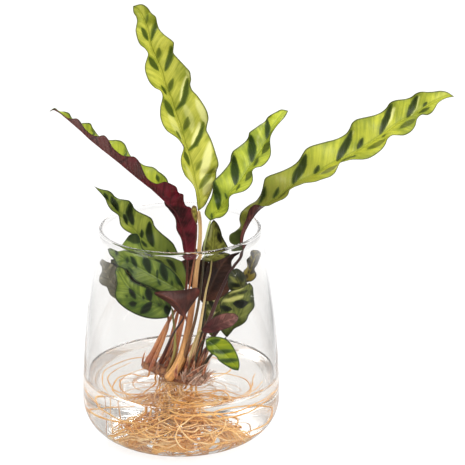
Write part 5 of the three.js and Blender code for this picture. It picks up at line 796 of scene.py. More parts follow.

# painted highlights: pale streaks of sheen laid into the leaf colour, in the same form
PAINTED_SHEEN = {
 'leaf_dark_lower': [
  ([(27.8,-17.2),(32.4,-9.7),(38.5,-2.0)],3.3,1.00),
  ([(35.5,-14.7),(40.2,-10.9),(45.1,-5.4)],2.8,1.00),
  ([(19.5,-8.6),(22.2,-7.0),(26.5,-7.9)],1.2,0.60),
  ([(24.2,-18.1),(26.5,-18.3),(31.1,-17.9)],1.9,0.70),
 ],
 'leaf_back_lower': [
  ([(27.6,-9.2),(32.0,-4.2),(34.3,0.9)],2.6,0.90),
  ([(21.6,-5.9),(20.6,-2.0),(22.3,1.6)],2.7,0.70),
 ],
 'leaf_dark_upper': [
  ([(18.9,-4.7),(13.7,-3.5),(10.7,-1.1)],2.2,0.60),
  ([(7.8,-7.2),(4.9,-3.5),(5.1,-0.3)],2.2,0.70),
 ],
 'leaf_rim_back': [
  ([(35.3,-1.5),(28.5,-2.7),(19.7,-3.9)],2.3,0.90),
  ([(9.2,-7.8),(5.3,-3.2),(2.5,-0.3)],4.1,0.50),
 ],
 'leaf_tall': [
  ([(91.1,-9.6),(76.6,-8.5),(61.6,-5.1)],9.0,0.45),
  ([(90.6,9.4),(77.6,11.3),(65.9,8.7)],6.7,0.40),
  ([(39.2,-10.3),(28.6,-6.0),(17.9,0.3)],7.5,0.40),
  ([(112.3,22.1),(102.5,13.4),(94.4,7.5)],3.7,1.00),
  ([(71.8,17.4),(63.2,11.5),(55.2,5.3)],3.8,1.00),
  ([(90.6,20.5),(78.7,24.2),(69.1,21.9)],6.7,0.70),
  ([(53.1,20.2),(40.3,13.8),(27.1,5.7)],7.2,0.80),
  ([(117.8,23.1),(111.2,25.5),(106.8,22.8)],3.4,0.50),
  ([(25.5,15.3),(19.5,9.4),(13.6,5.7)],6.8,0.60),
 ],
 'leaf_long_right': [
  ([(207.7,-10.6),(200.0,-5.4),(192.3,-0.3)],3.2,1.00),
  ([(184.0,-12.5),(175.8,-7.4),(167.7,-3.8)],3.5,1.00),
  ([(97.2,-17.1),(89.4,-11.5),(81.4,-4.9)],1.6,0.70),
  ([(143.5,-15.9),(133.7,-10.8),(122.8,-4.0)],1.8,0.80),
  ([(118.8,14.9),(110.3,9.6),(98.4,6.4)],7.4,0.50),
 ],
 'leaf_left': [
  ([(88.2,6.4),(83.7,-7.2),(77.4,-3.2)],2.6,0.30),
 ],
 'leaf_short_right': [
  ([(96.1,-8.5),(84.0,-7.2),(75.4,-1.7)],2.4,0.30),
 ],
}

# ---------------------------------------------------------------- curves
def catmull(rows, k):
    """rows with k steps between each two, on a smooth curve through them all"""
    X = np.asarray(rows, float)
    n = len(X)
    P = np.vstack([2 * X[0] - X[1], X, 2 * X[-1] - X[-2]])
    t = np.arange((n - 1) * k + 1) / k
    i = np.minimum(t.astype(int), n - 2)
    f = (t - i)[:, None]
    p0, p1, p2, p3 = P[i], P[i + 1], P[i + 2], P[i + 3]
    return 0.5 * (2 * p1 + (p2 - p0) * f + (2 * p0 - 5 * p1 + 4 * p2 - p3) * f ** 2 + (3 * p1 - p0 - 3 * p2 + p3) * f ** 3)


def centripetal(points, n):
    """n points on the centripetal curve through these, evenly spaced by length"""
    P = np.asarray(points, float)
    P = np.vstack([2 * P[0] - P[1], P, 2 * P[-1] - P[-2]])
    out = []
    for i in range(1, len(P) - 2):
        p0, p1, p2, p3 = P[i - 1:i + 3]
        d = [max(np.linalg.norm(b - a), 1e-6) ** 0.5 for a, b in ((p0, p1), (p1, p2), (p2, p3))]
        t0, t1 = 0.0, d[0]
        t2, t3 = t1 + d[1], t1 + d[1] + d[2]
        for t in np.linspace(t1, t2, 12, endpoint=i == len(P) - 3):
            a1 = (t1 - t) / (t1 - t0) * p0 + (t - t0) / (t1 - t0) * p1
            a2 = (t2 - t) / (t2 - t1) * p1 + (t - t1) / (t2 - t1) * p2
            a3 = (t3 - t) / (t3 - t2) * p2 + (t - t2) / (t3 - t2) * p3
            b1 = (t2 - t) / (t2 - t0) * a1 + (t - t0) / (t2 - t0) * a2
            b2 = (t3 - t) / (t3 - t1) * a2 + (t - t1) / (t3 - t1) * a3
            out.append((t2 - t) / (t2 - t1) * b1 + (t - t1) / (t2 - t1) * b2)
    return even(np.array(out), n)


def even(X, n):
    d = np.concatenate([[0], np.cumsum(np.linalg.norm(np.diff(X, axis=0), axis=1))])
    s = np.linspace(0, d[-1], n)
    return np.stack([np.interp(s, d, X[:, k]) for k in range(3)], 1)


def lengths(X):
    return np.concatenate([[0], np.cumsum(np.linalg.norm(np.diff(X, axis=0), axis=1))])


# ---------------------------------------------------------------- meshes
def grid_faces(idx, wrap=False):
    """quads of a grid of vertex numbers; a repeated number makes a triangle"""
    a, b, c, d = idx[:-1, :-1], idx[:-1, 1:], idx[1:, 1:], idx[1:, :-1]
    faces = [np.stack([a, b, c, d], -1).reshape(-1, 4)]
    if wrap:
        faces.append(np.stack([idx[:-1, -1], idx[:-1, 0], idx[1:, 0], idx[1:, -1]], -1).reshape(-1, 4))
    out = []
    for q in np.vstack(faces).tolist():
        r = [v for k, v in enumerate(q) if v != q[k - 1]]
        if len(r) >= 3:
            out.append(r)
    return out


def make(name, verts, faces, materials, replaces=(), attrs=None, face_mats=None, sharp=None):
    """one piece of the object, from millimetres, riding on the root body"""
    me = bpy.data.meshes.new(name)
    me.from_pydata((np.asarray(verts, float) * MM).tolist(), [], faces)
    me.update()
    for key, values in (attrs or {}).items():
        values = np.asarray(values, np.float32)
        kind = 'FLOAT' if values.ndim == 1 else 'FLOAT_VECTOR'
        at = me.attributes.new(key, kind, 'POINT')
        at.data.foreach_set('value' if kind == 'FLOAT' else 'vector', values.ravel())
    me.polygons.foreach_set('use_smooth', np.ones(len(me.polygons), bool))
    for m in materials:
        me.materials.append(m)
    if face_mats is not None:
        me.polygons.foreach_set('material_index', np.asarray(face_mats, np.int32))
    if sharp is not None:
        ev = np.empty(2 * len(me.edges), np.int32)
        me.edges.foreach_get('vertices', ev)
        ev = ev.reshape(-1, 2)
        me.edges.foreach_set('use_edge_sharp', sharp[ev[:, 0]] & sharp[ev[:, 1]])
    me.validate()
    me.update()
    ob = bpy.data.objects.new(name, me)
    bpy.context.scene.collection.objects.link(ob)
    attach(ob, "root")
    if replaces:
        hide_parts(*replaces)
    return ob


def tube(path, radii, sides, groove=None, lobes=None):
    """vertices, faces and (length, angle) of a closed tube with round ends"""
    P = np.asarray(path, float)
    n = len(P)
    T = np.gradient(P, axis=0)
    T /= np.maximum(np.linalg.norm(T, axis=1, keepdims=True), 1e-9)
    u = np.cross(T[0], (0, 0, 1.0) if abs(T[0][2]) < 0.9 else (1.0, 0, 0))
    u /= np.linalg.norm(u)
    ang = 2 * np.pi * np.arange(sides) / sides
    radii = np.asarray(radii, float)
    if radii.ndim == 1:
        radii = np.repeat(radii[:, None], sides, 1)
    rings = np.empty((n, sides, 3))
    for i in range(n):
        u = u - T[i] * (u @ T[i])
        u /= np.linalg.norm(u)
        w = np.cross(T[i], u)
        rings[i] = P[i] + radii[i][:, None] * (np.cos(ang)[:, None] * u + np.sin(ang)[:, None] * w)
    L = lengths(P)
    tip0 = P[0] - T[0] * radii[0].mean() * 0.6
    tip1 = P[-1] + T[-1] * radii[-1].mean() * 0.6
    verts = np.vstack([rings.reshape(-1, 3), tip0, tip1])
    idx = np.arange(n * sides).reshape(n, sides)
    faces = [list(reversed(f)) for f in grid_faces(idx, wrap=True)]
    k = n * sides
    for j in range(sides):
        faces.append([k, int(idx[0, (j + 1) % sides]), int(idx[0, j])][::-1])
        faces.append([k + 1, int(idx[-1, j]), int(idx[-1, (j + 1) % sides])][::-1])
    along = np.concatenate([np.repeat(L, sides), [0, L[-1]]])
    share = np.concatenate([np.repeat(L / max(L[-1], 1e-9), sides), [0, 1]])
    round_ = np.concatenate([np.tile(ang, n), [0, 0]])
    return verts, faces, along, share, round_


class Heap:
    """many tubes gathered into one mesh"""
    def __init__(self):
        self.v, self.f, self.a, self.n = [], [], [], 0

    def add(self, verts, faces, *facts):
        self.v.append(verts)
        self.f += [[i + self.n for i in f] for f in faces]
        self.a.append(np.stack([np.broadcast_to(x, (len(verts),)) for x in facts], 1))
        self.n += len(verts)

    def data(self):
        return np.vstack(self.v), self.f, np.vstack(self.a)


def lathe(name, profile, sides, material, replaces, sharp=()):
    """a solid of revolution; the profile runs from axis to axis"""
    P = np.asarray(profile, float)
    ang = 2 * np.pi * np.arange(sides) / sides
    verts, rows = [], []
    for r, z in P:
        if r < 1e-6:
            rows.append([len(verts)] * sides)
            verts.append((0, 0, z))
        else:
            rows.append(list(range(len(verts), len(verts) + sides)))
            verts += [(r * math.cos(a), r * math.sin(a), z) for a in ang]
    faces = grid_faces(np.array(rows), wrap=True)
    return make(name, verts, faces, [material], replaces)


def arc(cx, cz, r, start, stop, steps):
    a = np.radians(np.linspace(start, stop, steps + 1))
    return [(cx + r * math.cos(t), cz + r * math.sin(t)) for t in a]


# ---------------------------------------------------------------- materials
def lin(r, g, b):
    f = lambda c: (c / 255 / 12.92) if c / 255 <= 0.04045 else ((c / 255 + 0.055) / 1.055) ** 2.4
    return (f(r), f(g), f(b), 1.0)


class Net:
    """small helper for building a material's nodes"""
    def __init__(self, name):
        self.mat = bpy.data.materials.new(name)
        self.mat.use_nodes = True
        self.t = self.mat.node_tree
        self.t.nodes.clear()
        self.out = self.t.nodes.new('ShaderNodeOutputMaterial')

    def put(self, socket, value):
        if isinstance(value, bpy.types.NodeSocket):
            self.t.links.new(value, socket)
        elif value is not None:
            socket.default_value = value

    def math(self, op, a, b=None, c=None, clamp=False):
        n = self.t.nodes.new('ShaderNodeMath')
        n.operation = op
        n.use_clamp = clamp
        for k, x in enumerate((a, b, c)):
            if x is not None:
                self.put(n.inputs[k], x)
        return n.outputs[0]

    def step(self, value, low, high, a=0.0, b=1.0):
        """a below low, b above high, smooth between"""
        n = self.t.nodes.new('ShaderNodeMapRange')
        n.interpolation_type = 'SMOOTHSTEP'
        self.put(n.inputs['Value'], value)
        for key, x in (('From Min', low), ('From Max', high), ('To Min', a), ('To Max', b)):
            n.inputs[key].default_value = x
        return n.outputs['Result']

    def mix(self, fac, a, b, mode='MIX'):
        n = self.t.nodes.new('ShaderNodeMix')
        n.data_type = 'RGBA'
        n.blend_type = mode
        self.put(n.inputs[0], fac)
        self.put(n.inputs[6], a)
        self.put(n.inputs[7], b)
        return n.outputs[2]

    def attr(self, name):
        n = self.t.nodes.new('ShaderNodeAttribute')
        n.attribute_type = 'GEOMETRY'
        n.attribute_name = name
        return n

    def xyz(self, vector):
        n = self.t.nodes.new('ShaderNodeSeparateXYZ')
        self.put(n.inputs[0], vector)
        return n.outputs[0], n.outputs[1], n.outputs[2]

    def vec(self, x, y, z):
        n = self.t.nodes.new('ShaderNodeCombineXYZ')
        for k, v in enumerate((x, y, z)):
            self.put(n.inputs[k], v)
        return n.outputs[0]

    def noise(self, vector, scale=1.0, detail=2.0, rough=0.5):
        n = self.t.nodes.new('ShaderNodeTexNoise')
        self.put(n.inputs['Vector'], vector)
        n.inputs['Scale'].default_value = scale
        n.inputs['Detail'].default_value = detail
        n.inputs['Roughness'].default_value = rough
        return n.outputs['Fac']

    def place(self):
        """object coordinates: the object's own metres"""
        n = self.t.nodes.new('ShaderNodeTexCoord')
        return n.outputs['Object']

    def bump(self, height, distance, strength=1.0, normal=None):
        n = self.t.nodes.new('ShaderNodeBump')
        n.inputs['Strength'].default_value = strength
        n.inputs['Distance'].default_value = distance
        self.put(n.inputs['Height'], height)
        if normal is not None:
            self.put(n.inputs['Normal'], normal)
        return n.outputs[0]

    def principled(self, **values):
        n = self.t.nodes.new('ShaderNodeBsdfPrincipled')
        for key, v in values.items():
            self.put(n.inputs[key.replace('_', ' ')], v)
        return n

    def finish(self, shader):
        self.t.links.new(shader, self.out.inputs['Surface'])
        return self.mat


def leaf_upper(name, light, deep, blotch, blotch_edge, rim, painted_sheen=lin(228, 226, 150), rough=0.40, foot=None, reach=0.3):
    """the patterned upper face: green, with dark ovals that lie along the side veins and painted highlight streaks of
    sheen
    """
    n = Net(name)
    along, across, edge = n.xyz(n.attr('place').outputs['Vector'])
    # the third value of 'mark' is the strength of the painted highlight streaks
    spot, depth, pale = n.xyz(n.attr('mark').outputs['Vector'])
    off = n.math('ABSOLUTE', across)
    side = n.math('SIGN', across)
    vein = n.math('SUBTRACT', along, n.math('MULTIPLY', off, 1.02))
    vein = n.math('ADD', vein, n.math('MULTIPLY', n.math('MULTIPLY', off, off), 0.010))
    fine = n.noise(n.vec(n.math('MULTIPLY', vein, 1.5), n.math('MULTIPLY', off, 0.05), side), 1.0, 3.0, 0.6)
    broad = n.noise(n.vec(n.math('MULTIPLY', vein, 0.28), n.math('MULTIPLY', off, 0.05), side), 1.0, 2.0, 0.5)
    patch = n.noise(n.place(), 44.0, 3.0, 0.55)
    # green of the open surface: lighter by the midrib, deeper towards the margin and around the blotches
    tone = n.math('ADD', n.math('MULTIPLY', patch, 0.75), n.math('MULTIPLY', broad, 0.5))
    tone = n.math('ADD', tone, n.step(edge, 0.5, 7.0, 0.10, 0.0))
    tone = n.math('ADD', tone, n.step(spot, 0.3, 3.2, 0.07, 0.0))
    col = n.mix(n.step(tone, 0.50, 0.84), light, deep)
    if foot is not None:
        share = n.math('ADD', n.attr('share').outputs['Fac'], n.math('MULTIPLY', n.math('SUBTRACT', patch, 0.5), 0.3))
        col = n.mix(n.step(share, 0.4 * reach, reach, 0.85, 0.0), col, foot)
    ribs = n.noise(n.vec(n.math('MULTIPLY', vein, 0.62), n.math('MULTIPLY', off, 0.04), n.math('ADD', side, 4.0)), 1.0, 2.0, 0.5)
    col = n.mix(n.step(ribs, 0.50, 0.68, 0.0, 0.30), col, deep)
    col = n.mix(n.step(fine, 0.42, 0.70, 0.0, 0.38), col, deep)
    # painted highlight: pale sheen streaks mixed into the colour
    col = n.mix(n.math('MULTIPLY', n.step(pale, 0.0, 1.0), 0.85), col, painted_sheen)
    # midrib: a pale line between two darker ones
    rib = n.step(off, 0.35, 0.95, 0.0, 1.0)
    col = n.mix(n.math('MULTIPLY', n.math('MULTIPLY', rib, n.step(off, 1.0, 2.4, 1.0, 0.0)), 0.6), col, deep)
    # blotches, with a frayed edge along the veins
    fray = n.math('MULTIPLY', n.math('SUBTRACT', n.noise(n.vec(n.math('MULTIPLY', vein, 0.9), n.math('MULTIPLY', off, 0.25), side), 1.0, 3.0, 0.6), 0.5), 1.7)
    s = n.math('ADD', spot, fray)
    mask = n.math('MULTIPLY', n.step(s, -0.45, 0.45, 1.0, 0.0), depth)
    core = n.step(s, -1.6, -0.3, 1.0, 0.0)
    dark = n.mix(core, blotch_edge, blotch)
    dark = n.mix(n.step(fine, 0.45, 0.75, 0.0, 0.35), dark, blotch_edge)
    col = n.mix(mask, col, dark)
    # thin dark margin
    wob = n.math('MULTIPLY', n.math('SUBTRACT', fine, 0.5), 0.6)
    col = n.mix(n.step(n.math('ADD', edge, wob), 0.60, 1.70, 0.9, 0.0), col, rim)
    height = n.math('ADD', n.math('ADD', n.math('MULTIPLY', fine, 0.6), n.math('MULTIPLY', ribs, 0.8)), n.math('MULTIPLY', n.step(off, 0.0, 1.1), 0.55))
    cells = n.noise(n.place(), 2600.0, 1.0, 0.5)
    height = n.math('ADD', height, n.math('MULTIPLY', cells, 0.12))
    r = n.math('ADD', rough - 0.07, n.math('MULTIPLY', n.noise(n.place(), 240.0, 2.0), 0.14))
    p = n.principled(Base_Color=col, Roughness=r, Normal=n.bump(height, 0.00022, 0.8), Specular_IOR_Level=0.22)
    return n.finish(p.outputs[0])


def leaf_under(name, main, deep, pale, rim, far=None, rib=0.35):
    """the plum-coloured underside with its raised midrib; far is the tone towards the tip"""
    n = Net(name)
    along, across, edge = n.xyz(n.attr('place').outputs['Vector'])
    spot, depth, _ = n.xyz(n.attr('mark').outputs['Vector'])
    share = n.attr('share').outputs['Fac']
    off = n.math('ABSOLUTE', across)
    side = n.math('SIGN', across)
    vein = n.math('SUBTRACT', along, n.math('MULTIPLY', off, 1.02))
    vein = n.math('ADD', vein, n.math('MULTIPLY', n.math('MULTIPLY', off, off), 0.010))
    fine = n.noise(n.vec(n.math('MULTIPLY', vein, 1.2), n.math('MULTIPLY', off, 0.05), side), 1.0, 3.0, 0.6)
    patch = n.noise(n.place(), 52.0, 3.0, 0.6)
    col = n.mix(n.step(patch, 0.36, 0.62), main, deep)
    if far is not None:
        col = n.mix(n.step(n.math('ADD', share, n.math('MULTIPLY', n.math('SUBTRACT', patch, 0.5), 0.5)), 0.25, 0.85), col, far)
    pleat = n.noise(n.vec(n.math('MULTIPLY', vein, 0.45), n.math('MULTIPLY', off, 0.05), n.math('ADD', side, 3.0)), 1.0, 2.0, 0.5)
    col = n.mix(n.step(pleat, 0.46, 0.64, 0.0, 0.55), col, deep)
    col = n.mix(n.step(fine, 0.50, 0.74, 0.0, 0.40), col, pale)
    # blotches show faintly through the underside; on leaf_long_left the marks are painted fold shade
    col = n.mix(n.math('MULTIPLY', n.step(spot, -0.6, 0.6, 0.55, 0.0), depth), col, deep)
    col = n.mix(n.step(off, 0.30, 1.0, rib, 0.0), col, pale)
    col = n.mix(n.step(edge, 0.25, 0.9, 0.75, 0.0), col, rim)
    height = n.math('ADD', n.math('ADD', n.math('MULTIPLY', fine, 0.8), n.math('MULTIPLY', pleat, 1.8)), n.math('MULTIPLY', n.noise(n.place(), 1900.0, 1.0), 0.15))
    r = n.math('ADD', 0.36, n.math('MULTIPLY', n.noise(n.place(), 260.0, 2.0), 0.16))
    p = n.principled(Base_Color=col, Roughness=r, Normal=n.bump(height, 0.00025, 0.8), Specular_IOR_Level=0.28)
    return n.finish(p.outputs[0])


def stem_material(name, top, middle, foot, streak, rough=0.42, low=0.55, high=0.95):
    """colour from the blade end (share 0) to the foot (share 1), streaked lengthwise"""
    n = Net(name)
    share, around, along = n.xyz(n.attr('place').outputs['Vector'])
    ca, sa = n.math('COSINE', around), n.math('SINE', around)
    lines = n.noise(n.vec(n.math('MULTIPLY', ca, 3.0), n.math('MULTIPLY', sa, 3.0), n.math('MULTIPLY', along, 0.035)), 1.0, 4.0, 0.65)
    flecks = n.noise(n.vec(n.math('MULTIPLY', ca, 2.2), n.math('MULTIPLY', sa, 2.2), n.math('MULTIPLY', along, 0.30)), 1.0, 3.0, 0.7)
    col = n.mix(n.step(share, 0.05, low), top, middle)
    col = n.mix(n.step(n.math('ADD', share, n.math('MULTIPLY', n.math('SUBTRACT', lines, 0.5), 0.35)), low, high), col, foot)
    col = n.mix(n.step(lines, 0.44, 0.64, 0.0, 0.7), col, streak)
    col = n.mix(n.math('MULTIPLY', n.step(flecks, 0.52, 0.70, 0.0, 0.75), n.step(share, 0.35, 0.9, 0.35, 1.0)), col, streak)
    height = n.math('ADD', lines, n.math('MULTIPLY', flecks, 0.4))
    p = n.principled(Base_Color=col, Roughness=n.math('ADD', rough - 0.08, n.math('MULTIPLY', flecks, 0.2)), Normal=n.bump(height, 0.0005, 1.0), Specular_IOR_Level=0.4)
    return n.finish(p.outputs[0])


def rhizome_material():
    n = Net('rhizome_skin')
    share, around, along = n.xyz(n.attr('place').outputs['Vector'])
    rings = n.noise(n.vec(n.math('MULTIPLY', along, 0.55), 0.0, n.math('MULTIPLY', n.math('SINE', around), 0.6)), 1.0, 3.0, 0.6)
    lumps = n.noise(n.place(), 260.0, 4.0, 0.6)
    col = n.mix(n.step(lumps, 0.35, 0.65), lin(186, 128, 82), lin(120, 76, 58))
    col = n.mix(n.step(rings, 0.52, 0.66, 0.0, 0.75), col, lin(92, 52, 44))
    col = n.mix(n.step(n.noise(n.place(), 900.0, 2.0), 0.60, 0.72, 0.0, 0.6), col, lin(222, 176, 122))
    h = n.math('ADD', n.math('MULTIPLY', rings, 0.8), lumps)
    p = n.principled(Base_Color=col, Roughness=n.math('ADD', 0.38, n.math('MULTIPLY', lumps, 0.25)), Normal=n.bump(h, 0.0009, 0.9))
    return n.finish(p.outputs[0])


def root_material(name, pale, warm, dark):
    n = Net(name)
    share, kind, along = n.xyz(n.attr('place').outputs['Vector'])
    patch = n.noise(n.place(), 55.0, 2.0)
    spots = n.noise(n.place(), 420.0, 3.0, 0.6)
    col = n.mix(n.step(patch, 0.38, 0.62), pale, warm)
    col = n.mix(kind, col, dark)
    col = n.mix(n.step(spots, 0.52, 0.72, 0.0, 0.45), col, dark)
    col = n.mix(n.step(share, 0.75, 1.0, 0.0, 0.35), col, pale)
    p = n.principled(Base_Color=col, Roughness=n.math('ADD', 0.34, n.math('MULTIPLY', spots, 0.25)), Normal=n.bump(spots, 0.0003, 0.7), Specular_IOR_Level=0.5)
    return n.finish(p.outputs[0])


def scale_material(name, light, dark, black, pale):
    n = Net(name)
    along, across, edge = n.xyz(n.attr('place').outputs['Vector'])
    lines = n.noise(n.vec(n.math('MULTIPLY', across, 2.6), n.math('MULTIPLY', along, 0.14), 0.0), 1.0, 4.0, 0.65)
    patch = n.noise(n.place(), 260.0, 3.0, 0.6)
    col = n.mix(n.step(lines, 0.38, 0.60), light, dark)
    col = n.mix(n.step(patch, 0.44, 0.62, 0.0, 0.85), col, black)
    col = n.mix(n.step(edge, 0.0, 0.8, 0.8, 0.0), col, pale)
    p = n.principled(Base_Color=col, Roughness=n.math('ADD', 0.5, n.math('MULTIPLY', patch, 0.25)), Normal=n.bump(lines, 0.0008, 1.0))
    return n.finish(p.outputs[0])


def clear(name, ior, tint_a, tint_b, ripple, ripple_scale):
    """glass or water that lets the lamps' light through to what it holds"""
    n = Net(name)
    drift = n.noise(n.place(), ripple_scale, 2.0, 0.45)
    col = n.mix(n.step(drift, 0.3, 0.7), tint_a, tint_b)
    path = n.t.nodes.new('ShaderNodeLightPath')
    # what runs on inside the wall for many bounces isn't tinted any further
    col = n.mix(n.step(path.outputs['Ray Depth'], 5.0, 9.0, 0.0, 0.9), col, (1.0, 1.0, 1.0, 1.0))
    p = n.principled(Base_Color=col, Roughness=0.0, IOR=ior, Transmission_Weight=1.0, Normal=n.bump(drift, ripple, 0.35))
    see = n.t.nodes.new('ShaderNodeBsdfTransparent')
    see.inputs['Color'].default_value = (0.986, 0.986, 0.984, 1.0)
    lamp = n.math('MAXIMUM', path.outputs['Is Shadow Ray'], path.outputs['Is Diffuse Ray'])
    m = n.t.nodes.new('ShaderNodeMixShader')
    n.put(m.inputs[0], lamp)
    n.t.links.new(p.outputs[0], m.inputs[1])
    n.t.links.new(see.outputs[0], m.inputs[2])
    return n.finish(m.outputs[0])


# ---------------------------------------------------------------- vase and water
def smooth_wall(points, k):
    X = np.array([(r, z, 0.0) for r, z in points])
    return [(float(a), float(b)) for a, b, _ in catmull(X, k)]


GLASS = clear('vase_glass', 1.45, (0.955, 0.950, 0.942, 1), (0.935, 0.928, 0.916, 1), 0.0008, 14.0)
WATER = clear('vase_water', 1.333, (0.992, 0.982, 0.966, 1), (0.978, 0.962, 0.940, 1), 0.0004, 24.0)

inner_c = (81 - 28.5, 5 + 28.5)
out_wall = smooth_wall(VASE_OUT, 7)
in_wall = smooth_wall(VASE_IN, 7)
lip = arc(67.4, 184.4, 1.75, -35, 215, 18)
lip = [(r, 184.4 + (z - 184.4) * 1.15) for r, z in lip]
base = [(0, 1.1), (18, 1.0), (36, 0.8), (44, 0.55), (48, 0.2), (50, 0.0), (52, 0.0)]
profile = base + arc(52, 33, 33, -90, 0, 22)[1:] + out_wall[1:-2] + lip + in_wall[2:] + arc(inner_c[0], inner_c[1], 28.5, 0, -90, 20)[1:] + [(40, 5), (26, 5), (12, 5), (0, 5)]
lathe('vase_clear', profile, 192, GLASS, ['glass_vase'])

overlap = 0.25
wall = [(r + overlap, z) for r, z in [(81, 33.5), (81.35, 41), (81.5, 48), (81.45, 53)]]
surface = [(81.4 + overlap, WATER_LEVEL + 1.7), (80.9, WATER_LEVEL + 1.25), (80.3, WATER_LEVEL + 0.72), (79.5, WATER_LEVEL + 0.36), (78.3, WATER_LEVEL + 0.14), (76.5, WATER_LEVEL + 0.03), (74, WATER_LEVEL)]
surface += [(r, WATER_LEVEL) for r in np.linspace(70, 4, 18)] + [(0, WATER_LEVEL)]
bottom = [(0, 5 - overlap), (16, 5 - overlap), (34, 5 - overlap)] + arc(inner_c[0], inner_c[1], 28.5 + overlap, -90, 0, 20)
lathe('water_body', bottom + wall[1:] + surface, 192, WATER, ['water'])


# ---------------------------------------------------------------- leaves
def spread(cols):
    h = np.linspace(0, 1, cols // 2 + 1)
    h = 0.55 * h + 0.45 * h ** 1.8
    return np.concatenate([-h[:0:-1], h])


def leaf_grid(rows, fine, cols, curl=1.7):
    """middle surface of a blade: its margins' waves die out towards the midrib"""
    R = catmull(rows, fine)
    M, A, B = R[:, 0:3], R[:, 3:6], R[:, 6:9]
    nu = len(M)
    s = np.arange(nu)
    W = np.exp(-0.5 * ((s[:, None] - s[None, :]) / (nu / 7)) ** 2)
    W /= W.sum(1, keepdims=True)
    t = spread(cols)
    G = np.empty((nu, len(t), 3))
    for side, E in ((-1, A - M), (1, B - M)):
        base = W @ E
        le = np.linalg.norm(E, axis=1, keepdims=True)
        lb = np.linalg.norm(base, axis=1, keepdims=True) + 1e-9
        base = base * np.minimum(1, 1.15 * le / lb)
        for j, tj in enumerate(t):
            if tj == 0:
                G[:, j] = M
            elif (tj < 0) == (side < 0):
                u = abs(tj)
                G[:, j] = M + u * base + u ** curl * (E - base)
    return G, t


def flatten(G, t):
    mid = len(t) // 2
    X = lengths(G[:, mid])
    d = np.linalg.norm(np.diff(G, axis=1), axis=2)
    Y = np.zeros(G.shape[:2])
    Y[:, mid + 1:] = np.cumsum(d[:, mid:], axis=1)
    Y[:, :mid] = -np.cumsum(d[:, :mid][:, ::-1], axis=1)[:, ::-1]
    edge = np.where(t[None, :] < 0, Y - Y[:, :1], Y[:, -1:] - Y)
    ends = np.minimum(X, X[-1] - X)[:, None]
    return np.repeat(X[:, None], len(t), 1), Y, np.minimum(edge, 0.6 * ends)


def normals(G):
    n = np.cross(np.gradient(G, axis=0), np.gradient(G, axis=1))
    n /= np.maximum(np.linalg.norm(n, axis=2, keepdims=True), 1e-9)
    n[0], n[-1] = n[1], n[-2]
    return n


def field(X, Y, marks):
    """signed distance to the nearest marking, negative inside, and its depth"""
    best = np.full(X.shape, 12.0)
    deep = np.ones(X.shape)
    for pts, w, depth in marks:
        P = np.array(pts, float)
        L = lengths(np.column_stack([P, np.zeros(len(P))]))
        for k in range(len(P) - 1):
            a, b = P[k], P[k + 1]
            ab = b - a
            q = np.clip(((X - a[0]) * ab[0] + (Y - a[1]) * ab[1]) / max(ab @ ab, 1e-9), 0, 1)
            s = (L[k] + q * (L[k + 1] - L[k])) / max(L[-1], 1e-9)
            r = 0.5 * w * (0.30 + 0.76 * np.sin(np.pi * np.clip(s, 0, 1)) ** 0.75)
            d = np.hypot(X - a[0] - q * ab[0], Y - a[1] - q * ab[1]) - r
            near = d < best
            best = np.where(near, d, best)
            deep = np.where(near, depth, deep)
    return best, deep


def regular(length, half, seed, first=0.10, last=0.93):
    """the species' pattern: long and short ovals in turn on both halves"""
    r = np.random.default_rng(seed)
    out = []
    pitch = max(9.0, min(24.0, length / 7.5))
    for side in (-1, 1):
        x = length * first + (0.0 if side < 0 else pitch * 0.5)
        k = 0
        while x < length * last:
            room = half(x / length)
            if k % 2 == 0:
                reach = room * 0.72
                out.append(([(x, side * 0.9), (x + reach * 0.55, side * reach * 0.55), (x + reach * 1.05, side * reach)], min(7.0, 0.30 * room + 2.0), 1.0))
            else:
                reach = room * 0.34
                out.append(([(x, side * 0.9), (x + reach * 0.6, side * reach * 0.6), (x + reach * 1.1, side * reach)], min(4.5, 0.16 * room + 1.6), 0.95))
            x += pitch * 0.5 * (0.92 + 0.16 * r.random())
            k += 1
    return out


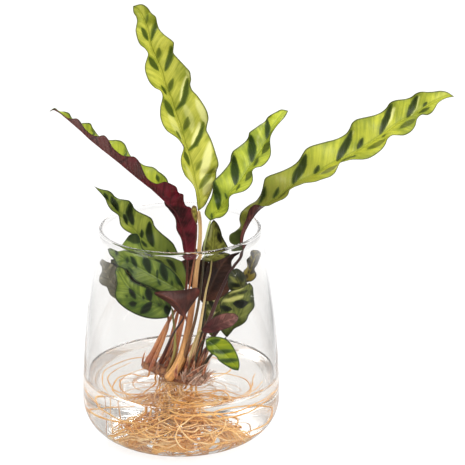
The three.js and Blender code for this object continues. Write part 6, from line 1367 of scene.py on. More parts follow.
def blade(name, rows, mats, thick=0.5, per_mm=1.0, cols=44, rib=0.55, marks=None, sheen_marks=None, upper_front=True, quilt=0.10, curl=1.7, replaces=None, ragged=0.0):
    """closed thin blade; material 0 on its upper face, 1 on its underside"""
    rows = np.asarray(rows, float)
    length = lengths(rows[:, :3])[-1]
    fine = max(2, int(round(length / per_mm / (len(rows) - 1))))
    G, t = leaf_grid(rows, fine, cols, curl)
    n, m = G.shape[:2]
    X, Y, edge = flatten(G, t)
    if marks is None:
        half = lambda s: float(np.abs(Y[min(n - 1, max(0, int(s * (n - 1))))]).max())
        marks = regular(X[-1, 0], half, len(name) * 7 + n)
    spot, deep = field(X, Y, marks)
    # strength of the painted highlight streaks, kept as the third value of 'mark'
    pale = np.zeros_like(X)
    if sheen_marks:
        d, k = field(X, Y, sheen_marks)
        pale = k * np.clip(0.5 - d / 2.4, 0, 1)
    N = normals(G)
    towards = np.array([0.0, -1.0, 0.33])
    facing = float((N[2:-2, 2:-2] @ towards).mean())
    up = 1.0 if (facing > 0) == upper_front else -1.0     # N * up points out of the upper face
    vein = X - 1.02 * np.abs(Y) + 0.010 * Y ** 2
    fade = np.clip(edge / 5.0, 0, 1) * np.clip(np.abs(Y) / 2.5, 0, 1)
    swell = quilt * np.sin(vein * 2 * np.pi / 5.6) * fade
    if ragged:
        G = G + N * (ragged * np.sin(X * 2.1 + Y * 1.3) * np.sin(X * 0.9))[..., None]
    taper = 0.34 + 0.66 * np.clip(edge / 3.0, 0, 1) ** 0.6
    ridge = rib * np.exp(-(Y / 1.15) ** 2) * np.clip(1.15 - X / X[-1, 0], 0.12, 1) ** 0.8
    groove = -0.22 * np.exp(-(Y / 0.8) ** 2)
    up_off = 0.5 * thick * taper + swell + groove
    dn_off = 0.5 * thick * taper - swell + ridge
    T = G + N * (up * up_off)[..., None]
    U = G - N * (up * dn_off)[..., None]
    mid = m // 2
    verts, at = [], []
    it = np.empty((n, m), int)
    iu = np.empty((n, m), int)
    for S, I in ((T, it), (U, iu)):
        for i in range(n):
            if i in (0, n - 1):
                I[i, :] = len(verts)
                verts.append(S[i, mid])
                at.append((i, mid))
            else:
                I[i, :] = np.arange(len(verts), len(verts) + m)
                verts += list(S[i])
                at += [(i, j) for j in range(m)]
    verts = np.array(verts)
    ii = np.array(at)
    pick = lambda F: F[ii[:, 0], ii[:, 1]]
    flip = up > 0
    top = grid_faces(it if not flip else it[:, ::-1])
    low = grid_faces(iu[:, ::-1] if not flip else iu)
    rims = []
    for j, rev in ((0, False), (m - 1, True)):
        strip = np.stack([it[:, j], iu[:, j]], 1)
        rims += grid_faces(strip[:, ::-1] if rev != flip else strip)
    faces = top + low + rims
    face_mats = [0] * len(top) + [1] * len(low) + [0] * len(rims)
    sharp = np.zeros(len(verts), bool)
    sharp[np.concatenate([it[:, 0], it[:, -1], iu[:, 0], iu[:, -1]])] = True
    place = np.stack([pick(X), pick(Y), pick(edge)], 1)
    mark = np.stack([pick(spot), pick(deep), pick(pale)], 1)
    return make(name, verts, faces, mats, [replaces or name[:-6]], {'place': place, 'mark': mark, 'share': place[:, 0] / X[-1, 0]}, face_mats, sharp)


# the cream colour given to each material is its painted highlight tint
UP_TALL = leaf_upper('leaf_upper_tall', lin(192, 190, 76), lin(132, 140, 40), lin(64, 78, 18), lin(106, 118, 34), lin(92, 96, 44))
UP_FRESH = leaf_upper('leaf_upper_fresh', lin(188, 196, 64), lin(130, 144, 42), lin(42, 60, 16), lin(82, 100, 30), lin(72, 80, 38))
UP_LONG = leaf_upper('leaf_upper_long', lin(188, 190, 60), lin(134, 144, 44), lin(46, 58, 16), lin(84, 96, 30), lin(78, 84, 40), foot=lin(116, 114, 46), reach=0.50)
UP_LEFT = leaf_upper('leaf_upper_left', lin(166, 174, 66), lin(108, 122, 42), lin(32, 42, 12), lin(60, 76, 28), lin(40, 50, 22), foot=lin(84, 100, 36), reach=0.66)
UP_INNER = leaf_upper('leaf_upper_inner', lin(132, 148, 62), lin(80, 100, 42), lin(28, 40, 20), lin(52, 70, 36), lin(36, 48, 28))
UP_LOW = leaf_upper('leaf_upper_low', lin(126, 142, 48), lin(64, 84, 28), lin(12, 20, 4), lin(34, 48, 14), lin(30, 38, 18))
UP_DARK = leaf_upper('leaf_upper_dark', lin(96, 98, 36), lin(34, 38, 12), lin(12, 14, 6), lin(26, 32, 12), lin(40, 42, 26), painted_sheen=lin(150, 152, 72))
UP_LOWER = leaf_upper('leaf_upper_lower', lin(126, 132, 60), lin(60, 68, 26), lin(10, 12, 4), lin(30, 36, 14), lin(46, 50, 30), painted_sheen=lin(196, 194, 112))
UP_DUSK = leaf_upper('leaf_upper_dusk', lin(148, 152, 70), lin(56, 58, 22), lin(14, 14, 6), lin(30, 32, 12), lin(50, 52, 30))
UP_OLIVE = leaf_upper('leaf_upper_olive', lin(206, 194, 30), lin(128, 114, 8), lin(48, 40, 8), lin(76, 64, 14), lin(50, 42, 12), foot=lin(132, 114, 34), reach=0.5)
UP_RIM = leaf_upper('leaf_upper_rim', lin(150, 150, 62), lin(82, 84, 32), lin(24, 22, 10), lin(56, 56, 22), lin(26, 24, 16), painted_sheen=lin(168, 166, 110))
UP_SHADE = leaf_upper('leaf_upper_shade', lin(140, 146, 66), lin(58, 64, 26), lin(26, 30, 14), lin(50, 56, 24), lin(90, 92, 60), painted_sheen=lin(244, 240, 160))
UP_YOUNG = leaf_upper('leaf_upper_young', lin(214, 206, 104), lin(150, 140, 64), lin(90, 80, 34), lin(120, 110, 50), lin(104, 76, 44))
UP_STRIPE = leaf_upper('leaf_upper_striped', lin(170, 176, 26), lin(116, 132, 14), lin(44, 62, 10), lin(80, 100, 22), lin(46, 66, 24))
UNDER = leaf_under('leaf_under_plum', lin(106, 50, 58), lin(68, 26, 36), lin(146, 88, 94), lin(56, 24, 30))
# its dark patches are partly the leaf's own mottling and partly painted shade in the creases
UNDER_DEEP = leaf_under('leaf_under_deep', lin(104, 20, 34), lin(42, 8, 10), lin(128, 56, 60), lin(34, 10, 10), far=lin(106, 60, 54), rib=0.3)
UNDER_DUSK = leaf_under('leaf_under_dusk', lin(90, 52, 36), lin(34, 14, 6), lin(112, 84, 66), lin(24, 12, 8), rib=0.2)
UNDER_BROWN = leaf_under('leaf_under_brown', lin(96, 42, 32), lin(50, 22, 16), lin(122, 72, 58), lin(30, 16, 12), rib=0.2)
UNDER_PINK = leaf_under('leaf_under_pink', lin(84, 28, 30), lin(46, 16, 14), lin(112, 62, 56), lin(44, 22, 18), far=lin(138, 90, 80), rib=0.06)
UNDER_GREY = leaf_under('leaf_under_grey', lin(84, 80, 40), lin(48, 44, 18), lin(114, 108, 74), lin(50, 46, 28), far=lin(150, 142, 112), rib=0.06)

LEAF_LOOK = {
    'leaf_tall': (UP_TALL, UNDER, 'leaf_green', True),
    'leaf_short_right': (UP_FRESH, UNDER, 'leaf_green', True),
    'leaf_long_right': (UP_LONG, UNDER_BROWN, 'leaf_green', True),
    'leaf_long_left': (UP_FRESH, UNDER_DEEP, 'leaf_maroon', False),
    'leaf_left': (UP_LEFT, UNDER, 'leaf_dark', True),
    'leaf_inner_left': (UP_INNER, UNDER, 'leaf_dark', True),
    'leaf_low_left': (UP_LOW, UNDER, 'leaf_dark', True),
    'leaf_grey_left': (UP_DARK, UNDER_GREY, 'leaf_maroon', False),
    'leaf_folded': (UP_DARK, UNDER_BROWN, 'leaf_maroon', False),
    'leaf_maroon_right': (UP_DARK, UNDER_DUSK, 'leaf_maroon', False),
    'leaf_olive_right': (UP_OLIVE, UNDER_BROWN, 'leaf_dark', True),
    'leaf_dark_upper': (UP_DARK, UNDER, 'leaf_dark', True),
    'leaf_dark_lower': (UP_LOWER, UNDER, 'leaf_dark', True),
    'leaf_pink': (UP_DARK, UNDER_PINK, 'leaf_maroon', False),
    'leaf_small_striped': (UP_STRIPE, UNDER, 'leaf_green', True),
    'leaf_rim_back': (UP_RIM, UNDER_BROWN, 'leaf_dark', True),
    'leaf_young': (UP_YOUNG, UNDER_BROWN, 'leaf_dark', True),
    'leaf_back_centre': (UP_DUSK, UNDER_DUSK, 'leaf_maroon', False),
    'leaf_back_lower': (UP_SHADE, UNDER_DUSK, 'leaf_dark', True),
    'leaf_back_left': (UP_DUSK, UNDER_BROWN, 'leaf_dark', True),
}
BIG = ('leaf_tall', 'leaf_short_right', 'leaf_long_right', 'leaf_long_left')
for name, (up_mat, low_mat, slot, front) in LEAF_LOOK.items():
    big = name in BIG
    blade(name + '_blade', LEAF[name], [up_mat, low_mat], per_mm=0.85 if big else 0.8, cols=52 if big else 40,
          marks=SPOT.get(name), sheen_marks=PAINTED_SHEEN.get(name), upper_front=front)

FIBRE = scale_material('dry_scale_fibre', lin(214, 150, 112), lin(158, 92, 66), lin(78, 42, 30), lin(246, 212, 184))
RUST = scale_material('dry_scale_rust', lin(214, 140, 98), lin(176, 98, 64), lin(124, 64, 42), lin(236, 184, 142))
for name, rows in SCALES.items():
    k = 0.5 if name in ('dry_scale_front', 'dry_scale_right') else 0.55
    thin = 0.35 if name == 'dry_scale_left' else k
    rows = [r[:3] + tuple(r[c % 3] + thin * (r[c] - r[c % 3]) for c in range(3, 9)) for r in rows]
    husk = FIBRE if k < 0.52 else RUST
    blade(name + '_fibre', rows, [husk, husk], thick=0.45, per_mm=0.4, cols=14, rib=0.1, marks=[([(900, 900), (901, 901)], 1, 1)], quilt=0.0, ragged=0.35, replaces=name)


# ---------------------------------------------------------------- rhizome and stems
axis = catmull(RHIZOME_AXIS, 14)
radius = catmull([(r, 0, 0) for r in RHIZOME_RADIUS], 14)[:, 0]
sides = 48
L = lengths(axis)
ang = 2 * np.pi * np.arange(sides) / sides
bumps = np.zeros((len(axis), sides))
for k in range(46):
    a0, l0 = rng.random() * 2 * np.pi, rng.random() * L[-1]
    size = 1.2 + 2.4 * rng.random()
    da = np.angle(np.exp(1j * (ang - a0)))[None, :] * 6.0
    bumps += (0.25 + 0.55 * rng.random()) * np.exp(-(((L[:, None] - l0) / size) ** 2 + (da / size) ** 2))
scars = 0.32 * np.cos(L * 2 * np.pi / 4.3)[:, None] ** 3
v, f, along, share, around = tube(axis, np.maximum(radius[:, None] * 0.97 + bumps * 0.8 - 0.3 + scars * 0.7, 0.6), sides)
make('rhizome_skin', v, f, [rhizome_material()], ['rhizome'], {'place': np.stack([share, around, along], 1)})

SHOOT = stem_material('stem_shoot', lin(226, 196, 132), lin(212, 148, 98), lin(250, 190, 118), lin(150, 84, 48), low=0.58, high=0.86)
ORANGE = stem_material('stem_orange', lin(112, 58, 42), lin(244, 172, 116), lin(196, 126, 98), lin(134, 68, 42))
BROWN = stem_material('stem_brown', lin(74, 32, 28), lin(214, 138, 92), lin(200, 122, 82), lin(118, 62, 42))
GREEN = stem_material('stem_olive_green', lin(122, 126, 70), lin(176, 168, 96), lin(186, 144, 88), lin(104, 84, 46))
PURPLE = stem_material('stem_purple', lin(72, 42, 40), lin(84, 48, 42), lin(140, 76, 52), lin(40, 24, 22))
DARK = stem_material('stem_dark', lin(66, 62, 34), lin(66, 56, 34), lin(156, 110, 76), lin(30, 22, 14))
FRESH = stem_material('stem_fresh', lin(190, 200, 122), lin(64, 56, 34), lin(156, 110, 76), lin(44, 38, 22), low=0.26)
STRAW = stem_material('stem_straw', lin(176, 164, 98), lin(238, 208, 150), lin(240, 198, 146), lin(164, 122, 78))
STEM_LOOK = {
    'stem_tall': (SHOOT, 'stem'), 'stem_short_right': (FRESH, 'stem_green'), 'stem_long_right': (PURPLE, 'stem'), 'stem_long_left': (BROWN, 'stem'),
    'stem_left': (BROWN, 'stem'), 'stem_inner_left': (ORANGE, 'stem'), 'stem_low_left': (GREEN, 'stem_green'), 'stem_grey_left': (ORANGE, 'stem'),
    'stem_folded': (PURPLE, 'stem'), 'stem_maroon_right': (DARK, 'stem'), 'stem_olive_right': (DARK, 'stem'), 'stem_dark_upper': (PURPLE, 'stem'),
    'stem_dark_lower': (DARK, 'stem'), 'stem_pink': (STRAW, 'stem'), 'stem_small_striped': (DARK, 'stem_green'), 'stem_rim_back': (STRAW, 'stem_green'),
    'stem_young': (BROWN, 'stem_green'), 'stem_back_centre': (BROWN, 'stem'), 'stem_back_lower': (DARK, 'stem'), 'stem_back_left': (BROWN, 'stem'),
}
for k, (name, (r_top, r_foot, points)) in enumerate(STEM.items()):
    if name == 'stem_tall':                     # its foot bows forward out of the crown
        points = list(points[:-4]) + [(4.3, -21.3, 88.5), (1.2, -23.3, 77.5), (-3.6, -24.8, 67.5), (-10.5, -24.3, 57.5)]
    if name == 'stem_rim_back':                 # runs on into the midrib
        first, second = np.array(points[0], float), np.array(points[1], float)
        points = [tuple(first + (first - second) / np.linalg.norm(first - second) * 5.0)] + list(points)
    path = centripetal(points, 60)
    t = np.linspace(0, 1, 60)
    r = r_top + (r_foot - r_top) * t ** 1.3
    if name == 'stem_rim_back':
        r = r * (0.55 + 0.45 * np.clip(t / 0.8, 0, 1))
    r = r * (0.68 + 0.32 * np.clip(t / 0.6, 0, 1))
    r = r * (1 + 0.22 * np.exp(-((t - 0.035) / 0.03) ** 2))                  # swollen joint under the blade
    r = r * (1 + 0.10 * np.exp(-((t - 0.84) / 0.09) ** 2))                   # sheath
    if name == 'stem_tall':
        r = r * (1 + 0.24 * np.clip((t - 0.55) / 0.35, 0, 1) ** 1.5)
    if name == 'stem_inner_left':                # the rounded end of the crown
        r = r * (1 + 0.55 * np.exp(-((t - 0.90) / 0.055) ** 2))
    ang = 2 * np.pi * np.arange(18) / 18
    a0 = 1.3 * k
    groove = 1 - 0.16 * np.exp(-(np.angle(np.exp(1j * (ang - a0))) / 0.45) ** 2) + 0.03 * np.cos(5 * ang + k)
    v, f, along, share, around = tube(path, r[:, None] * groove[None, :], 18)
    look, slot = STEM_LOOK[name]
    make(name + '_stalk', v, f, [look], [name], {'place': np.stack([share, around, along], 1)})


# ---------------------------------------------------------------- dry sheaths and spikes at the crown
def ribbon(path, side, widths, cup, thick=0.32, seed=0):
    """a thin closed strip along a path, cupped across; returns verts, faces, along, across, edge"""
    P = np.asarray(path, float)
    n = len(P)
    T = np.gradient(P, axis=0)
    T /= np.linalg.norm(T, axis=1, keepdims=True)
    S = np.asarray(side, float) - T * (T @ np.asarray(side, float))[:, None]
    S /= np.linalg.norm(S, axis=1, keepdims=True)
    N = np.cross(S, T)
    u = np.linspace(-1, 1, 7)
    L = lengths(P)
    r = np.random.default_rng(seed)
    jag = 1 + 0.16 * np.sin(L * 1.9 + 6 * r.random()) + 0.10 * np.sin(L * 4.3 + 6 * r.random())
    verts, along, across, edge = [], [], [], []
    for i in range(n):
        w = widths[i] * jag[i]
        for k, (uu, lift) in enumerate([(x, 1) for x in u] + [(x, -1) for x in u[-2:0:-1]]):
            verts.append(P[i] + S[i] * w * uu + N[i] * (cup * w * (1 - uu * uu) + lift * thick * 0.5 * (1 - abs(uu) ** 3)))
            along.append(L[i])
            across.append(w * uu)
            edge.append(min(w * (1 - abs(uu)), L[-1] - L[i]))
    m = 12
    idx = np.arange(n * m).reshape(n, m)
    faces = grid_faces(idx, wrap=True)
    verts += [P[0] - T[0] * 0.2, P[-1] + T[-1] * 0.6]
    along += [0, L[-1]]
    across += [0, 0]
    edge += [1, 0]
    for j in range(m):
        faces.append([n * m, int(idx[0, (j + 1) % m]), int(idx[0, j])])
        faces.append([n * m + 1, int(idx[-1, j]), int(idx[-1, (j + 1) % m])])
    return np.array(verts), faces, np.array(along), np.array(across), np.array(edge)


SHEATH = scale_material('sheath_fibre', lin(216, 132, 82), lin(158, 76, 44), lin(84, 38, 26), lin(244, 196, 156))
sheaths = Heap()
for k, (name, (r_top, r_foot, points)) in enumerate(STEM.items()):
    if name == 'stem_tall':
        continue
    path = centripetal(points, 90)
    total = lengths(path)[-1]
    for q in range(2):
        reach = min(0.42, (16 + 20 * rng.random()) / total)
        t = np.linspace(0.97, 0.97 - reach, 16)
        P = np.stack([np.interp(t, np.linspace(0, 1, 90), path[:, c]) for c in range(3)], 1)
        a = rng.random() * 2 * np.pi if q else -1.57 + rng.normal(0, 0.5)
        if -13 < path[-8][0] < 4 and path[-8][1] < -12:
            a = 1.2 + rng.normal(0, 0.5)
        if path[-8][0] < -19:
            continue
        out = np.array([math.cos(a), math.sin(a), 0.0])
        rad = r_top + (r_foot - r_top) * t ** 1.3
        s01 = np.linspace(0, 1, 16)
        P = P + out * (rad + 0.25 + 0.9 * s01 ** 3)[:, None]
        w = (rad + 1.0) * np.clip(1.02 - s01 ** 1.7, 0.08, 1)
        v, f, al, ac, ed = ribbon(P, np.cross(out, (0, 0, 1.0)), w, -0.42, seed=k * 7 + q)
        sheaths.add(v, f, al, ac, ed)
v, f, a = sheaths.data()
make('crown_sheaths', v, f, [SHEATH], (), {'place': a})

SPIKE = scale_material('spike_fibre', lin(220, 160, 126), lin(134, 72, 52), lin(56, 28, 20), lin(252, 224, 202))
spikes = Heap()
for k in range(66):
    if k < 46:                                   # the bristling clump at the right front
        base = np.array([6 + 15 * rng.random(), -35.0 + 3.5 * rng.normal(), 56.5 + 3 * rng.random()])
        lean = np.array([0.25 + 0.75 * rng.random(), -0.15 + 0.25 * rng.normal(), 1.0])
        size = 9 + 13 * rng.random()
        wide = 0.42 + 0.55 * rng.random()
    elif k < 60:                                 # in front of the middle stalks
        base = np.array([1 + 9 * rng.random(), -31 + 1.5 * rng.normal(), 57.5 + 2 * rng.random()])
        lean = np.array([0.10 + 0.16 * rng.normal(), -0.22, 1.0])
        size = 9 + 13 * rng.random()
        wide = 0.5 + 0.8 * rng.random()
    else:                                        # between the left stalks
        base = np.array([-25 + 10 * rng.random(), -4 + 3 * rng.normal(), 57.5 + 2 * rng.random()])
        lean = np.array([0.3 + 0.1 * rng.normal(), -0.2, 1.0])
        size = 8 + 9 * rng.random()
        wide = 0.6 + 0.8 * rng.random()
    lean /= np.linalg.norm(lean)
    curl = np.array([0.25 * rng.normal(), 0.2 * rng.normal() - 0.1, -0.12])
    s01 = np.linspace(0, 1, 12)
    P = base + s01[:, None] * lean * size + (s01 ** 2)[:, None] * curl * size * 0.6
    w = wide * np.clip(np.sin(np.pi * (0.18 + 0.82 * s01)) ** 0.8, 0.05, 1)
    v, f, al, ac, ed = ribbon(P, (1.0, 0.3 * rng.normal(), -0.3), w, 0.35 * rng.choice((-1, 1)), seed=100 + k)
    spikes.add(v, f, al, ac, ed)
v, f, a = spikes.data()
make('crown_spikes', v, f, [SPIKE], (), {'place': a})


# ---------------------------------------------------------------- roots
def inner_limit(z):
    """radius of the vase's inside at height z"""
    z = np.asarray(z, float)
    low = inner_c[0] + np.sqrt(np.maximum(28.5 ** 2 - (inner_c[1] - z) ** 2, 0))
    return np.where(z < inner_c[1], low, 81.0)


def keep_inside(P, r, level=WATER_LEVEL - 1.0):
    P = P.copy()
    P[:, 2] = np.clip(P[:, 2], 5.4 + r, level)
    lim = inner_limit(P[:, 2]) - r - 0.8
    rho = np.hypot(P[:, 0], P[:, 1])
    k = np.minimum(1, lim / np.maximum(rho, 1e-6))
    P[:, :2] *= k[:, None]
    return P


ax_path = centripetal(RHIZOME_AXIS, 101)
main = Heap()
for k, (where, way, swing, reach, level) in enumerate(ROOTS):
    start = ax_path[int(round(where * 100))]
    z = 41 - 3.3 * level
    a = math.radians(way)
    dirn = np.array([math.cos(a), math.sin(a), 0])
    pts = [start, np.array([start[0], start[1], max(z + 3, 0.5 * (z + 50))])]
    pts.append(np.array([start[0], start[1], z + 2.6]) + 1.5 * dirn)
    corner = np.array([start[0], start[1], z]) + 8 * dirn
    pts.append(corner)
    reach = min(reach, float(inner_limit(z)) - 5)
    out = corner.copy()
    while math.hypot(out[0], out[1]) < 0.55 * reach or np.linalg.norm(out - corner) < 10:
        out = out + dirn
    pts += [corner + 0.55 * (out - corner), out]
    r0, a0 = math.hypot(out[0], out[1]), math.atan2(out[1], out[0])
    for i in range(1, 5):
        u = i / 4
        rr = r0 + (reach - r0) * (1 - (1 - u) ** 2)
        b = a0 + math.radians(swing) * u ** 1.5
        pts.append(np.array([rr * math.cos(b), rr * math.sin(b), z]))
    path = centripetal(pts, 110)
    s = np.linspace(0, 1, 110)
    wob = np.stack([np.sin(s * 31 + k), np.cos(s * 27 + 2 * k), 0.6 * np.sin(s * 23 + 3 * k)], 1) * 0.5
    path = path + wob * np.clip(s * 6, 0, 1)[:, None]
    r = 1.0 - 0.62 * s ** 1.2 + 0.10 * np.sin(s * 60 + k)
    path[20:] = keep_inside(path[20:], 1.0)
    v, f, along, share, _ = tube(path, r, 10)
    main.add(v, f, share, 0.12, along)
v, f, a = main.data()
ROOT = root_material('root_skin', lin(252, 206, 130), lin(238, 172, 90), lin(188, 122, 66))
make('roots_main', v, f, [ROOT], ['root_%d' % i for i in range(1, 11)], {'place': a})


def mound(x, y):
    """height of the heap of roots on the vase's floor"""
    return 8.0 + 32.0 * math.exp(-(((x + 1) / 54) ** 2 + ((y + 46) / 30) ** 2) ** 2)


CURLS = [(-38.0, -34.0), (-26.0, -44.0), (-14.0, -52.0), (0.0, -52.0), (14.0, -52.0), (28.0, -43.0), (-2.0, -44.0), (40.0, -33.0)]


def strand(kind):
    """one fine root from the crown down into the water"""
    where = 0.25 + 0.6 * rng.random()
    start = ax_path[int(where * 100)] + rng.normal(0, 1.2, 3)
    start[2] = 51.0 + rng.normal(0, 0.8)
    if kind == 'dome':
        # a slack loop just under the surface that comes back below the crown
        right = rng.random() < 0.62
        way = (-0.55 if right else math.pi + 0.55) + rng.normal(0, 0.3)
        size = 12 + 11 * rng.random() if right else 10 + 11 * rng.random()
        spin = rng.choice((-1.0, 1.0))
        centre = start[:2] + size * np.array([math.cos(way), math.sin(way)])
        sweep = 3.6 + 2.4 * rng.random()
        dip = 3 + 9 * rng.random()
        pts = [start]
        for i in range(1, 13):
            u = i / 12
            a = way + math.pi + spin * sweep * u
            rr = size * (1 + 0.12 * math.sin(3 * u + way))
            pts.append(np.array([centre[0] + rr * math.cos(a), centre[1] + rr * math.sin(a), start[2] - 1.0 - dip * u ** 1.5]))
        return np.array(pts)
    if kind == 'drop':
        # a thin one that hangs nearly straight down near the wall
        a = rng.choice((math.radians(205), math.radians(192), math.radians(214))) + rng.normal(0, 0.12)
        r = 52 + 12 * rng.random()
        edge_pt = np.array([r * math.cos(a), r * math.sin(a), 45.0])
        pts = [start, 0.5 * (start + edge_pt) + np.array([0, 0, 1.5]), edge_pt]
        for i in range(1, 6):
            u = i / 5
            pts.append(np.array([r * math.cos(a + 0.12 * u * u), r * math.sin(a + 0.12 * u * u), 45 - 36 * u]))
        for i in range(1, 6):
            b = a + 0.12 + 0.25 * i
            pts.append(np.array([(r - 3.5 * i) * math.cos(b), (r - 3.5 * i) * math.sin(b), 9 + rng.normal()]))
        return np.array(pts)
    # a bundle straight down from the crown, then curled up in the heap
    bundle = np.array([-8 + 6.5 * rng.normal(), -32 + 5.0 * rng.normal()])
    pts = [start, np.array([0.5 * (start[0] + bundle[0]), 0.5 * (start[1] + bundle[1]), 46.0]), np.array([bundle[0], bundle[1], 41.0 + 2 * rng.normal()])]
    x, y = bundle
    wide = kind == 'wide'
    depth = 0.15 + 0.85 * rng.random() ** 0.8 if wide else 0.22 + 0.78 * rng.random() ** 0.7
    cx, cy = (6.0, -28.0) if wide else CURLS[rng.integers(len(CURLS))]
    home = 30 + 20 * rng.random() if wide else 8 + 16 * rng.random()
    head = rng.normal(-0.4, 0.9) if wide else rng.random() * 2 * np.pi
    bend = rng.choice((-1, 1)) * abs(rng.normal(0.16 if wide else 0.36, 0.14))
    if not wide and rng.random() < 0.55:          # one that comes out from under the others
        turn = 2 * np.pi * rng.random()
        x, y = cx + 0.7 * home * math.cos(turn), cy + 0.7 * home * math.sin(turn)
        pts = [np.array([x, y, 6.0 + (mound(x, y) - 6.0) * depth - 4.0])]
    for i in range(1, 15 if wide else 24):
        head += bend + rng.normal(0, 0.14)
        rho = math.hypot(x - cx, y - cy)
        if rho > home:                            # turned back towards the middle of the heap
            to = math.atan2(y - cy, x - cx)
            tangent = to + math.copysign(math.pi / 2 + 0.35, bend)
            head += 0.75 * math.atan2(math.sin(tangent - head), math.cos(tangent - head))
        step = 7.0 + 4.0 * rng.random() if wide else 4.6 + 2.6 * rng.random()
        x += step * math.cos(head)
        y += step * math.sin(head)
        z = 6.0 + (mound(x, y) - 6.0) * depth + 0.8 * rng.normal()
        pts.append(np.array([x, y, z]))
    return np.array(pts)


def fine_roots(name, count, kinds, radius, seed_kind, material):
    heap = Heap()
    for k in range(count):
        kind = kinds[k % len(kinds)]
        path = centripetal(strand(kind), 60 if kind in ('dome', 'drop') else 110)
        s = np.linspace(0, 1, len(path))
        p = rng.random(6) * 6.28
        f = 14 + 16 * rng.random(3)
        path = path + np.stack([np.sin(s * f[0] + p[0]), np.sin(s * f[1] + p[1]), 0.7 * np.sin(s * f[2] + p[2])], 1) * (0.5 if kind in ('dome', 'drop') else 0.7) * np.clip(s * 5, 0, 1)[:, None]
        path = keep_inside(path, radius)
        r = radius * (0.7 + 0.7 * rng.random()) * (1.05 - 0.5 * s)
        v, fc, along, share, _ = tube(path, r, 6)
        heap.add(v, fc, share, seed_kind * rng.random(), along)
    v, f, a = heap.data()
    return make(name, v, f, [material], (), {'place': a})


ROOT_PALE = root_material('root_skin_pale', lin(254, 226, 172), lin(244, 190, 118), lin(196, 136, 80))
ROOT_DARK = root_material('root_skin_brown', lin(240, 204, 160), lin(220, 170, 120), lin(176, 124, 90))
fine_roots('roots_low_a', 28, ('low',), 0.74, 0.5, ROOT_PALE)
fine_roots('roots_low_b', 26, ('low',), 0.50, 0.6, ROOT)
fine_roots('roots_wide', 15, ('wide',), 0.48, 0.6, ROOT_DARK)
fine_roots('roots_dome', 15, ('dome',), 0.42, 0.6, ROOT_DARK)
fine_roots('roots_drop', 3, ('drop',), 0.40, 0.7, ROOT_DARK)

# swollen storage roots near the floor
tubers = Heap()
for k, (x, y, z, a, size, long_) in enumerate([(21, -48, 16, 0.7, 3.2, 7), (-14, -50, 13, 0.2, 2.6, 8), (-3, -48, 13.5, 2.8, 3.0, 8), (4, -36, 13, 1.1, 2.4, 8)]):
    s = np.linspace(-1, 1, 26)
    d = np.array([math.cos(a), math.sin(a), 0.12])
    path = np.array([x, y, z]) + s[:, None] * d * long_ + np.stack([0 * s, 0 * s, 1.2 * np.sin(3 * s + k)], 1)
    r = size * np.maximum(1 - np.abs(s) ** 2.4, 0.0) ** 0.8 + 0.5
    ang = 2 * np.pi * np.arange(20) / 20
    lump = 1 + 0.07 * np.sin(3 * ang + k)[None, :] * np.cos(4 * s)[:, None] + 0.05 * np.sin(9 * s + 2 * k)[:, None]
    path = keep_inside(path, size + 0.3)
    v, f, along, share, _ = tube(path, r[:, None] * lump, 20)
    tubers.add(v, f, share * 0.5, 0.08, along)
v, f, a = tubers.data()
make('roots_swollen', v, f, [ROOT], (), {'place': a})


# ---------------------------------------------------------------- stage, light, camera
def stage_plane():
    """white ground; it is dim for what mirrors it, as a dark card before the glass would make it"""
    n = Net('stage_white')
    fac = n.noise(n.place(), 0.8, 1.0)
    col = n.mix(fac, (0.93, 0.93, 0.93, 1), (0.95, 0.95, 0.95, 1))
    p = n.principled(Base_Color=col, Roughness=0.9, Specular_IOR_Level=0.1)
    glow = n.t.nodes.new('ShaderNodeEmission')
    glow.inputs['Color'].default_value = (1.0, 1.0, 1.0, 1.0)
    glow.inputs['Strength'].default_value = 1.04
    lit = n.t.nodes.new('ShaderNodeMixShader')
    lit.inputs[0].default_value = 0.66
    n.t.links.new(p.outputs[0], lit.inputs[1])
    n.t.links.new(glow.outputs[0], lit.inputs[2])
    dim = n.t.nodes.new('ShaderNodeEmission')
    dim.inputs['Color'].default_value = (0.02, 0.018, 0.016, 1.0)
    path = n.t.nodes.new('ShaderNodeLightPath')
    _, y, _ = n.xyz(n.place())
    x = n.xyz(n.place())[0]
    shade = n.math('MAXIMUM', n.step(y, -0.12, 0.14, 0.97, 0.0), n.math('MULTIPLY', n.math('ADD', n.step(x, 0.10, 0.30, 0.0, 0.88), n.step(x, -0.36, -0.12, 0.55, 0.0)), n.step(y, 0.25, 0.55, 1.0, 0.0)))
    near = n.math('MULTIPLY', n.math('GREATER_THAN', path.outputs['Glossy Depth'], 0.5), n.math('LESS_THAN', path.outputs['Transmission Depth'], 2.5))
    front = n.math('MULTIPLY', shade, near)
    mirrored = n.math('MULTIPLY', path.outputs['Is Glossy Ray'], n.math('SUBTRACT', 1.0, path.outputs['Is Transmission Ray']))
    mirrored = n.math('MULTIPLY', mirrored, shade)
    dark = n.math('MAXIMUM', mirrored, n.math('MULTIPLY', path.outputs['Is Transmission Ray'], front))
    m = n.t.nodes.new('ShaderNodeMixShader')
    n.put(m.inputs[0], dark)
    n.t.links.new(lit.outputs[0], m.inputs[1])
    n.t.links.new(dim.outputs[0], m.inputs[2])
    me = bpy.data.meshes.new('stage_floor')
    s, z = 6.0, -0.0003
    me.from_pydata([(-s, -s, z), (s, -s, z), (s, s, z), (-s, s, z)], [], [(0, 1, 2, 3)])
    me.materials.append(n.finish(m.outputs[0]))
    ob = bpy.data.objects.new('stage_floor', me)
    bpy.context.scene.collection.objects.link(ob)


stage_plane()

world = bpy.data.worlds.new('studio')
bpy.context.scene.world = world
world.use_nodes = True
wt = world.node_tree
wt.nodes.clear()


def w_math(op, a, b):
    n = wt.nodes.new('ShaderNodeMath')
    n.operation = op
    for k, x in enumerate((a, b)):
        if isinstance(x, bpy.types.NodeSocket):
            wt.links.new(x, n.inputs[k])
        else:
            n.inputs[k].default_value = x
    return n.outputs[0]


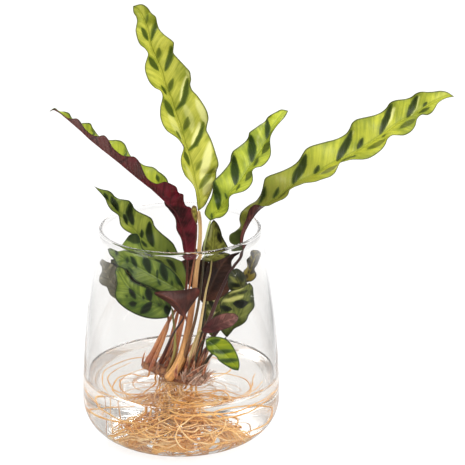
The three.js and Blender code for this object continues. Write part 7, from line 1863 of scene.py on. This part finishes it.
def w_step(value, low, high, a, b):
    n = wt.nodes.new('ShaderNodeMapRange')
    n.interpolation_type = 'SMOOTHSTEP'
    wt.links.new(value, n.inputs['Value'])
    for key, x in (('From Min', low), ('From Max', high), ('To Min', a), ('To Max', b)):
        n.inputs[key].default_value = x
    return n.outputs['Result']


tc = wt.nodes.new('ShaderNodeTexCoord')
sep = wt.nodes.new('ShaderNodeSeparateXYZ')
wt.links.new(tc.outputs['Generated'], sep.inputs[0])
wx, wy, wz = sep.outputs[0], sep.outputs[1], sep.outputs[2]
lp = wt.nodes.new('ShaderNodeLightPath')
sky = w_math('ADD', w_math('ADD', w_math('MULTIPLY', wx, 0.45), w_math('MULTIPLY', wy, -0.25)), w_math('MULTIPLY', wz, 0.85))
for_leaf = w_step(sky, -0.5, 0.95, 0.30, 1.15)            # what lights the plant: brighter from above and from the right
for_glass = w_step(wy, -0.20, 0.95, 0.02, 0.95)           # mirrored inside the glass: white behind, dark in front
straight = w_math('LESS_THAN', lp.outputs['Glossy Depth'], 0.5)
right = w_step(wx, 0.15, 0.80, 1.0, 0.40)                   # the room is darker on the right
for_glass = w_math('MULTIPLY', for_glass, right)
deep = w_math('GREATER_THAN', lp.outputs['Transmission Depth'], 2.5)
for_glass = w_math('MAXIMUM', for_glass, w_math('MAXIMUM', straight, w_math('MULTIPLY', deep, w_step(wy, -0.85, 0.25, 0.56, 0.95))))
for_mirror = w_step(w_math('ADD', wy, w_math('MULTIPLY', wz, 0.35)), -0.10, 0.88, 0.010, 0.90)
for_mirror = w_math('MULTIPLY', for_mirror, w_math('MAXIMUM', right, w_step(wy, 0.45, 0.85, 0.0, 1.0)))
above = w_math('MULTIPLY', w_step(wz, 0.12, 0.60, 0.0, 0.62), w_math('GREATER_THAN', lp.outputs['Transmission Depth'], 0.5))
for_mirror = w_math('MAXIMUM', for_mirror, above)
for_glass = w_math('MAXIMUM', for_glass, above)
total = w_math('MULTIPLY', lp.outputs['Is Diffuse Ray'], for_leaf)
glassy = w_math('MULTIPLY', lp.outputs['Is Transmission Ray'], for_glass)
mirror = w_math('MULTIPLY', w_math('MULTIPLY', lp.outputs['Is Glossy Ray'], w_math('SUBTRACT', 1.0, lp.outputs['Is Transmission Ray'])), for_mirror)
total = w_math('ADD', w_math('ADD', total, glassy), mirror)
total = w_math('MAXIMUM', total, lp.outputs['Is Camera Ray'])
bg = wt.nodes.new('ShaderNodeBackground')
bg.inputs['Color'].default_value = (1.0, 1.0, 1.0, 1.0)
wt.links.new(total, bg.inputs['Strength'])
wo = wt.nodes.new('ShaderNodeOutputWorld')
wt.links.new(bg.outputs[0], wo.inputs['Surface'])
world.cycles.sampling_method = 'NONE'


def area(name, where, target, size, power, colour=(1, 1, 1)):
    from mathutils import Vector
    li = bpy.data.lights.new(name, 'AREA')
    li.shape = 'RECTANGLE'
    li.size, li.size_y = size
    li.energy = power
    li.color = colour
    ob = bpy.data.objects.new(name, li)
    ob.location = where
    ob.rotation_euler = (Vector(target) - Vector(where)).to_track_quat('-Z', 'Y').to_euler()
    bpy.context.scene.collection.objects.link(ob)


area('key', (1.1, -1.1, 1.7), (0, 0, 0.15), (0.7, 0.7), 24)
area('fill', (-1.4, -0.9, 1.1), (0, 0, 0.15), (0.7, 1.1), 6)
area('back', (0.3, 1.5, 1.6), (0, 0, 0.15), (1.4, 0.9), 12)

cam = bpy.data.cameras.new('camera')
cam.lens = 174.2
cam.sensor_width = 36.0
cam.dof.use_dof = False
co = bpy.data.objects.new('camera', cam)
co.location = (0.0444, -1.810, 0.7901)
co.rotation_euler = (math.radians(90 - 18.597), 0, 0)
bpy.context.scene.collection.objects.link(co)
sc = bpy.context.scene
sc.camera = co
sc.view_settings.view_transform = 'Standard'
sc.view_settings.look = 'None'
sc.cycles.max_bounces = 80
sc.cycles.transmission_bounces = 72
sc.cycles.glossy_bounces = 72
sc.cycles.diffuse_bounces = 3
sc.cycles.transparent_max_bounces = 64
sc.cycles.caustics_reflective = False
sc.cycles.caustics_refractive = False
sc.cycles.use_denoising = True
